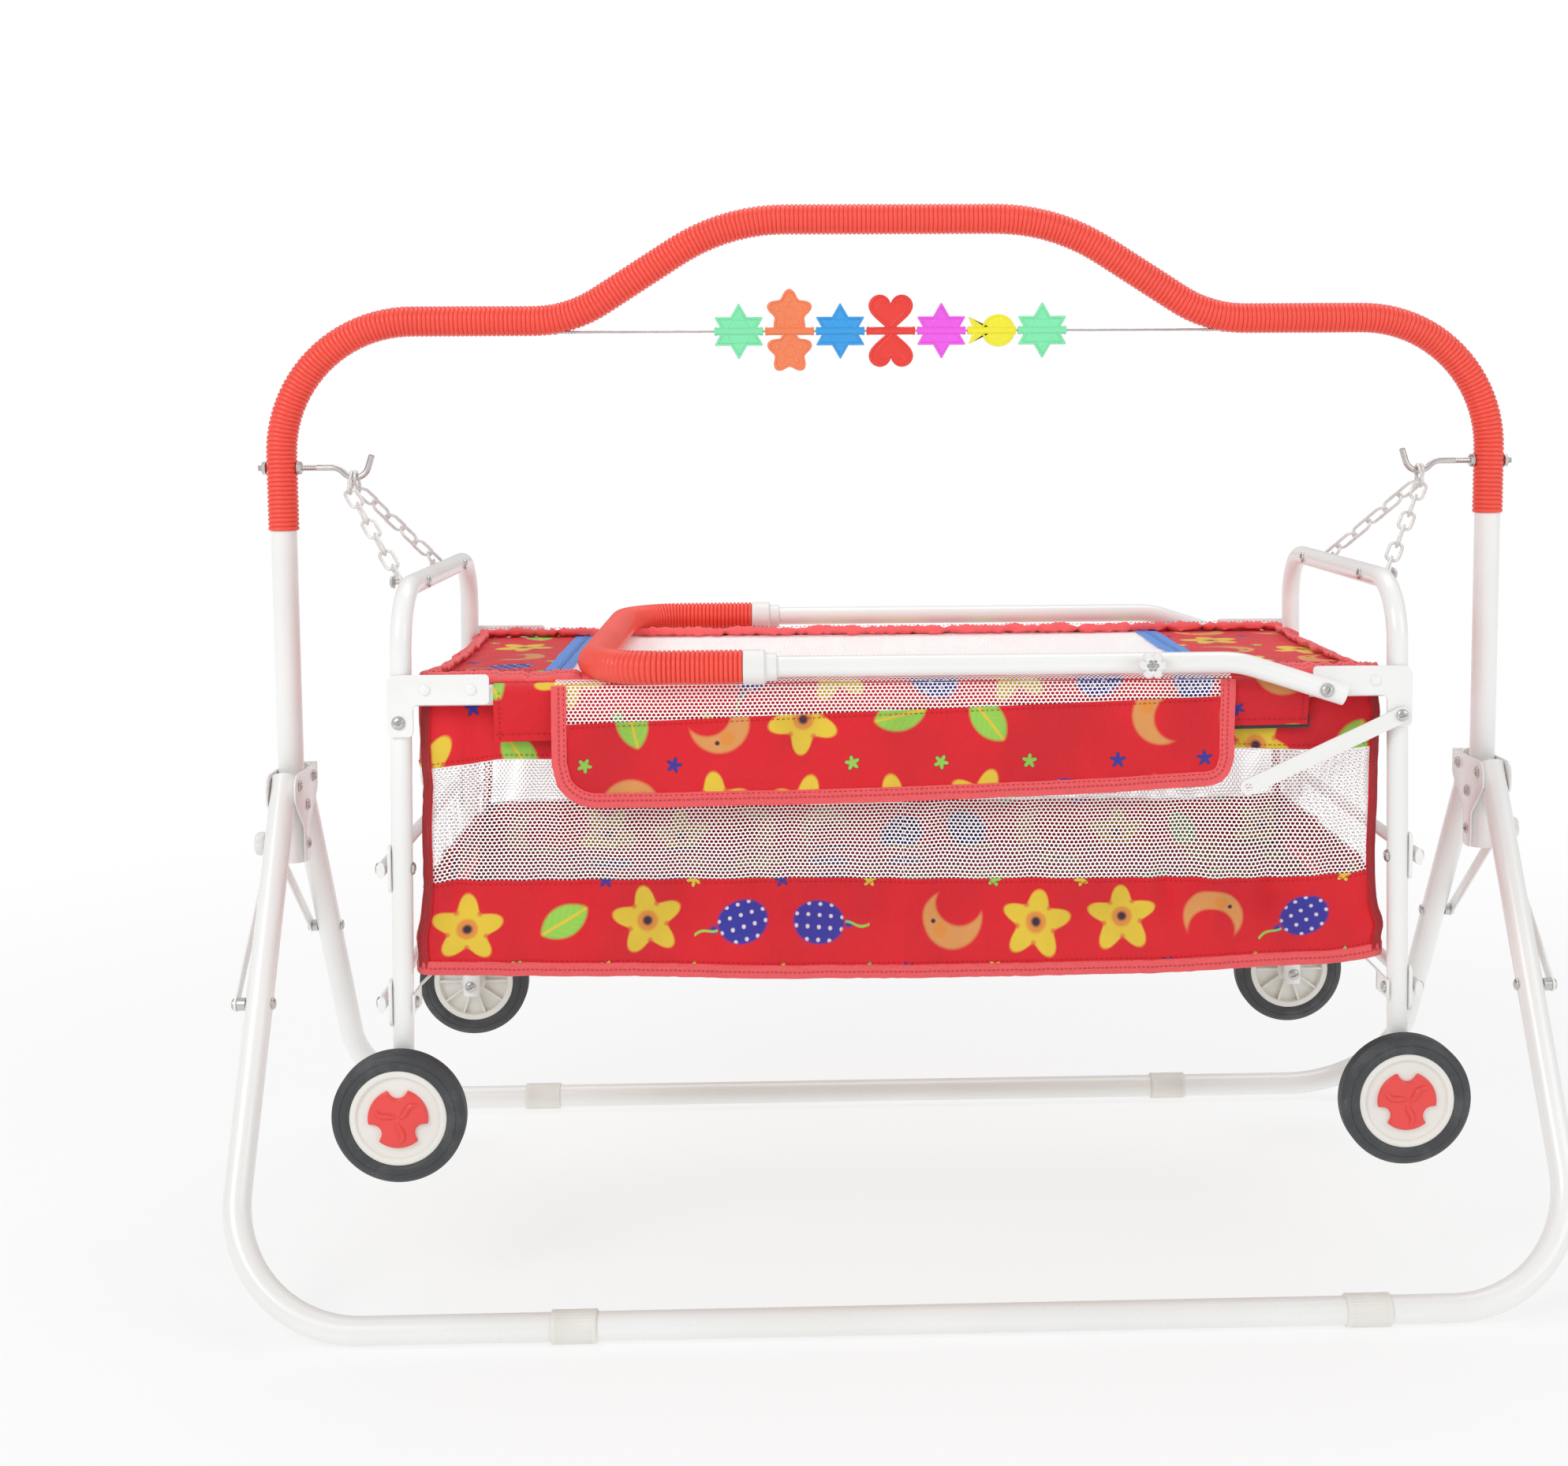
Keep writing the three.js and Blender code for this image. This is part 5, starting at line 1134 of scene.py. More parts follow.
def toyDetails(kind, x, finishName):
    # Raised lines and dots moulded on both faces
    w = wireSizes
    shells = []
    for face in (-1, 1):
        y = face * (w["thick"] / 2 - 0.9)

        def bead(px, pz, radius, height=0.9):
            shells.append(domeShell(at(x + px, y, w["z"] + pz), (0, face, 0), radius * 2, height, finishName))

        def line(path, radius=0.55):
            spots = [at(x + px, y + face * 0.1, w["z"] + pz) for px, pz in path]
            shells.append(tubeShell(spots, radius, finishName, 8))

        if kind == "star":
            for turn in range(6):
                a = turn * math.pi / 3
                b = a + 2 * math.pi / 3
                reach = w["star"] / 2 * 0.80
                line([(reach * math.sin(a), reach * math.cos(a)), (reach * math.sin(b), reach * math.cos(b))])
        elif kind == "blossom":
            for middle in (w["petal"] * 0.4, -w["petal"] * 0.42):
                line([(6.0 * math.cos(k * 0.35), middle + 6.0 * math.sin(k * 0.35)) for k in range(19)])
                for turn in range(5):
                    a = turn * 2 * math.pi / 5
                    bead(12.0 * math.sin(a), middle + 12.0 * math.cos(a), 2.6)
        elif kind == "heart":
            for upward in (1, -1):
                small = [(px * 0.62, (pz - upward * 16.0) * 0.62 + upward * 16.0)
                         for px, pz in heartOutline(upward, w["heart"])]
                line(small + small[:1])
        else:
            bead(13.0, 4.0, 2.2, 1.1)
            for row in range(3):
                cx = 5.0 - row * 6.0
                line([(cx + 4.0 * math.cos(k * 0.3 - 1.2), 9.0 * math.sin(k * 0.3 - 1.2)) for k in range(9)])
            line([(-15.0, 6.5), (-19.5, 9.5)])
            line([(-15.0, -6.5), (-19.5, -9.5)])
    return shells


# From the left: node, finish and shape
toyKinds = [
    ("toy_star_green_left", "green", "star"), ("toy_flower_orange", "orange", "blossom"),
    ("toy_star_blue", "blue", "star"), ("toy_heart_red", "red", "heart"),
    ("toy_star_magenta", "magenta", "star"), ("toy_fish_yellow", "yellow", "fish"),
    ("toy_star_green_right", "green", "star"),
]


def makeToy(index, node, finishName, kind):
    w = wireSizes
    x = w["pitch"] * (index - 3)
    outlines = {
        "star": lambda: [starOutline(w["star"])],
        "blossom": lambda: [blossomOutline(w["petal"] * share, w["petal"]) for share in (0.4, -0.42)],
        "heart": lambda: [heartOutline(1, w["heart"]), heartOutline(-1, w["heart"])],
        "fish": lambda: [fishOutline(*w["fish"])],
    }[kind]()
    half, outer, bore = w["length"] / 2, w["barrel"] / 2, w["bore"] / 2
    end = [(bore, half - 6), (bore, half), (outer - 0.6, half), (outer, half - 0.6), (outer, half - 2.2),
           (outer - 0.35, half - 2.6)]
    profile = [*((radius, -height) for radius, height in end), *reversed(end)]
    shells = [turnedShell(profile, at(x, 0, w["z"]), (1, 0, 0), finishName, 28)]
    shells += [rimmedPlate(outline, x, finishName) for outline in outlines]
    shells += toyDetails(kind, x, finishName)
    pieceName = node.replace("_", " ").title().replace(" ", "")
    makePiece(pieceName, shells, node, [node], sharp=35.0)


makeToyWire()
for index, (node, finishName, kind) in enumerate(toyKinds):
    makeToy(index, node, finishName, kind)
print("toys made")


# Cradle: end frames, rails, corner plates and chains
cradleSizes = {
    "tube": 19.0, "wall": 1.2, "topX": 450.0, "footX": 458.0, "legY": 199.0, "topZ": 652.0, "bend": 55.0,
    "axleZ": 178.0, "footZ": 167.0, "crossTube": 12.0, "crossHeights": (399.5, 276.0),
    "saddle": (18.0, 43.0, 3.0), "railZ": 557.0, "chainY": 108.0, "chainSeat": 6.5,
}
frameRadius = cradleSizes["tube"] / 2


def frameX(height):
    c = cradleSizes
    share = (c["topZ"] - height) / (c["topZ"] - c["axleZ"])
    return c["topX"] + (c["footX"] - c["topX"]) * share


def crossBarShells(side, height, spacer):
    c = cradleSizes
    leg = frameX(height)
    wide, tall, sheet = c["saddle"]
    axis = leg + frameRadius + sheet + c["crossTube"] / 2 - 0.6
    end = c["legY"] + wide / 2
    # The bar's ends are pressed flat where the bolts hold them
    pressed, ring = 0.62, 24
    stations = (-end, -end + 4, -end + 16, -end + 26, end - 26, end - 16, end - 4, end)
    line = [at(side * axis, y, height) for y in stations]
    bar, faces, _, _ = tubeShell(line, c["crossTube"] / 2, "enamel", ring)
    points = []
    for index, point in enumerate(bar):
        share = pressed if abs(stations[index // ring]) > end - 17 else 1.0
        points.append(at(side * axis + (point.x - side * axis) * share, point.y,
                         height + (point.z - height) / share ** 0.5))
    shells = [(points, faces, "enamel", None)]
    for face in sides.values():
        y = face * c["legY"]
        outline = roundedOutline([(-wide / 2, -tall / 2), (wide / 2, -tall / 2), (wide / 2, tall / 2),
                                  (-wide / 2, tall / 2)], [7.0] * 4, 15.0)
        near = side * (leg + frameRadius - 0.6)
        x = near if side > 0 else near - sheet
        shells.append(plateShell(outline, (0, 1, 0), (0, 0, 1), sheet, (x, y, height), "enamel", 0.9, 3))
        shells.append(slottedHead(at(side * (axis + c["crossTube"] / 2 * pressed - 0.2), y, height),
                                  (side, 0, 0), 10.6, 3.0, slotTurn=y * 0.01))
        inner = leg - frameRadius - spacer
        shells.append(washerShell(at(side * (inner + 0.3), y, height), (-side, 0, 0), 12.0, 0.8))
        shells.append(slottedHead(at(side * (inner - 0.2), y, height), (-side, 0, 0), 10.6, 2.8, slotTurn=1.0))
    return shells


def makeEndFrame(name, side):
    c = cradleSizes
    top = side * c["topX"]
    foot = side * frameX(c["footZ"])
    y, z = c["legY"], c["topZ"]
    corners = [at(foot, -y, c["footZ"]), at(top, -y, z), at(top, y, z), at(foot, y, c["footZ"])]
    shells = [tubeShell(bentPath(corners, [c["bend"]], 4.0), frameRadius, "enamel", 30,
                        frameRadius - c["wall"])]
    shells += crossBarShells(side, c["crossHeights"][0], 0.0)
    shells += crossBarShells(side, c["crossHeights"][1], 2.6)
    place = c["topX"] + frameRadius + c["chainSeat"]
    for face in sides.values():
        y = face * c["chainY"]
        shells.append(slottedHead(at(side * (c["topX"] - frameRadius + 0.3), y, c["topZ"]), (-side, 0, 0),
                                  11.0, 3.0))
        shells.append(turnedShell([(2.5, 0.0), (2.5, place + 6.5 - c["topX"] + 2.0)],
                                  at(top, y, c["topZ"]), (side, 0, 0), "zinc", 18))
        outer = side * (place + c["chainSeat"])
        shells.append(washerShell(at(outer - side * 0.3, y, c["topZ"]), (side, 0, 0), 12.5, 0.8))
        shells.append(hexNut(at(outer + side * 0.5, y, c["topZ"]), (side, 0, 0), 9.4, 3.0))
        axle = at(side * c["footX"], face * (c["legY"] - frameRadius + 0.2), c["axleZ"])
        shells.append(slottedHead(axle, (0, -face, 0), 12.0, 3.2))
        shells.append(turnedShell([(4.0, 0.0), (4.0, 20.4)],
                                  at(side * c["footX"], face * (c["legY"] + frameRadius - 1.0), c["axleZ"]),
                                  (0, face, 0), "zinc", 24))
    makePiece(f"{name}EndFrame", shells, "cradle", [f"{name}_end_frame"])


def makeRail(name, face):
    c = cradleSizes
    end = frameX(c["railZ"]) - frameRadius - 0.3
    path = along([at(-end, face * c["legY"], c["railZ"]), at(end, face * c["legY"], c["railZ"])], count=16)
    makePiece(f"{name}Rail", [tubeShell(path, frameRadius, "enamel", 30)], "cradle",
              [f"{name}_rail"])


# L-shaped plates rivet the rails to the end frames
plateSizes = {"sheet": 2.5, "armEnd": 371.0, "armTop": 577.0, "armFoot": 550.0, "legInner": 439.0,
              "legOuter": 462.0, "legFoot": 521.0, "outerRivet": 428.0, "innerRivet": 387.0, "boltZ": 534.0,
              "handleX": 378.0, "handleZ": 558.0, "stayZ": 532.0, "handleY": 223.5}


def makeCornerPlate(endName, side, faceName, face):
    p = plateSizes
    outline = [(p["armEnd"], p["armTop"]), (p["armEnd"], p["armFoot"]), (p["legInner"], p["armFoot"]),
               (p["legInner"], p["legFoot"]), (p["legOuter"], p["legFoot"]), (p["legOuter"], p["armTop"])]
    outline = roundedOutline([(side * x, z) for x, z in outline], [4.0, 4.0, 5.0, 5.0, 5.0, 9.0], 15.0)
    near = face * (cradleSizes["legY"] + frameRadius + 0.3)
    y = near if face > 0 else near - p["sheet"]
    # u x v is -Y here, so the plate grows from its far face
    shells = [plateShell(outline, (1, 0, 0), (0, 0, 1), p["sheet"], (0, y + p["sheet"], 0), "enamel", 0.7, 3)]
    outer = abs(near) + p["sheet"]
    middle = (p["armTop"] + p["armFoot"]) / 2
    rivets = [p["outerRivet"], p["innerRivet"]] if side < 0 else [p["outerRivet"]]
    shells += [domeShell(at(side * x, face * outer, middle), (0, face, 0), 10.0, 2.2, "enamel") for x in rivets]
    if side < 0:
        bolt = at(side * frameX(p["boltZ"]), face * outer, p["boltZ"])
        shells.append(washerShell(bolt, (0, face, 0), 12.6, 0.8))
        shells.append(slottedHead(bolt + at(0, face * 0.8, 0), (0, face, 0), 10.4, 2.6, slotTurn=0.3))
    else:
        reach = p["handleY"] + frameRadius + 0.3
        pivot = at(side * p["handleX"], face * outer, p["handleZ"])
        shells.append(washerShell(pivot, (0, face, 0), 11.0, p["handleY"] - frameRadius - outer - 0.3))
        shells.append(washerShell(at(pivot.x, face * (reach - 0.2), pivot.z), (0, face, 0), 13.0, 0.8))
        shells.append(slottedHead(at(pivot.x, face * (reach + 0.6), pivot.z), (0, face, 0), 11.0, 3.0,
                                  slotTurn=1.1))
        stay = at(side * frameX(p["stayZ"]), face * outer, p["stayZ"])
        shells.append(washerShell(stay, (0, face, 0), 12.0, 1.0))
        shells.append(turnedShell([(3.0, 0.0), (3.0, 4.2)], stay, (0, face, 0), "zinc", 18))
        shells.append(slottedHead(stay + at(0, face * 3.7, 0), (0, face, 0), 11.0, 3.0, slotTurn=0.2))
    makePiece(f"{faceName}{endName.title()}CornerPlate", shells, "cradle",
              [f"{faceName}_{endName}_corner_plate"])


# Chains: welded oval links from the hook's lowest point to the frame's bolt
chainSizes = {"wire": 3.2, "cadWire": 3.0, "inner": 9.0, "links": 7, "weld": 0.8, "gap": 1.9, "bolt": 5.0}


def linkShell(top, run, across, length):
    half = (chainSizes["inner"] + chainSizes["cadWire"]) / 2
    wire = chainSizes["wire"] / 2
    path = []
    steps = 10
    for arc, depth in enumerate((half, length - half)):
        for step in range(steps + 1):
            angle = (arc + step / steps) * math.pi
            path.append(top + run * (depth - half * math.sin(angle)) + across * (half * math.cos(angle)))
    # The weld's small swelling in the middle of one side
    radii = [wire] * len(path) + [wire, wire + 0.25, wire]
    path += [path[-1].lerp(path[0], share) for share in (0.35, 0.5, 0.65)]
    return closedTube(path, radii, run.cross(across), "chain", 12)


def closedTube(path, radii, normal, finishName, ring):
    points = []
    count = len(path)
    for i in range(count):
        tangent = (path[(i + 1) % count] - path[i - 1]).normalized()
        points += ringAround(path[i], normal, tangent.cross(normal).normalized(), radii[i], ring)
    return points, bandFaces(count, ring, True), finishName, None


def hookSeat(side):
    return min(hookPath(side, hookSizes["outer"]), key=lambda point: point.z)


def makeChain(endName, side, faceName, face):
    c = cradleSizes
    n = chainSizes
    seat = hookSeat(side) + at(face * n["gap"], 0, 0)
    bolt = at(side * (c["topX"] + frameRadius + c["chainSeat"]), face * c["chainY"], c["topZ"])
    half = (n["inner"] + n["cadWire"]) / 2
    drop = at(0, bolt.y - seat.y, bolt.z - seat.z).normalized()
    across = at(1, 0, 0).cross(drop)
    top = seat - drop * half
    past = n["bolt"] / 2 + 0.3 + n["cadWire"] / 2
    # The links' length that fills the way from hook to bolt is closed in on
    clear = (bolt - seat).length / n["links"]
    for _ in range(30):
        second = top + drop * (clear + n["weld"])
        span = (bolt - second).length + past - n["cadWire"]
        clear = (span - n["weld"] * (n["links"] - 2)) / (n["links"] - 1)
    length = clear + n["cadWire"]
    shells = [linkShell(top, drop, across, length)]
    run = (bolt - second).normalized()
    flat = run.cross(across)
    for link in range(1, n["links"]):
        start = second + run * ((clear + n["weld"]) * (link - 1))
        shells.append(linkShell(start, run, flat if link % 2 else across, length))
    makePiece(f"{faceName}{endName.title()}Chain", shells, "cradle", [f"{faceName}_{endName}_chain"])


for endName, side in ends.items():
    makeEndFrame(endName, side)
    for faceName, face in sides.items():
        makeCornerPlate(endName, side, faceName, face)
        makeChain(endName, side, faceName, face)
for faceName, face in sides.items():
    makeRail(faceName, face)
print("frames, plates and chains made")

# Wheels: ribbed inner face, smooth outer face with a three-lobed cap, grooved tyre
wheelSizes = {"x": 458.0, "y": 220.7, "z": 178.0, "tyre": 60.0, "seat": 43.8, "half": 11.0, "rim": 43.5,
              "lip": 37.5, "rimHalf": 9.0, "hub": 13.0, "cap": 27.0, "capHeight": 4.0, "capMiddle": 10.0,
              "bite": 8.6, "ribs": 10}


def makeWheel(endName, side, faceName, face):
    w = wheelSizes
    body = f"{faceName}_{endName}_wheel_set"
    centre = at(side * w["x"], face * w["y"], w["z"])
    axis = at(0, face, 0)
    h, t = w["half"], w["tyre"]
    tyre = [(w["seat"], -h + 1.6), (w["seat"] + 2.6, -h + 0.6), (w["seat"] + 3.4, -h), (t - 8.6, -h),
            (t - 8.0, -h + 0.5), (t - 7.4, -h), (t - 4.2, -h + 0.8), (t - 1.6, -h + 2.6), (t - 0.4, -h + 5.0)]
    groove = []
    for k in range(3):
        y = -4.4 + 4.4 * k
        groove += [(t, y - 1.5), (t, y - 0.6), (t - 1.1, y - 0.35), (t - 1.1, y + 0.35), (t, y + 0.6),
                   (t, y + 1.5)]
    profile = tyre + groove + [(r, -y) for r, y in reversed(tyre)]
    shell = turnedShell(profile + [profile[0]], centre, axis, "rubber", 96)
    makePiece(f"{faceName}{endName.title()}Tyre", [openEnds(shell)], body,
              [f"{faceName}_{endName}_tyre"], sharp=50.0)

    # From the hub's inner face over the rim to the seat of the cap
    rim, lip, hub, edge, r = w["rim"], w["lip"], w["hub"], w["cap"], w["rimHalf"]
    web = [(5.4, -h + 0.6), (hub - 1.0, -h + 0.6), (hub, -h + 1.4), (hub + 0.6, -2.0), (lip - 1.4, -2.0),
           (lip - 0.4, -3.0), (lip, -r + 0.8), (lip + 0.8, -r), (rim, -r), (rim, r), (rim - 1.0, r + 0.7),
           (lip + 1.4, r + 0.9), (lip + 0.2, r + 0.2), (lip - 0.6, r - 1.8), (edge + 4.0, r - 2.2),
           (edge + 1.0, r - 1.6), (0.0, r - 1.6)]
    shells = [turnedShell(web, centre, axis, "cream", 80)]
    for k in range(w["ribs"]):
        angle = 2 * math.pi * k / w["ribs"]
        spoke = boxShell(at(hub - 0.5, -h + 3.4, -1.1), at(lip + 0.2, -1.0, 1.1), "cream", 0.4)
        turn = Matrix.Translation(centre) @ Matrix.Rotation(angle, 4, "Y") @ Matrix.Scale(face, 4, (0, 1, 0))
        shells.append(flipped(moved(spoke, turn)) if face < 0 else moved(spoke, turn))
    shells.append(washerShell(centre - axis * (h - 0.2), -axis, 17.0, 1.0))

    def bites(reach, height, turn):
        # Three round bites out of the cap's edge, down to its round middle
        middle = w["capMiddle"]
        nearest = (turn + math.pi / 3) % (2 * math.pi / 3) - math.pi / 3
        room = w["bite"] ** 2 - (edge * math.sin(nearest)) ** 2
        bitten = edge * math.cos(nearest) - math.sqrt(room) if room > 0 else edge
        return reach if reach < middle else middle + (reach - middle) * (bitten - middle) / (edge - middle)

    top = w["capHeight"]
    cap = [(edge - 0.6, 0.0), (edge, 0.6), (edge, top - 1.4), (edge - 0.5, top - 0.6),
           (edge - 1.6, top - 0.1), (edge - 4.0, top + 0.25), (18.0, top + 0.5), (10.0, top + 0.6),
           (4.0, top + 0.65), (0.0, top + 0.65)]
    shells.append(turnedShell(cap, centre + axis * (r - 1.9), axis, "capRed", 144, wave=bites))
    # A curved ridge swirls out over each of the cap's three lobes
    guide = at(0, 0, 1)
    beside = axis.cross(guide)
    for lobe in range(3):
        ridge = []
        for n in range(15):
            share = n / 14
            angle = math.pi / 3 + 2 * math.pi * lobe / 3 + 0.55 * math.sin(2.6 * share) - 0.25
            reach = 1.0 + 22.0 * share
            spot = centre + axis * (r - 1.9 + top + 0.2 - 1.4 * (2 * share - 1) ** 4)
            ridge.append(spot + guide * (reach * math.cos(angle)) + beside * (reach * math.sin(angle)))
        swell = [1.6 + 1.3 * math.sin(math.pi * n / 14) for n in range(15)]
        shells.append(tubeShell(ridge, swell, "capRed", 12))
    makePiece(f"{faceName}{endName.title()}Wheel", shells, body,
              [f"{faceName}_{endName}_wheel"], sharp=40.0)


def openEnds(shell):
    # Drops the two end caps of a turned loop whose last ring meets its first
    points, faces, finishName, flat = shell
    return points, faces[:-2], finishName, flat


def flipped(shell):
    points, faces, finishName, flat = shell
    return points, [tuple(reversed(face)) for face in faces], finishName, flat


for endName, side in ends.items():
    for faceName, face in sides.items():
        makeWheel(endName, side, faceName, face)
print("wheels made")

# Push handle, its grip and its stays
handleSizes = {"y": 223.5, "z": 583.2, "pivot": (378.0, 558.0), "bendX": 300.0, "bend": 100.0, "tail": 19.0,
               "collarOuter": -144.0, "collarInner": -124.5, "collarStep": -114.0, "collar": 31.0,
               "step": 25.0, "ridge": 31.0, "valley": 26.8, "left": -297.0, "gripBend": 62.0, "ribPitch": 4.2,
               "knobX": 219.0, "knob": (25.0, 12.0, 6, 0.34, 0.74)}


def handleRun():
    h = handleSizes
    left = h["left"] + h["ridge"] / 2
    pivot = at(h["pivot"][0], 0, h["pivot"][1])
    tail = pivot + (pivot - at(h["bendX"], 0, h["z"])).normalized() * h["tail"]
    corners = [at(tail.x, -h["y"], tail.z), at(h["bendX"], -h["y"], h["z"]), at(left, -h["y"], h["z"]),
               at(left, h["y"], h["z"]), at(h["bendX"], h["y"], h["z"]), at(tail.x, h["y"], tail.z)]
    return bentPath(corners, [h["bend"], h["gripBend"], h["gripBend"], h["bend"]], 4.0)


def gripShell():
    h = handleSizes
    left = h["left"] + h["ridge"] / 2
    corners = [at(h["collarOuter"] - 0.3, -h["y"], h["z"]), at(left, -h["y"], h["z"]),
               at(left, h["y"], h["z"]), at(h["collarOuter"] - 0.3, h["y"], h["z"])]
    path = bentPath(corners, [h["gripBend"]], 4.0)
    count = round(pathLength(path) / h["ribPitch"])
    spots = along(path, count=count * 5)
    radii = []
    for i, spot in enumerate(spots):
        share = [0.0, 0.82, 1.0, 1.0, 0.82][i % 5]
        # The hose is stretched nearly smooth around the two bends and the cross run
        calm = clamp((spot.x - h["left"] - 30.0) / 45.0)
        depth = (h["ridge"] - h["valley"]) / 2 * (0.30 + 0.70 * calm)
        radii.append(h["ridge"] / 2 - depth * (1.0 - share) - 0.5 * (1.0 - calm))
    return tubeShell(spots, radii, "coral", 28, bore=(cradleSizes["tube"] + 0.6) / 2, boreDepth=4.0)


def makeHandle():
    h = handleSizes
    shells = [tubeShell(handleRun(), frameRadius, "enamel", 30, frameRadius - cradleSizes["wall"])]
    wide, narrow, bore = h["collar"] / 2, h["step"] / 2, frameRadius + 0.1
    length, end = h["collarInner"] - h["collarOuter"], h["collarStep"] - h["collarOuter"]
    collar = [(bore, 0.0), (wide - 0.8, 0.0), (wide, 0.8), (wide, length - 1.0), (wide - 1.0, length),
              (narrow + 0.3, length + 0.2), (narrow, length + 1.0), (narrow - 0.2, end - 0.8),
              (narrow - 1.0, end), (bore, end)]
    for face in sides.values():
        y = face * h["y"]
        shells.append(turnedShell(collar, at(h["collarOuter"], y, h["z"]), (1, 0, 0), "white", 48))
        screw = at(h["collarOuter"] + 12.0, y, h["z"] - wide + 0.3)
        shells.append(domeShell(screw, (0, 0, -1), 5.0, 1.6, "zinc"))
    front = -h["y"] - frameRadius
    shells.append(washerShell(at(h["knobX"], front + 0.4, h["z"]), (0, -1, 0), 11.0, 3.0, "white"))
    shells += flowerKnob(at(h["knobX"], front - 2.6, h["z"]), (0, -1, 0), *h["knob"])
    shells.append(washerShell(at(h["knobX"], h["y"] + frameRadius - 0.4, h["z"]), (0, 1, 0), 12.6, 0.8))
    shells.append(slottedHead(at(h["knobX"], h["y"] + frameRadius + 0.3, h["z"]), (0, 1, 0), 11.0, 2.8))
    makePiece("handleTube", shells, "handle", ["handle_tube"], sharp=42.0)
    makePiece("handleGrip", [gripShell()], "handle", ["handle_grip"], sharp=70.0)


staySizes = {"sheet": 2.0, "width": 15.0, "end": (312.4, 467.6)}


def makeStay(faceName, face):
    outer = cradleSizes["legY"] + frameRadius + 0.3 + plateSizes["sheet"] + 1.3
    outline, holes = strap((frameX(plateSizes["stayZ"]), plateSizes["stayZ"]), staySizes["end"],
                           staySizes["width"], 3.4)
    y = outer if face > 0 else -outer - staySizes["sheet"]
    shell = plateShell(outline, (1, 0, 0), (0, 0, 1), staySizes["sheet"], (0, y + staySizes["sheet"], 0),
                       "enamel", 0.45, 2, holes)
    makePiece(f"{faceName}Stay", [shell], f"{faceName}_stay", [f"{faceName}_stay"])


makeHandle()
for faceName, face in sides.items():
    makeStay(faceName, face)
print("handle made")

# Base board on two long and two cross bars, with bent struts to the end frames
baseSizes = {"board": 6.0, "deck": 331.0, "x": 436.7, "y": 194.7, "barX": 407.0, "barY": 178.0,
             "bar": (20.0, 3.0), "strut": (12.0, 2.0)}


def stripAlong(path, width, thickness, finishName):
    # A flat strip bent in the XZ plane
    section = [(-0.5, -0.35), (-0.46, -0.5), (0.46, -0.5), (0.5, -0.35), (0.5, 0.35), (0.46, 0.5),
               (-0.46, 0.5), (-0.5, 0.35)]
    points = []
    for i, spot in enumerate(path):
        normal = heading(path, i).cross(at(0, 1, 0)).normalized()
        points += [spot + at(0, width * across, 0) + normal * (thickness * up) for across, up in section]
    return points, cappedFaces(len(path), len(section)), finishName, None


def makeBase():
    b = baseSizes
    top = b["deck"] - 0.3
    shells = [boxShell(at(-b["x"], -b["y"], top - b["board"]), at(b["x"], b["y"], top), "board", 1.6)]
    barTop = top - b["board"] + 0.3
    barFoot = barTop - b["bar"][1]
    half = b["bar"][0] / 2
    for face in sides.values():
        y = face * b["barY"]
        shells.append(boxShell(at(-b["barX"] - half, y - half, barFoot),
                               at(b["barX"] + half, y + half, barTop), "enamel", 0.7))
        for k in range(5):
            x = -360.0 + 180.0 * k
            shells.append(domeShell(at(x, y, barFoot + 0.1), (0, 0, -1), 7.0, 1.6, "zinc"))
    lower = cradleSizes["crossHeights"][1]
    tab = frameX(lower) - frameRadius - 0.3 - b["strut"][1]
    for side in ends.values():
        x = side * b["barX"]
        shells.append(boxShell(at(x - half, -b["barY"], barFoot - 0.2), at(x + half, b["barY"], barTop - 0.6),
                               "enamel", 0.7))
        for face in sides.values():
            y = face * b["barY"]
            # The strut lies just inside its tab, so their faces never share a plane
            middle = side * (tab + b["strut"][1] / 2 - 0.3)
            path = bentPath([at(middle, y, lower - 9.0), at(middle, y, lower + 9.0), at(x, y, barFoot + 0.6)],
                            [6.0], 8.0)
            shells.append(stripAlong(path, b["strut"][0], b["strut"][1], "enamel"))
            low = at(side * tab, y - face * 6.0, lower - 9.0)
            high = at(side * (tab + b["strut"][1]), face * (cradleSizes["legY"] + 9.0), lower + 9.0)
            shells.append(boxShell([min(pair) for pair in zip(low, high)],
                                   [max(pair) for pair in zip(low, high)], "enamel", 0.7))
    makePiece("baseFrame", shells, "cradle", ["base_frame"])


makeBase()
print("base made")


# Cloth. Sheets are grids with their flat place kept in the "cut" layer. The
# wall is pulled in at the corners, leans in at its top and is gathered and
# creased. A printed band stands in front of the net by band, and the net runs
# under it by overNet.
clothSizes = {
    "halfX": 438.2, "halfY": 196.2, "corner": 13.0, "hem": 297.0, "lowerTop": 386.0, "upperFoot": 503.0,
    "top": 565.5, "leanFrom": 528.0, "leanLong": 8.6, "leanEnd": 1.6, "bow": 4.0, "cornerPull": 7.0,
    "cornerReach": 85.0, "fold": 2.6, "gather": 3.4, "gatherFrom": 190.0, "gatherPitch": 31.0,
    "gatherZ": 372.0, "band": 0.9, "bowFrom": 308.0, "overNet": 2.0,
}
# How far each seam strays from level along the front, as (x, rise)
seamLines = {
    "hem": [(-438, 3.5), (-276, 0), (-95, -5), (32, -6), (210, -5), (384, 1), (438, 8)],
    "lowerTop": [(-438, -4), (-400, 0), (-100, -1), (32, -4), (210, -5), (330, -7), (400, -4), (438, 0)],
    "upperFoot": [(-438, -15), (-395, -10), (-360, -5), (-308, -6), (0, -4), (310, -3), (380, -5), (438, -2)],
}

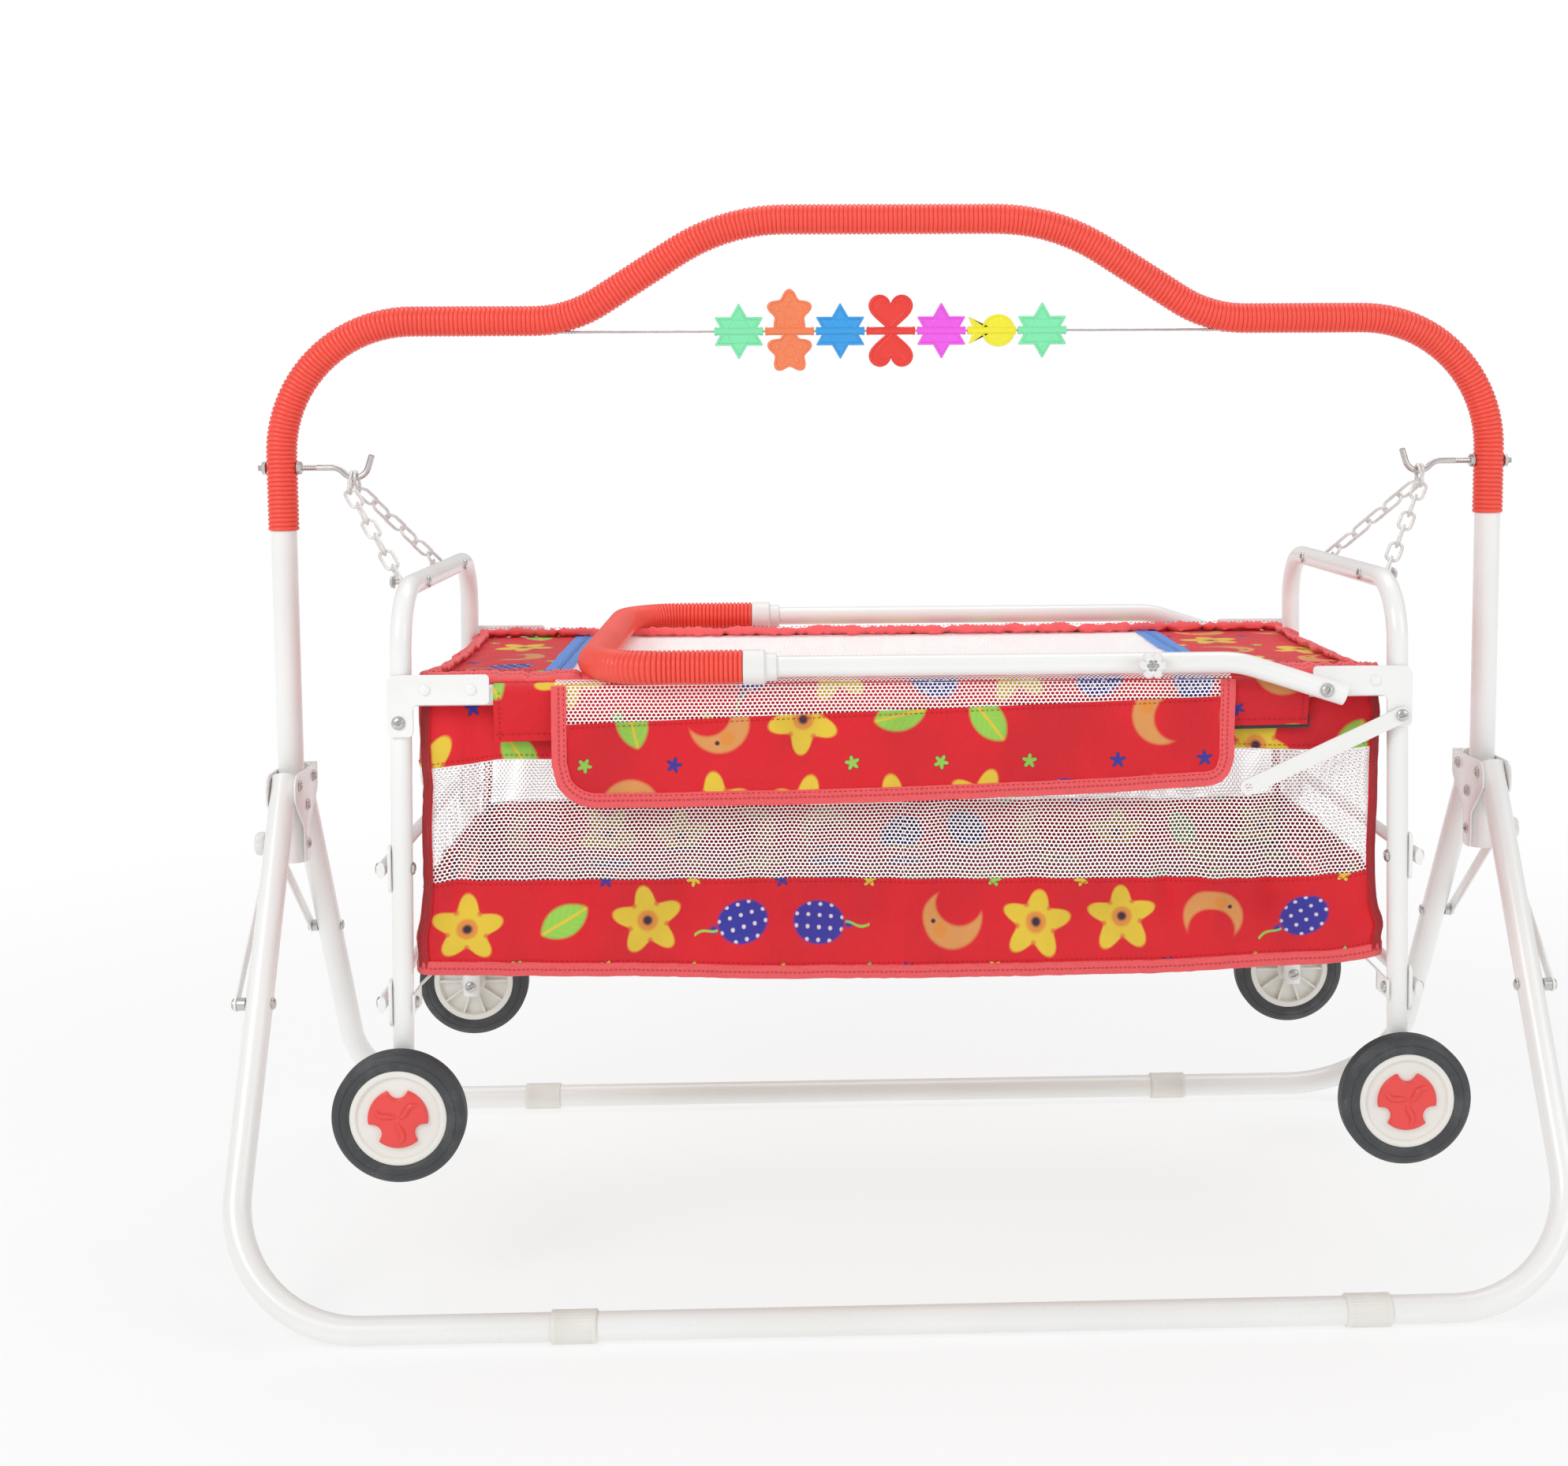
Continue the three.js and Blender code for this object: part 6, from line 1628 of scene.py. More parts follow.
# Ridges that rise out of the long walls' lower bands, as (x, tilt, width, height)
creaseLines = [(-402, 0.35, 7, 2.2), (-372, 0.5, 9, 1.6), (-301, 0.05, 4, 1.4), (-236, -0.1, 12, 1.8),
               (-118, 0.08, 5, 1.3), (-58, -0.15, 14, 2.0), (24, 0.02, 4, 1.5), (98, 0.12, 10, 1.7),
               (171, -0.06, 5, 1.4), (236, -0.3, 8, 2.0), (274, -0.45, 7, 2.4), (309, -0.6, 8, 2.2),
               (352, -0.5, 7, 1.9), (398, -0.4, 6, 2.3)]


def seamRise(name, x):
    line = seamLines[name]
    x = max(line[0][0], min(line[-1][0], x))
    for (x0, rise0), (x1, rise1) in zip(line, line[1:]):
        if x <= x1:
            share = (x - x0) / (x1 - x0)
            return rise0 + (rise1 - rise0) * share * share * (3 - 2 * share)
    return 0.0


def gridShell(rows, columns, spot, finishName):
    # A sheet of rows by columns cells; spot gives a point and its flat place
    made = [spot(r, j) for r in range(rows + 1) for j in range(columns + 1)]
    width = columns + 1
    starts = [r * width + j for r in range(rows) for j in range(columns)]
    faces = [(a, a + 1, a + width + 1, a + width) for a in starts]
    return [point for point, _ in made], faces, finishName, [cut for _, cut in made]


def flatPlace(x, y):
    # Flat places are in metres
    return x * 0.001, y * 0.001


def makeSheet(name, shell, body, flat, replaced=()):
    piece = makePiece(name, [shell], body, replaced, sharp=80.0)
    tuple(v * 0.001 for v in flat)


def perimeter():
    # The tub's outline from the middle of its front, with the way out at each point
    k = clothSizes
    x, y = k["halfX"], k["halfY"]
    corners = [at(0, -y, 0), at(x, -y, 0), at(x, y, 0), at(-x, y, 0), at(-x, -y, 0), at(0, -y, 0)]
    path = along(bentPath(corners, [k["corner"]], 10.0), spacing=6.0)
    outs = []
    for i in range(len(path)):
        before = path[i - 1] if i else path[-2]
        after = path[i + 1] if i < len(path) - 1 else path[1]
        run = (after - before).normalized()
        outs.append(at(run.y, -run.x, 0))
    return path, outs


rimPath, rimOuts = perimeter()
rimLength = pathLength(rimPath)


def wallPoint(index, z, lift=0.0):
    # A place on the tub's wall, lifted off it by as much as is asked
    k = clothSizes
    base, out = rimPath[index], rimOuts[index]
    distance = rimLength * index / (len(rimPath) - 1)
    # The wall meets itself round the tub, so the noise is read on a circle
    turn = 2 * math.pi * distance / rimLength
    ringX, ringY = 6.0 * math.cos(turn), 6.0 * math.sin(turn)
    share = clamp((z - k["bowFrom"]) / (k["top"] - k["bowFrom"]))
    middle = math.sin(math.pi * share)
    nearCorner = math.hypot(max(0.0, k["halfX"] - abs(base.x)), max(0.0, k["halfY"] - abs(base.y)))
    pull = math.exp(-(nearCorner / k["cornerReach"]) ** 2)
    off = -k["bow"] * middle * (1 - pull) - k["cornerPull"] * pull * math.sin(math.pi * share) ** 1.5
    lean = k["leanEnd"] + (k["leanLong"] - k["leanEnd"]) * abs(out.y)
    off -= lean * max(0.0, (z - k["leanFrom"]) / (k["top"] - k["leanFrom"])) ** 1.3
    # Creases hang from the tabs and slant towards the corners
    slant = noiseAt(ringX * 2.6 + z * 0.009, ringY * 2.6 - z * 0.006, z * 0.004)
    fine = noiseAt(ringX * 7.0 + 9, ringY * 7.0, z * 0.012)
    high = max(0.0, (z - 505.0) / 60.0)
    low = max(0.0, (345.0 - z) / 40.0)
    off += k["fold"] * 1.7 * slant * (0.5 + middle) + 0.9 * fine * (0.4 + high + low)
    off += pull * 4.2 * math.sin(nearCorner * 0.10 + z * 0.035) * middle * min(1.0, nearCorner / 34.0)
    # The long sides are gathered a little towards the right end
    ruffled = clamp((base.x - k["gatherFrom"]) / 90.0) * abs(out.y) * (1 - pull)
    band = math.exp(-((z - k["gatherZ"]) / 34.0) ** 2)
    phase = 2 * math.pi * base.x / k["gatherPitch"] + 3.0 * noiseAt(base.x * 0.012, z * 0.006)
    off += k["gather"] * ruffled * band * math.sin(phase)
    # Nothing goes in past the base board
    board = math.exp(-((z - baseSizes["deck"]) / 15.0) ** 2)
    off = off * (1 - board) + (0.5 + 3.0 * abs(slant)) * board
    for place, tilt, width, depth in creaseLines:
        gap = (base.x - place - tilt * (z - 345.0)) / width
        if abs(gap) < 3.0:
            rising = math.sin(math.pi * clamp((z - 300.0) / 120.0))
            off += depth * abs(out.y) * math.exp(-gap * gap) * rising
    # The seams sag between their ends
    rise = seamRise("hem", base.x) * clamp((345.0 - z) / 35.0)
    rise += seamRise("lowerTop", base.x) * math.exp(-((z - k["lowerTop"]) / 30.0) ** 2)
    rise += seamRise("upperFoot", base.x) * math.exp(-((z - k["upperFoot"]) / 26.0) ** 2)
    rise += 1.2 * slant * max(0.0, (330.0 - z) / 30.0)
    # The corners are drawn out to the frame's legs, which lean
    reach = max(0.0, frameX(z) - frameRadius - 2.2 - k["halfX"]) * (abs(base.x) / k["halfX"]) ** 6
    reach *= clamp((k["top"] - z) / 60.0)
    return base + out * off + at(math.copysign(reach, base.x), 0, z + rise) + out * lift


def wallBand(low, high, rows, finishName, printShift=0.0, lift=0.0):
    last = len(rimPath) - 1

    def spot(r, i):
        z = low + (high - low) * r / rows
        return wallPoint(i, z, lift), flatPlace(rimLength * i / last + printShift, z)

    return gridShell(rows, last, spot, finishName)


def each(value, path):
    # A list holds one value for each point; any other value is for all of them
    return value if isinstance(value, list) else [value] * len(path)


def tapeShell(path, ups, outs, width, thickness, finishName, pucker=0.0, seed=0.0):
    # A folded binding: a flat rounded section swept along an edge. The ways up
    # and out are one for all or one for each point.
    section = [(-0.5, -0.10), (-0.50, 0.20), (-0.42, 0.42), (-0.22, 0.50), (0.0, 0.46), (0.22, 0.50),
               (0.42, 0.42), (0.50, 0.20), (0.5, -0.10), (0.42, -0.45), (0.0, -0.5), (-0.42, -0.45)]
    points, flat = [], []
    distance = 0.0
    for i, (spot, up, out) in enumerate(zip(path, each(ups, path), each(outs, path))):
        if i:
            distance += (spot - path[i - 1]).length
        rise = pucker * noiseAt(distance * 0.16, seed)
        swell = 1.0 + pucker * 0.5 * noiseAt(distance * 0.33, seed + 4.0)
        for a, b in section:
            lift = thickness * b * swell + rise * 0.5 * (a + 0.5)
            points.append(spot + up * (width * a + rise * 0.5) + out * lift)
            flat.append((distance * 0.001, a + 0.5))
    return points, cappedFaces(len(path), len(section)), finishName, flat


stitchSizes = {"length": 2.6, "gap": 2.0, "radius": 0.38, "ring": 6}


def stitchShell(path, outs):
    # A row of short thread stitches lying on the cloth. Each dips in at its
    # ends: (share of its length, lift, share of its radius).
    form = [(0.0, -0.25, 0.5), (0.25, 0.15, 1.0), (0.75, 0.15, 1.0), (1.0, -0.25, 0.5)]
    length, radius, ring = stitchSizes["length"], stitchSizes["radius"], stitchSizes["ring"]
    spots = along(path, spacing=1.0)
    last = len(spots) - 1
    outs = each(outs, spots[:1])
    total = pathLength(path)
    points, faces = [], []
    position = stitchSizes["gap"]
    while position + length < total:
        i = int(position / total * last)
        out = outs[round(i / last * (len(outs) - 1))]
        a = spots[i]
        b = spots[min(last, int((position + length) / total * last))]
        if (b - a).length > 0.5:
            side = (b - a).normalized().cross(out).normalized()
            faces += cappedFaces(len(form), ring, len(points))
            for share, lift, size in form:
                points += ringAround(a.lerp(b, share) + out * lift, out, side, radius * size, ring)
        position += length + stitchSizes["gap"]
    return points, faces, "thread", None


def makeBedBands():
    k = clothSizes
    over = k["overNet"]
    makeSheet("bedLowerBand", wallBand(k["hem"] + over, k["lowerTop"], 14, "print", 0.0, k["band"]), "cradle",
              (rimLength, k["lowerTop"] - k["hem"] - over),
              ["bed_cloth"])
    makeSheet("bedNetBand", wallBand(k["lowerTop"] - over, k["upperFoot"] + over, 18, "net"), "cradle",
              (rimLength, k["upperFoot"] - k["lowerTop"] + 2 * over))
    # The seams' sag makes the upper band deeper than its two heights
    makeSheet("bedUpperBand", wallBand(k["upperFoot"], k["top"], 12, "print", 37.0, k["band"]), "cradle",
              (rimLength, k["top"] - k["upperFoot"] + 6.5))


makeBedBands()

# The lining on the base board
deckSizes = {"halfX": 433.0, "halfY": 191.0, "rows": 45, "columns": 99, "printX": 0.9, "printY": 0.4}


def deckSpot(i, j):
    d = deckSizes
    x = -d["halfX"] + 2 * d["halfX"] * j / d["columns"]
    y = -d["halfY"] + 2 * d["halfY"] * i / d["rows"]
    edge = min(d["halfX"] - abs(x), d["halfY"] - abs(y))
    lift = 1.6 + 2.2 * noiseAt(x * 0.012, y * 0.016) + 1.2 * noiseAt(x * 0.035, y * 0.03, 3.0)
    return (at(x, y, baseSizes["deck"] + max(0.6, lift) * min(1.0, edge / 25.0) + 0.6),
            (x * 0.001 + d["printX"], y * 0.001 + d["printY"]))


# The deck's print is darkened: painted shade inside the bed
makeSheet("bedDeck", gridShell(deckSizes["rows"], deckSizes["columns"], deckSpot, "shadedPrint"), "cradle",
          (2 * deckSizes["halfX"], 2 * deckSizes["halfY"]))

# Tabs fold over each rail and fasten outside the wall with a hook tape
tabSizes = {"half": 368.0, "radius": 10.7, "footLeft": 515.0, "footRight": 523.0, "inner": 543.0,
            "columns": 150}


def tabProfile(face):
    c = cradleSizes
    t = tabSizes
    profile = [(c["legY"] - t["radius"] + 0.1, t["inner"]), (c["legY"] - t["radius"], 550.0)]
    for step in range(13):
        angle = math.pi - step / 12 * math.pi
        profile.append((c["legY"] + t["radius"] * math.cos(angle),
                        c["railZ"] + t["radius"] * math.sin(angle)))
    # The last points slide up where the tab is short
    profile += [(208.9, 549.0), (207.6, 543.0), (206.2, 537.0), (205.0, 531.0), (204.3, 525.0),
                (203.9, 519.0)]
    return [(face * py, pz) for py, pz in profile]


def makeTabs(faceName, face):
    # Makes the tab, and returns its stitches and hook tape for the trims
    t = tabSizes
    profile = tabProfile(face)
    lengths = [0.0]
    for (y0, z0), (y1, z1) in zip(profile, profile[1:]):
        lengths.append(lengths[-1] + math.hypot(y1 - y0, z1 - z0))
    total = lengths[-1]

    def footAt(share):
        return t["footLeft"] + (t["footRight"] - t["footLeft"]) * share

    def spot(r, j):
        y, z = profile[r]
        share = lengths[r] / total
        hang = max(0.0, share - 0.55) / 0.45
        x = -t["half"] + 2 * t["half"] * j / t["columns"]
        wave = (0.35 + 1.5 * hang) * noiseAt(x * 0.035, share * 1.5, face * 2.0)
        pucker = 0.5 * noiseAt(x * 0.15, share * 3.0, face * 5.0)
        fall = max(0.0, (549.0 - z) / 30.0) * (519.0 - footAt(j / t["columns"])) if y * face > 200 else 0.0
        bulge = max(-0.2, wave * 1.6) + pucker * hang * 0.5
        place = at(x, y + face * bulge, z - fall + pucker * 0.5 * hang)
        return place, (x * 0.001 + 2.3 + face, (total - lengths[r]) * 0.001 + 0.207)

    last = len(profile) - 1
    makeSheet(f"{faceName}Tab", gridShell(last, t["columns"], spot, "print"), "cradle",
              (2 * t["half"], total))

    out = at(0, face, 0)

    def sewn(r, j):
        return spot(r, j)[0] + out * 0.5

    tape = [at(x, face * 201.8, footAt((x + t["half"]) / (2 * t["half"])) + (3.2 if x > 240 else 6.0))
            for x in range(-362, 371, 6)]
    shells = [stitchShell([sewn(last - 1, j) for j in range(t["columns"] + 1)], out),
              tapeShell(tape, at(0, 0, 1), out, 13.0, 1.8, "velcro")]
    for side, j in ((-1, 0), (1, t["columns"])):
        edge = [sewn(r, j) for r in range(12, last + 1)]
        shells.append(stitchShell([at(side * (t["half"] - 5.0), p.y, p.z) for p in edge], out))
    return shells


def rimLine(z, lift):
    return [wallPoint(i, z, lift) for i in range(len(rimPath))]


def cornerTape(side, face):
    # A tape up the tub's corner, between the printed bands' ends
    target = at(side * (clothSizes["halfX"] - 4.0), face * clothSizes["halfY"], 0)
    index = min(range(len(rimPath)), key=lambda i: (rimPath[i] - target).length)
    out = rimOuts[index]
    path = [wallPoint(index, 304.0 + 6.0 * n, 0.9) for n in range(44)]
    return tapeShell(path, at(out.y, -out.x, 0), out, 11.0, 2.4, "redTape", 1.2, side + face * 3.0)


trims = []
for faceName, face in sides.items():
    trims += makeTabs(faceName, face)
hemLine = rimLine(clothSizes["hem"] + 6.0, 0.8)
trims.append(tapeShell(hemLine, at(0, 0, 1), rimOuts, 12.5, 3.2, "binding", 1.1))
for z in (clothSizes["lowerTop"] - 3.5, clothSizes["upperFoot"] + 3.5, clothSizes["hem"] + 14.0):
    trims.append(stitchShell(rimLine(z, 1.15), rimOuts))
trims += [cornerTape(side, face) for side in ends.values() for face in sides.values()]
makePiece("bedBindings", trims, "cradle", sharp=60.0)
print("bed cloth made")

# Net cover: a net between two printed ends, zipped to them, bound all round
coverSizes = {"x": 437.0, "y": 186.5, "z": 566.4, "left": -322.0, "right": 287.0, "sag": 8.0, "zip": 24.0,
              "rows": 40, "edgeTape": (17.0, 8.0), "edgeRise": 4.2, "endTape": (18.0, 4.6), "endRise": 2.0}


def coverHeight(x, y):
    v = coverSizes
    middle = (v["left"] + v["right"]) / 2
    half = (v["right"] - v["left"]) / 2
    across = max(0.0, 1 - ((x - middle) / half) ** 2)
    depth = max(0.0, 1 - (y / v["y"]) ** 2)
    rim = max(0.0, 1 - min(v["x"] - abs(x), v["y"] - abs(y)) / 26.0)
    nearEnd = max(0.0, abs(x) - 300.0) / 137.0
    return (v["z"] - v["sag"] * across ** 0.6 * depth ** 0.7
            + 1.2 * noiseAt(x * 0.02, y * 0.03) * depth
            - 2.0 * nearEnd * depth * (0.6 + noiseAt(x * 0.04, y * 0.03, 8.0))
            + 0.9 * rim * noiseAt(x * 0.13, y * 0.13, 2.0))


def coverEdge(x):
    # The long edges run a little in and out
    return coverSizes["y"] - 1.2 + 1.2 * noiseAt(x * 0.02, 31.0)


def coverEnd(y):
    # The ends are pulled in between their corners
    return 6.0 * (1 - (y / coverSizes["y"]) ** 2)


def coverGrid(low, high, finishName, columns):
    def spot(r, j):
        x = low + (high - low) * j / columns
        y = (-1 + 2 * r / coverSizes["rows"]) * coverEdge(x)
        inward = coverEnd(y) * max(0.0, (abs(x) - 290.0) / 147.0) ** 2
        return at(x - math.copysign(inward, x), y, coverHeight(x, y)), (x * 0.001 + 4.1, y * 0.001 + 0.41)

    return gridShell(coverSizes["rows"], columns, spot, finishName)


def makeCoverPanels():
    v = coverSizes
    makeSheet("coverNet", coverGrid(v["left"] - 3, v["right"] + 3, "closeNet", 90), "cradle",
              (v["right"] - v["left"] + 6, 2 * v["y"]), ["net_cover"])
    for endName, (low, high) in {"left": (-v["x"], v["left"]), "right": (v["right"], v["x"])}.items():
        makeSheet(f"coverEnd{endName.title()}", coverGrid(low, high, "print", 24), "cradle",
                  (high - low, 2 * v["y"]))


makeCoverPanels()


def coverEdgeTrims(face):
    # The thick binding of a long edge, with its stitches
    v = coverSizes
    line = []
    for n in range(180):
        x = -v["x"] + 2 * v["x"] * n / 179
        y = face * (coverEdge(x) - 1.0)
        wander = 1.8 * noiseAt(x * 0.024, face * 3.0) + 1.4 * noiseAt(x * 0.075, face * 9.0)
        line.append(at(x, y + face * (1.5 + wander * 0.6), coverHeight(x, y) + v["edgeRise"] + wander * 0.7))
    tape = tapeShell(line, at(0, face * 0.94, -0.34), at(0, face * 0.34, 0.94), *v["edgeTape"], "binding",
                     2.6, face * 2.0)
    return [tape, stitchShell([p + at(0, -face * 5.2, 6.0) for p in line], at(0, 0, 1))]


def coverEndTrims(side):
    v = coverSizes
    line = []
    for n in range(80):
        y = -v["y"] + 2 * v["y"] * n / 79
        wander = 2.6 * noiseAt(y * 0.035, side * 5.0) + 2.0 * noiseAt(y * 0.11, side * 15.0)
        x = side * (v["x"] - coverEnd(y) - 1.0 + 0.5 * wander)
        line.append(at(x, y, coverHeight(side * v["x"], y) + v["endRise"] + wander))
    return [tapeShell(line, at(side * 0.9, 0, -0.44), at(side * 0.44, 0, 0.9), *v["endTape"], "binding", 3.6,
                      side * 7.0)]


def zipTrims(x):
    # The zip's tape, and its closed teeth as a narrow tape on top
    line = [at(x + 0.4 * noiseAt(y * 0.04, x), y, coverHeight(x, y) + 0.5) for y in range(-181, 182, 6)]
    teeth = [at(x, p.y, p.z + 0.75) for p in line]
    return [tapeShell(line, at(1, 0, 0), at(0, 0, 1), coverSizes["zip"], 1.4, "zip", 0.25, x),
            tapeShell(teeth, at(1, 0, 0), at(0, 0, 1), 4.6, 1.2, "zip", 0.0, x)]


coverTrims = [shell for face in sides.values() for shell in coverEdgeTrims(face)]
coverTrims += [shell for side in ends.values() for shell in coverEndTrims(side)]
coverTrims += zipTrims(coverSizes["left"]) + zipTrims(coverSizes["right"])
makePiece("coverBindings", coverTrims, "cradle", sharp=60.0)


def makeSlider(endName):
    v = coverSizes
    x, y, z = v[endName], -v["y"] + 18.6, v["z"] + 1.6
    base = roundedOutline([(-3.4, 0.0), (3.4, 0.0), (2.6, 7.4), (-2.6, 7.4)], [1.2, 1.2, 1.8, 1.8], 15.0)
    body = plateShell(base, (1, 0, 0), (0, 1, 0), 1.9, (x, y, z), "zinc", 0.5, 2)
    tongue = roundedOutline([(-2.2, 5.4), (2.2, 5.4), (2.9, 16.0), (-2.9, 16.0)], [1.0, 1.0, 2.4, 2.4], 15.0)
    pull = plateShell(tongue, (1, 0, 0), (0, 1, 0), 0.9, (x, y, z + 1.5), "zinc", 0.3, 2, [(0.0, 13.2, 1.3)])
    bridge = [at(x, y + 1.6 + 3.8 * n / 8, z + 1.7 + 1.6 * math.sin(math.pi * n / 8)) for n in range(9)]
    node = f"{endName}_zip_slider"
    makePiece(f"{endName}ZipSlider", [body, pull, tubeShell(bridge, 0.7, "zinc", 10)], node, [node])


for endName in ends:
    makeSlider(endName)
print("cover made")

# Front flap: net above, a printed band below, bound on three edges
flapSizes = {"left": -316.0, "right": 300.0, "top": 566.0, "footLeft": 455.5, "footRight": 469.0, "y": -211.6,
             "netLeft": 531.0, "netRight": 551.0, "cornerLeft": 40.0, "cornerRight": 24.0, "border": 13.5,
             "band": 0.8, "overNet": 2.0, "columns": 110, "tuck": 3.4}
flapWidth = flapSizes["right"] - flapSizes["left"]


def flapFoot(x):
    f = flapSizes
    share = (x - f["left"]) / flapWidth
    foot = f["footLeft"] + (f["footRight"] - f["footLeft"]) * share - 4.0 * math.sin(math.pi * share)
    for edge, radius in ((x - f["left"], f["cornerLeft"]), (f["right"] - x, f["cornerRight"])):
        if edge < radius:
            foot += radius - math.sqrt(max(0.0, radius ** 2 - (radius - edge) ** 2))
    return foot


def flapPoint(x, z):
    f = flapSizes
    drop = (f["top"] - z) / 100.0
    wave = 3.4 * noiseAt(x * 0.011, 7.0) + 2.2 * noiseAt(x * 0.026, z * 0.02, 4.0)
    wave += 0.9 * noiseAt(x * 0.07 + z * 0.03, z * 0.05, 9.0)
    # The lower right corner turns in, clear of the stay that swings past it
    tuck = clamp((x - 190.0) / 80.0) * clamp((552.0 - z) / 30.0)
    bulge = max(-0.2, (2.2 + wave) * min(1.0, drop * 1.3)) * (1 - tuck)
    return at(x, f["y"] - bulge + f["tuck"] * tuck + 0.2, z)


def flapSeam(x):
    f = flapSizes
    share = (x - f["left"]) / flapWidth
    return f["netLeft"] + (f["netRight"] - f["netLeft"]) * share


def gathered(share, amount):
    # Steps across the flap gather towards its rounded corners
    return flapSizes["left"] + flapWidth * (share - amount * math.sin(2 * math.pi * share) / math.pi)


def flapGrid(lowOf, highOf, finishName, rows, lift=0.0):
    def spot(r, j):
        x = gathered(j / flapSizes["columns"], 0.06)
        low, high = lowOf(x), highOf(x)
        z = low + (high - low) * r / rows
        return flapPoint(x, z) + at(0, -lift, 0), (x * 0.001 + 6.13, z * 0.001 + 0.051)

    return gridShell(rows, flapSizes["columns"], spot, finishName)


def makeFlapPanels():
    f = flapSizes
    seams, feet = f["netLeft"] + f["netRight"], f["footLeft"] + f["footRight"]
    makeSheet("flapNet", flapGrid(lambda x: flapSeam(x) - f["overNet"], lambda x: f["top"], "net", 10),
              "flap", (flapWidth, f["top"] - seams / 2 + f["overNet"]),
              ["net_flap"])
    makeSheet("flapBand", flapGrid(flapFoot, flapSeam, "print", 14, f["band"]), "flap",
              (flapWidth, (seams - feet) / 2 + 2.0))


makeFlapPanels()


def makeFlapBinding():
    # Down the left edge, along the foot and up the right edge
    f = flapSizes
    left, right, top = f["left"], f["right"], f["top"]
    edge = [at(left, 0, top - (top - flapFoot(left)) * n / 8) for n in range(8)]
    edge += [at(x, 0, flapFoot(x)) for x in (gathered(n / 120, 0.10) for n in range(121))]
    edge += [at(right, 0, flapFoot(right) + (top - flapFoot(right)) * n / 8) for n in range(1, 9)]
    edge = along(edge, spacing=5.0)
    out = at(0, -1, 0)
    path, inwards = [], []
    for i, spot in enumerate(edge):
        run = heading(edge, i)
        inward = at(-run.z, 0, run.x)
        place = spot + inward * (f["border"] / 2)
        path.append(flapPoint(place.x, place.z) + out)
        inwards.append(inward)
    seam = [p + inward * (f["border"] * 0.33) + out * 0.9 for p, inward in zip(path, inwards)]
    band = [flapPoint(x, flapSeam(x) - 3.5) + out * 1.1 for x in range(-300, 286, 5)]
    shells = [tapeShell(path, inwards, out, f["border"], 1.9, "binding", 0.8, 11.0), stitchShell(seam, out),
              stitchShell(band, out)]
    makePiece("flapBinding", shells, "flap", sharp=60.0)


makeFlapBinding()


# The net runs from the cover over the front rail to the flap
def makeOverlap():
    profile = [(-186.0, coverSizes["z"] + 0.6), (-190.5, 568.6), (-195.0, 569.7), (-199.0, 570.0),
               (-203.0, 569.6), (-207.0, 568.2), (-209.6, 566.9)]
    lengths = [0.0]
    for (y0, z0), (y1, z1) in zip(profile, profile[1:]):
        lengths.append(lengths[-1] + math.hypot(y1 - y0, z1 - z0))
    inset, columns = 3.0, 120
    width = flapWidth - 2 * inset

    def spot(i, n):
        y, z = profile[i]
        x = flapSizes["left"] + inset + width * n / columns
        return at(x, y, z + 0.5 * noiseAt(x * 0.05, i * 0.4)), (x * 0.001 + 6.13, 0.62 + lengths[i] * 0.001)

    makeSheet("coverFold", gridShell(len(profile) - 1, columns, spot, "net"), "cradle",
              (width, lengths[-1]))


makeOverlap()
print("flap made")

# Camera at the photograph's angle, from a fit to the object's known places
cameraSizes = {"place": (-101.27, -2027.20, 810.96), "yaw": -0.03439, "pitch": 0.08782, "roll": -0.005672,
               "focal": 2585.31, "centre": (1090.81, 746.57), "image": (1988.0, 1859.0), "sensor": 36.0}


def makeCamera():
    p = cameraSizes
    yaw, pitch, roll = p["yaw"], p["pitch"], p["roll"]
    ahead = at(-math.sin(yaw), math.cos(yaw), 0)
    right = at(math.cos(yaw), math.sin(yaw), 0)
    up = at(0, 0, 1)
    view = ahead * math.cos(pitch) - up * math.sin(pitch)
    lift = up * math.cos(pitch) + ahead * math.sin(pitch)
    acrossView = right * math.cos(roll) + lift * math.sin(roll)
    upView = lift * math.cos(roll) - right * math.sin(roll)
    data = bpy.data.cameras.new("photoView")
    data.sensor_fit = "HORIZONTAL"
    wide, tall = p["image"]
    data.sensor_width = p["sensor"]
    data.lens = p["focal"] / wide * p["sensor"]
    data.shift_x = (wide / 2 - p["centre"][0]) / wide
    data.shift_y = (p["centre"][1] - tall / 2) / wide
    data.clip_end = 60.0
    camera = bpy.data.objects.new("photoView", data)
    turn = Matrix((acrossView, upView, -view)).transposed()
    camera.matrix_world = Matrix.Translation(Vector(p["place"]) * 0.001) @ turn.to_4x4()
    scene.collection.objects.link(camera)
    scene.camera = camera


makeCamera()

# Pale floor and a soft, even studio light
lightSizes = {"world": 0.53, "key": 52.0, "fill": 22.0, "top": 27.0}


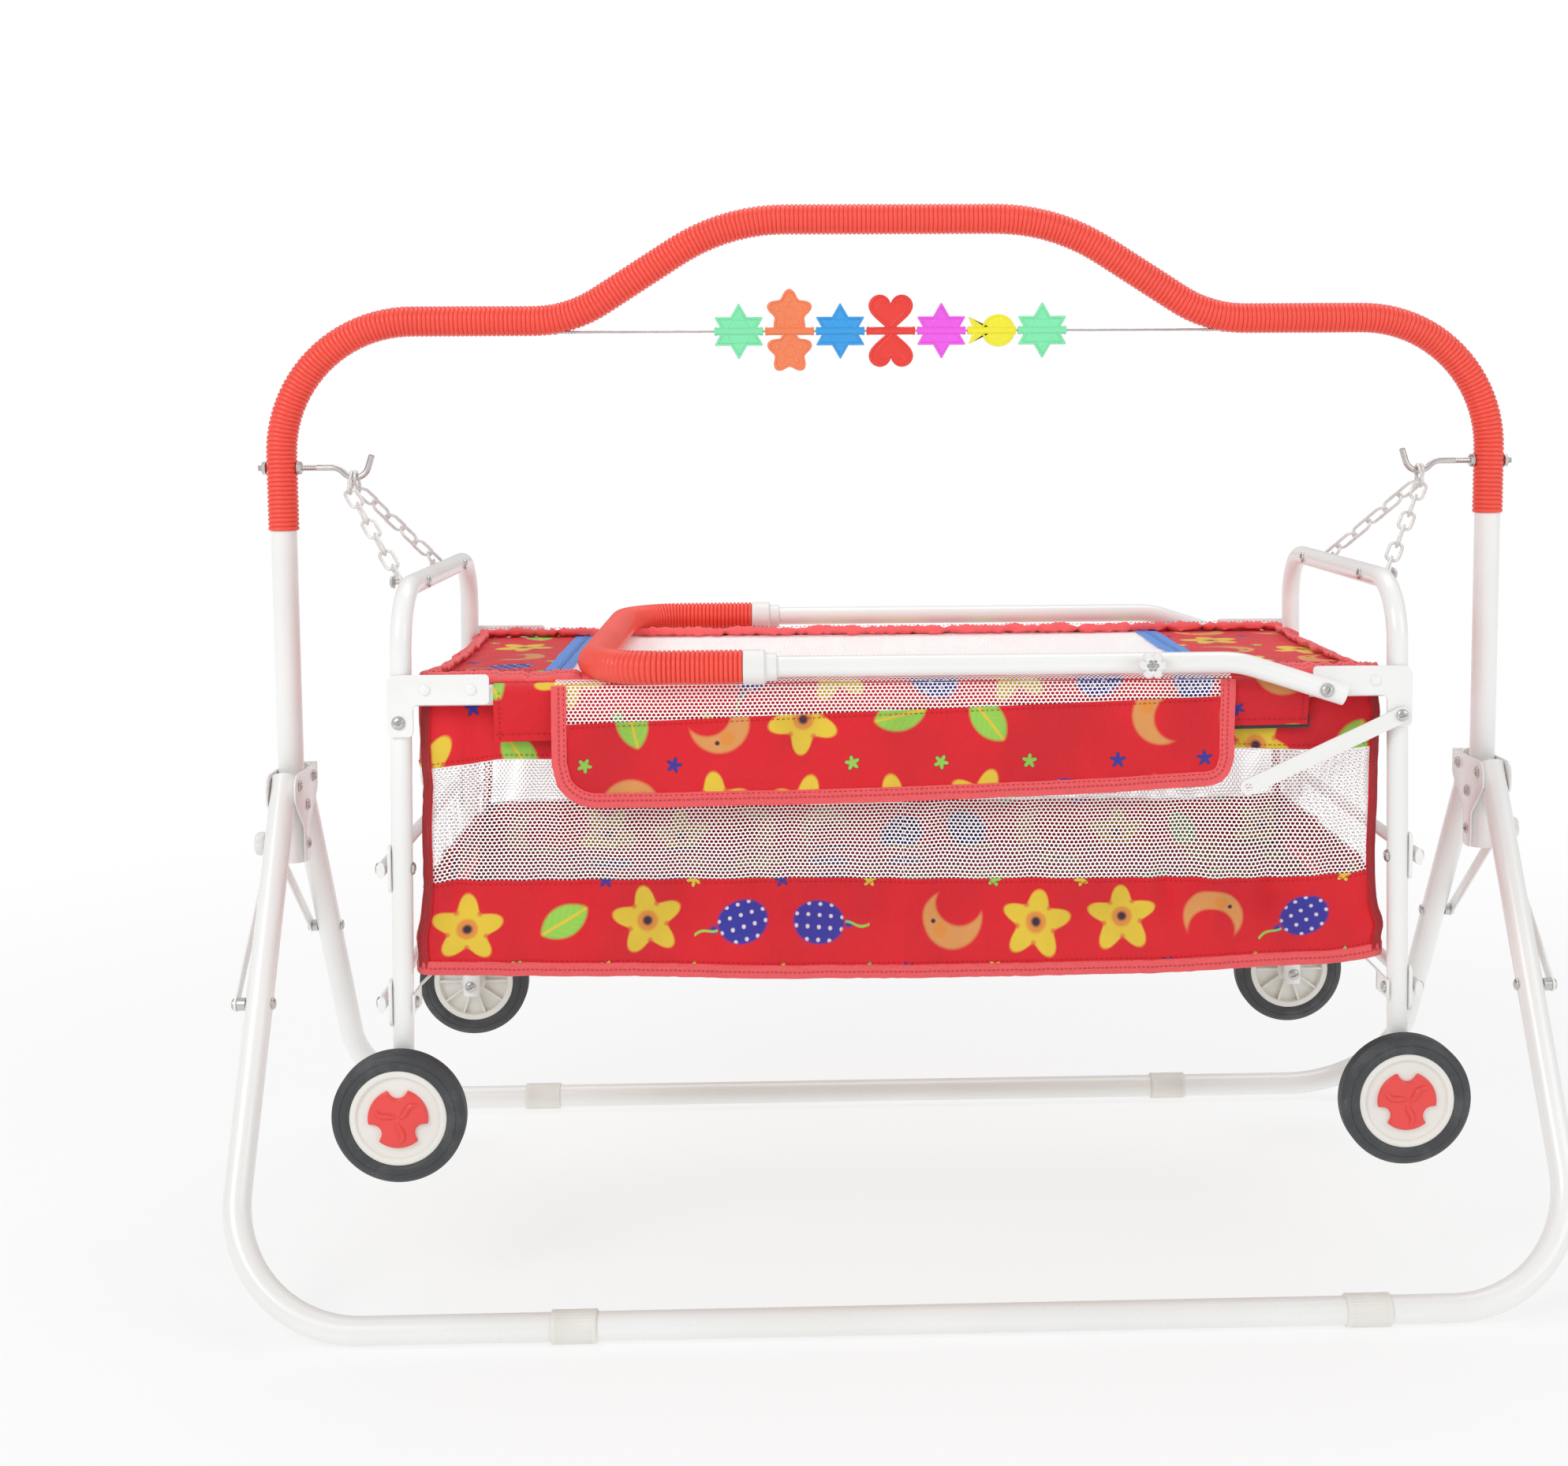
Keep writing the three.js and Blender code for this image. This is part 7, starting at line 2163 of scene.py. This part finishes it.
def makeFloor():
    finish = Finish("paleFloor", Roughness=0.9)
    grain = finish.noise(30.0, 3.0)
    finish.set(Base_Color=finish.mix(grain, (0.90, 0.90, 0.90), (0.93, 0.93, 0.93)))
    glow = finish.node("ShaderNodeEmission", {}, {"Color": (1.0, 1.0, 1.0), "Strength": 1.0})
    # Far off the floor turns to plain white, so no horizon shows
    x, y, _ = finish.place().parts()
    far = (x * x + y * y).math("SQRT").soft(0.7, 2.3)
    blend = finish.node("ShaderNodeMixShader", {}, {0: 0.72 + far * 0.28})
    finish.tree.links.new(finish.surface.outputs[0], blend.inputs[1])
    finish.tree.links.new(glow.outputs[0], blend.inputs[2])
    finish.tree.links.new(blend.outputs[0], finish.output.inputs["Surface"])
    mesh = bpy.data.meshes.new("floor")
    size = 14.0
    mesh.from_pydata([(-size, -size, 0), (size, -size, 0), (size, size, 0), (-size, size, 0)], [],
                     [(0, 1, 2, 3)])
    mesh.materials.append(finish.material)
    floor = bpy.data.objects.new("floor", mesh)
    floor.location.z = -0.0004
    scene.collection.objects.link(floor)


def makeWorld():
    world = bpy.data.worlds.new("studio")
    world.use_nodes = True
    tree = world.node_tree
    tree.nodes.clear()
    output = tree.nodes.new("ShaderNodeOutputWorld")
    path = tree.nodes.new("ShaderNodeLightPath")
    seen = tree.nodes.new("ShaderNodeMath")
    seen.operation = "MAXIMUM"
    tree.links.new(path.outputs["Is Camera Ray"], seen.inputs[0])
    tree.links.new(path.outputs["Is Transmission Ray"], seen.inputs[1])
    lit = tree.nodes.new("ShaderNodeBackground")
    lit.inputs["Strength"].default_value = lightSizes["world"]
    lit.inputs["Color"].default_value = (1.0, 1.0, 1.0, 1.0)
    white = tree.nodes.new("ShaderNodeBackground")
    white.inputs["Color"].default_value = (1.0, 1.0, 1.0, 1.0)
    white.inputs["Strength"].default_value = 1.0
    blend = tree.nodes.new("ShaderNodeMixShader")
    tree.links.new(seen.outputs[0], blend.inputs[0])
    tree.links.new(lit.outputs[0], blend.inputs[1])
    tree.links.new(white.outputs[0], blend.inputs[2])
    tree.links.new(blend.outputs[0], output.inputs["Surface"])
    scene.world = world


def makeLamp(name, place, target, size, power):
    data = bpy.data.lights.new(name, "AREA")
    data.shape = "RECTANGLE"
    data.size, data.size_y = size
    data.energy = power
    lamp = bpy.data.objects.new(name, data)
    lamp.location = place
    lamp.rotation_euler = (Vector(target) - Vector(place)).to_track_quat("-Z", "Y").to_euler()
    scene.collection.objects.link(lamp)


makeFloor()
makeWorld()
makeLamp("keyLight", (-2.2, -2.6, 2.6), (0.0, 0.0, 0.5), (1.8, 1.8), lightSizes["key"])
makeLamp("fillLight", (2.6, -2.2, 1.8), (0.0, 0.0, 0.5), (2.0, 2.0), lightSizes["fill"])
makeLamp("topLight", (0.2, 0.9, 3.2), (0.0, 0.0, 0.5), (2.4, 1.6), lightSizes["top"])
scene.view_settings.view_transform = "Standard"
print("stage made")
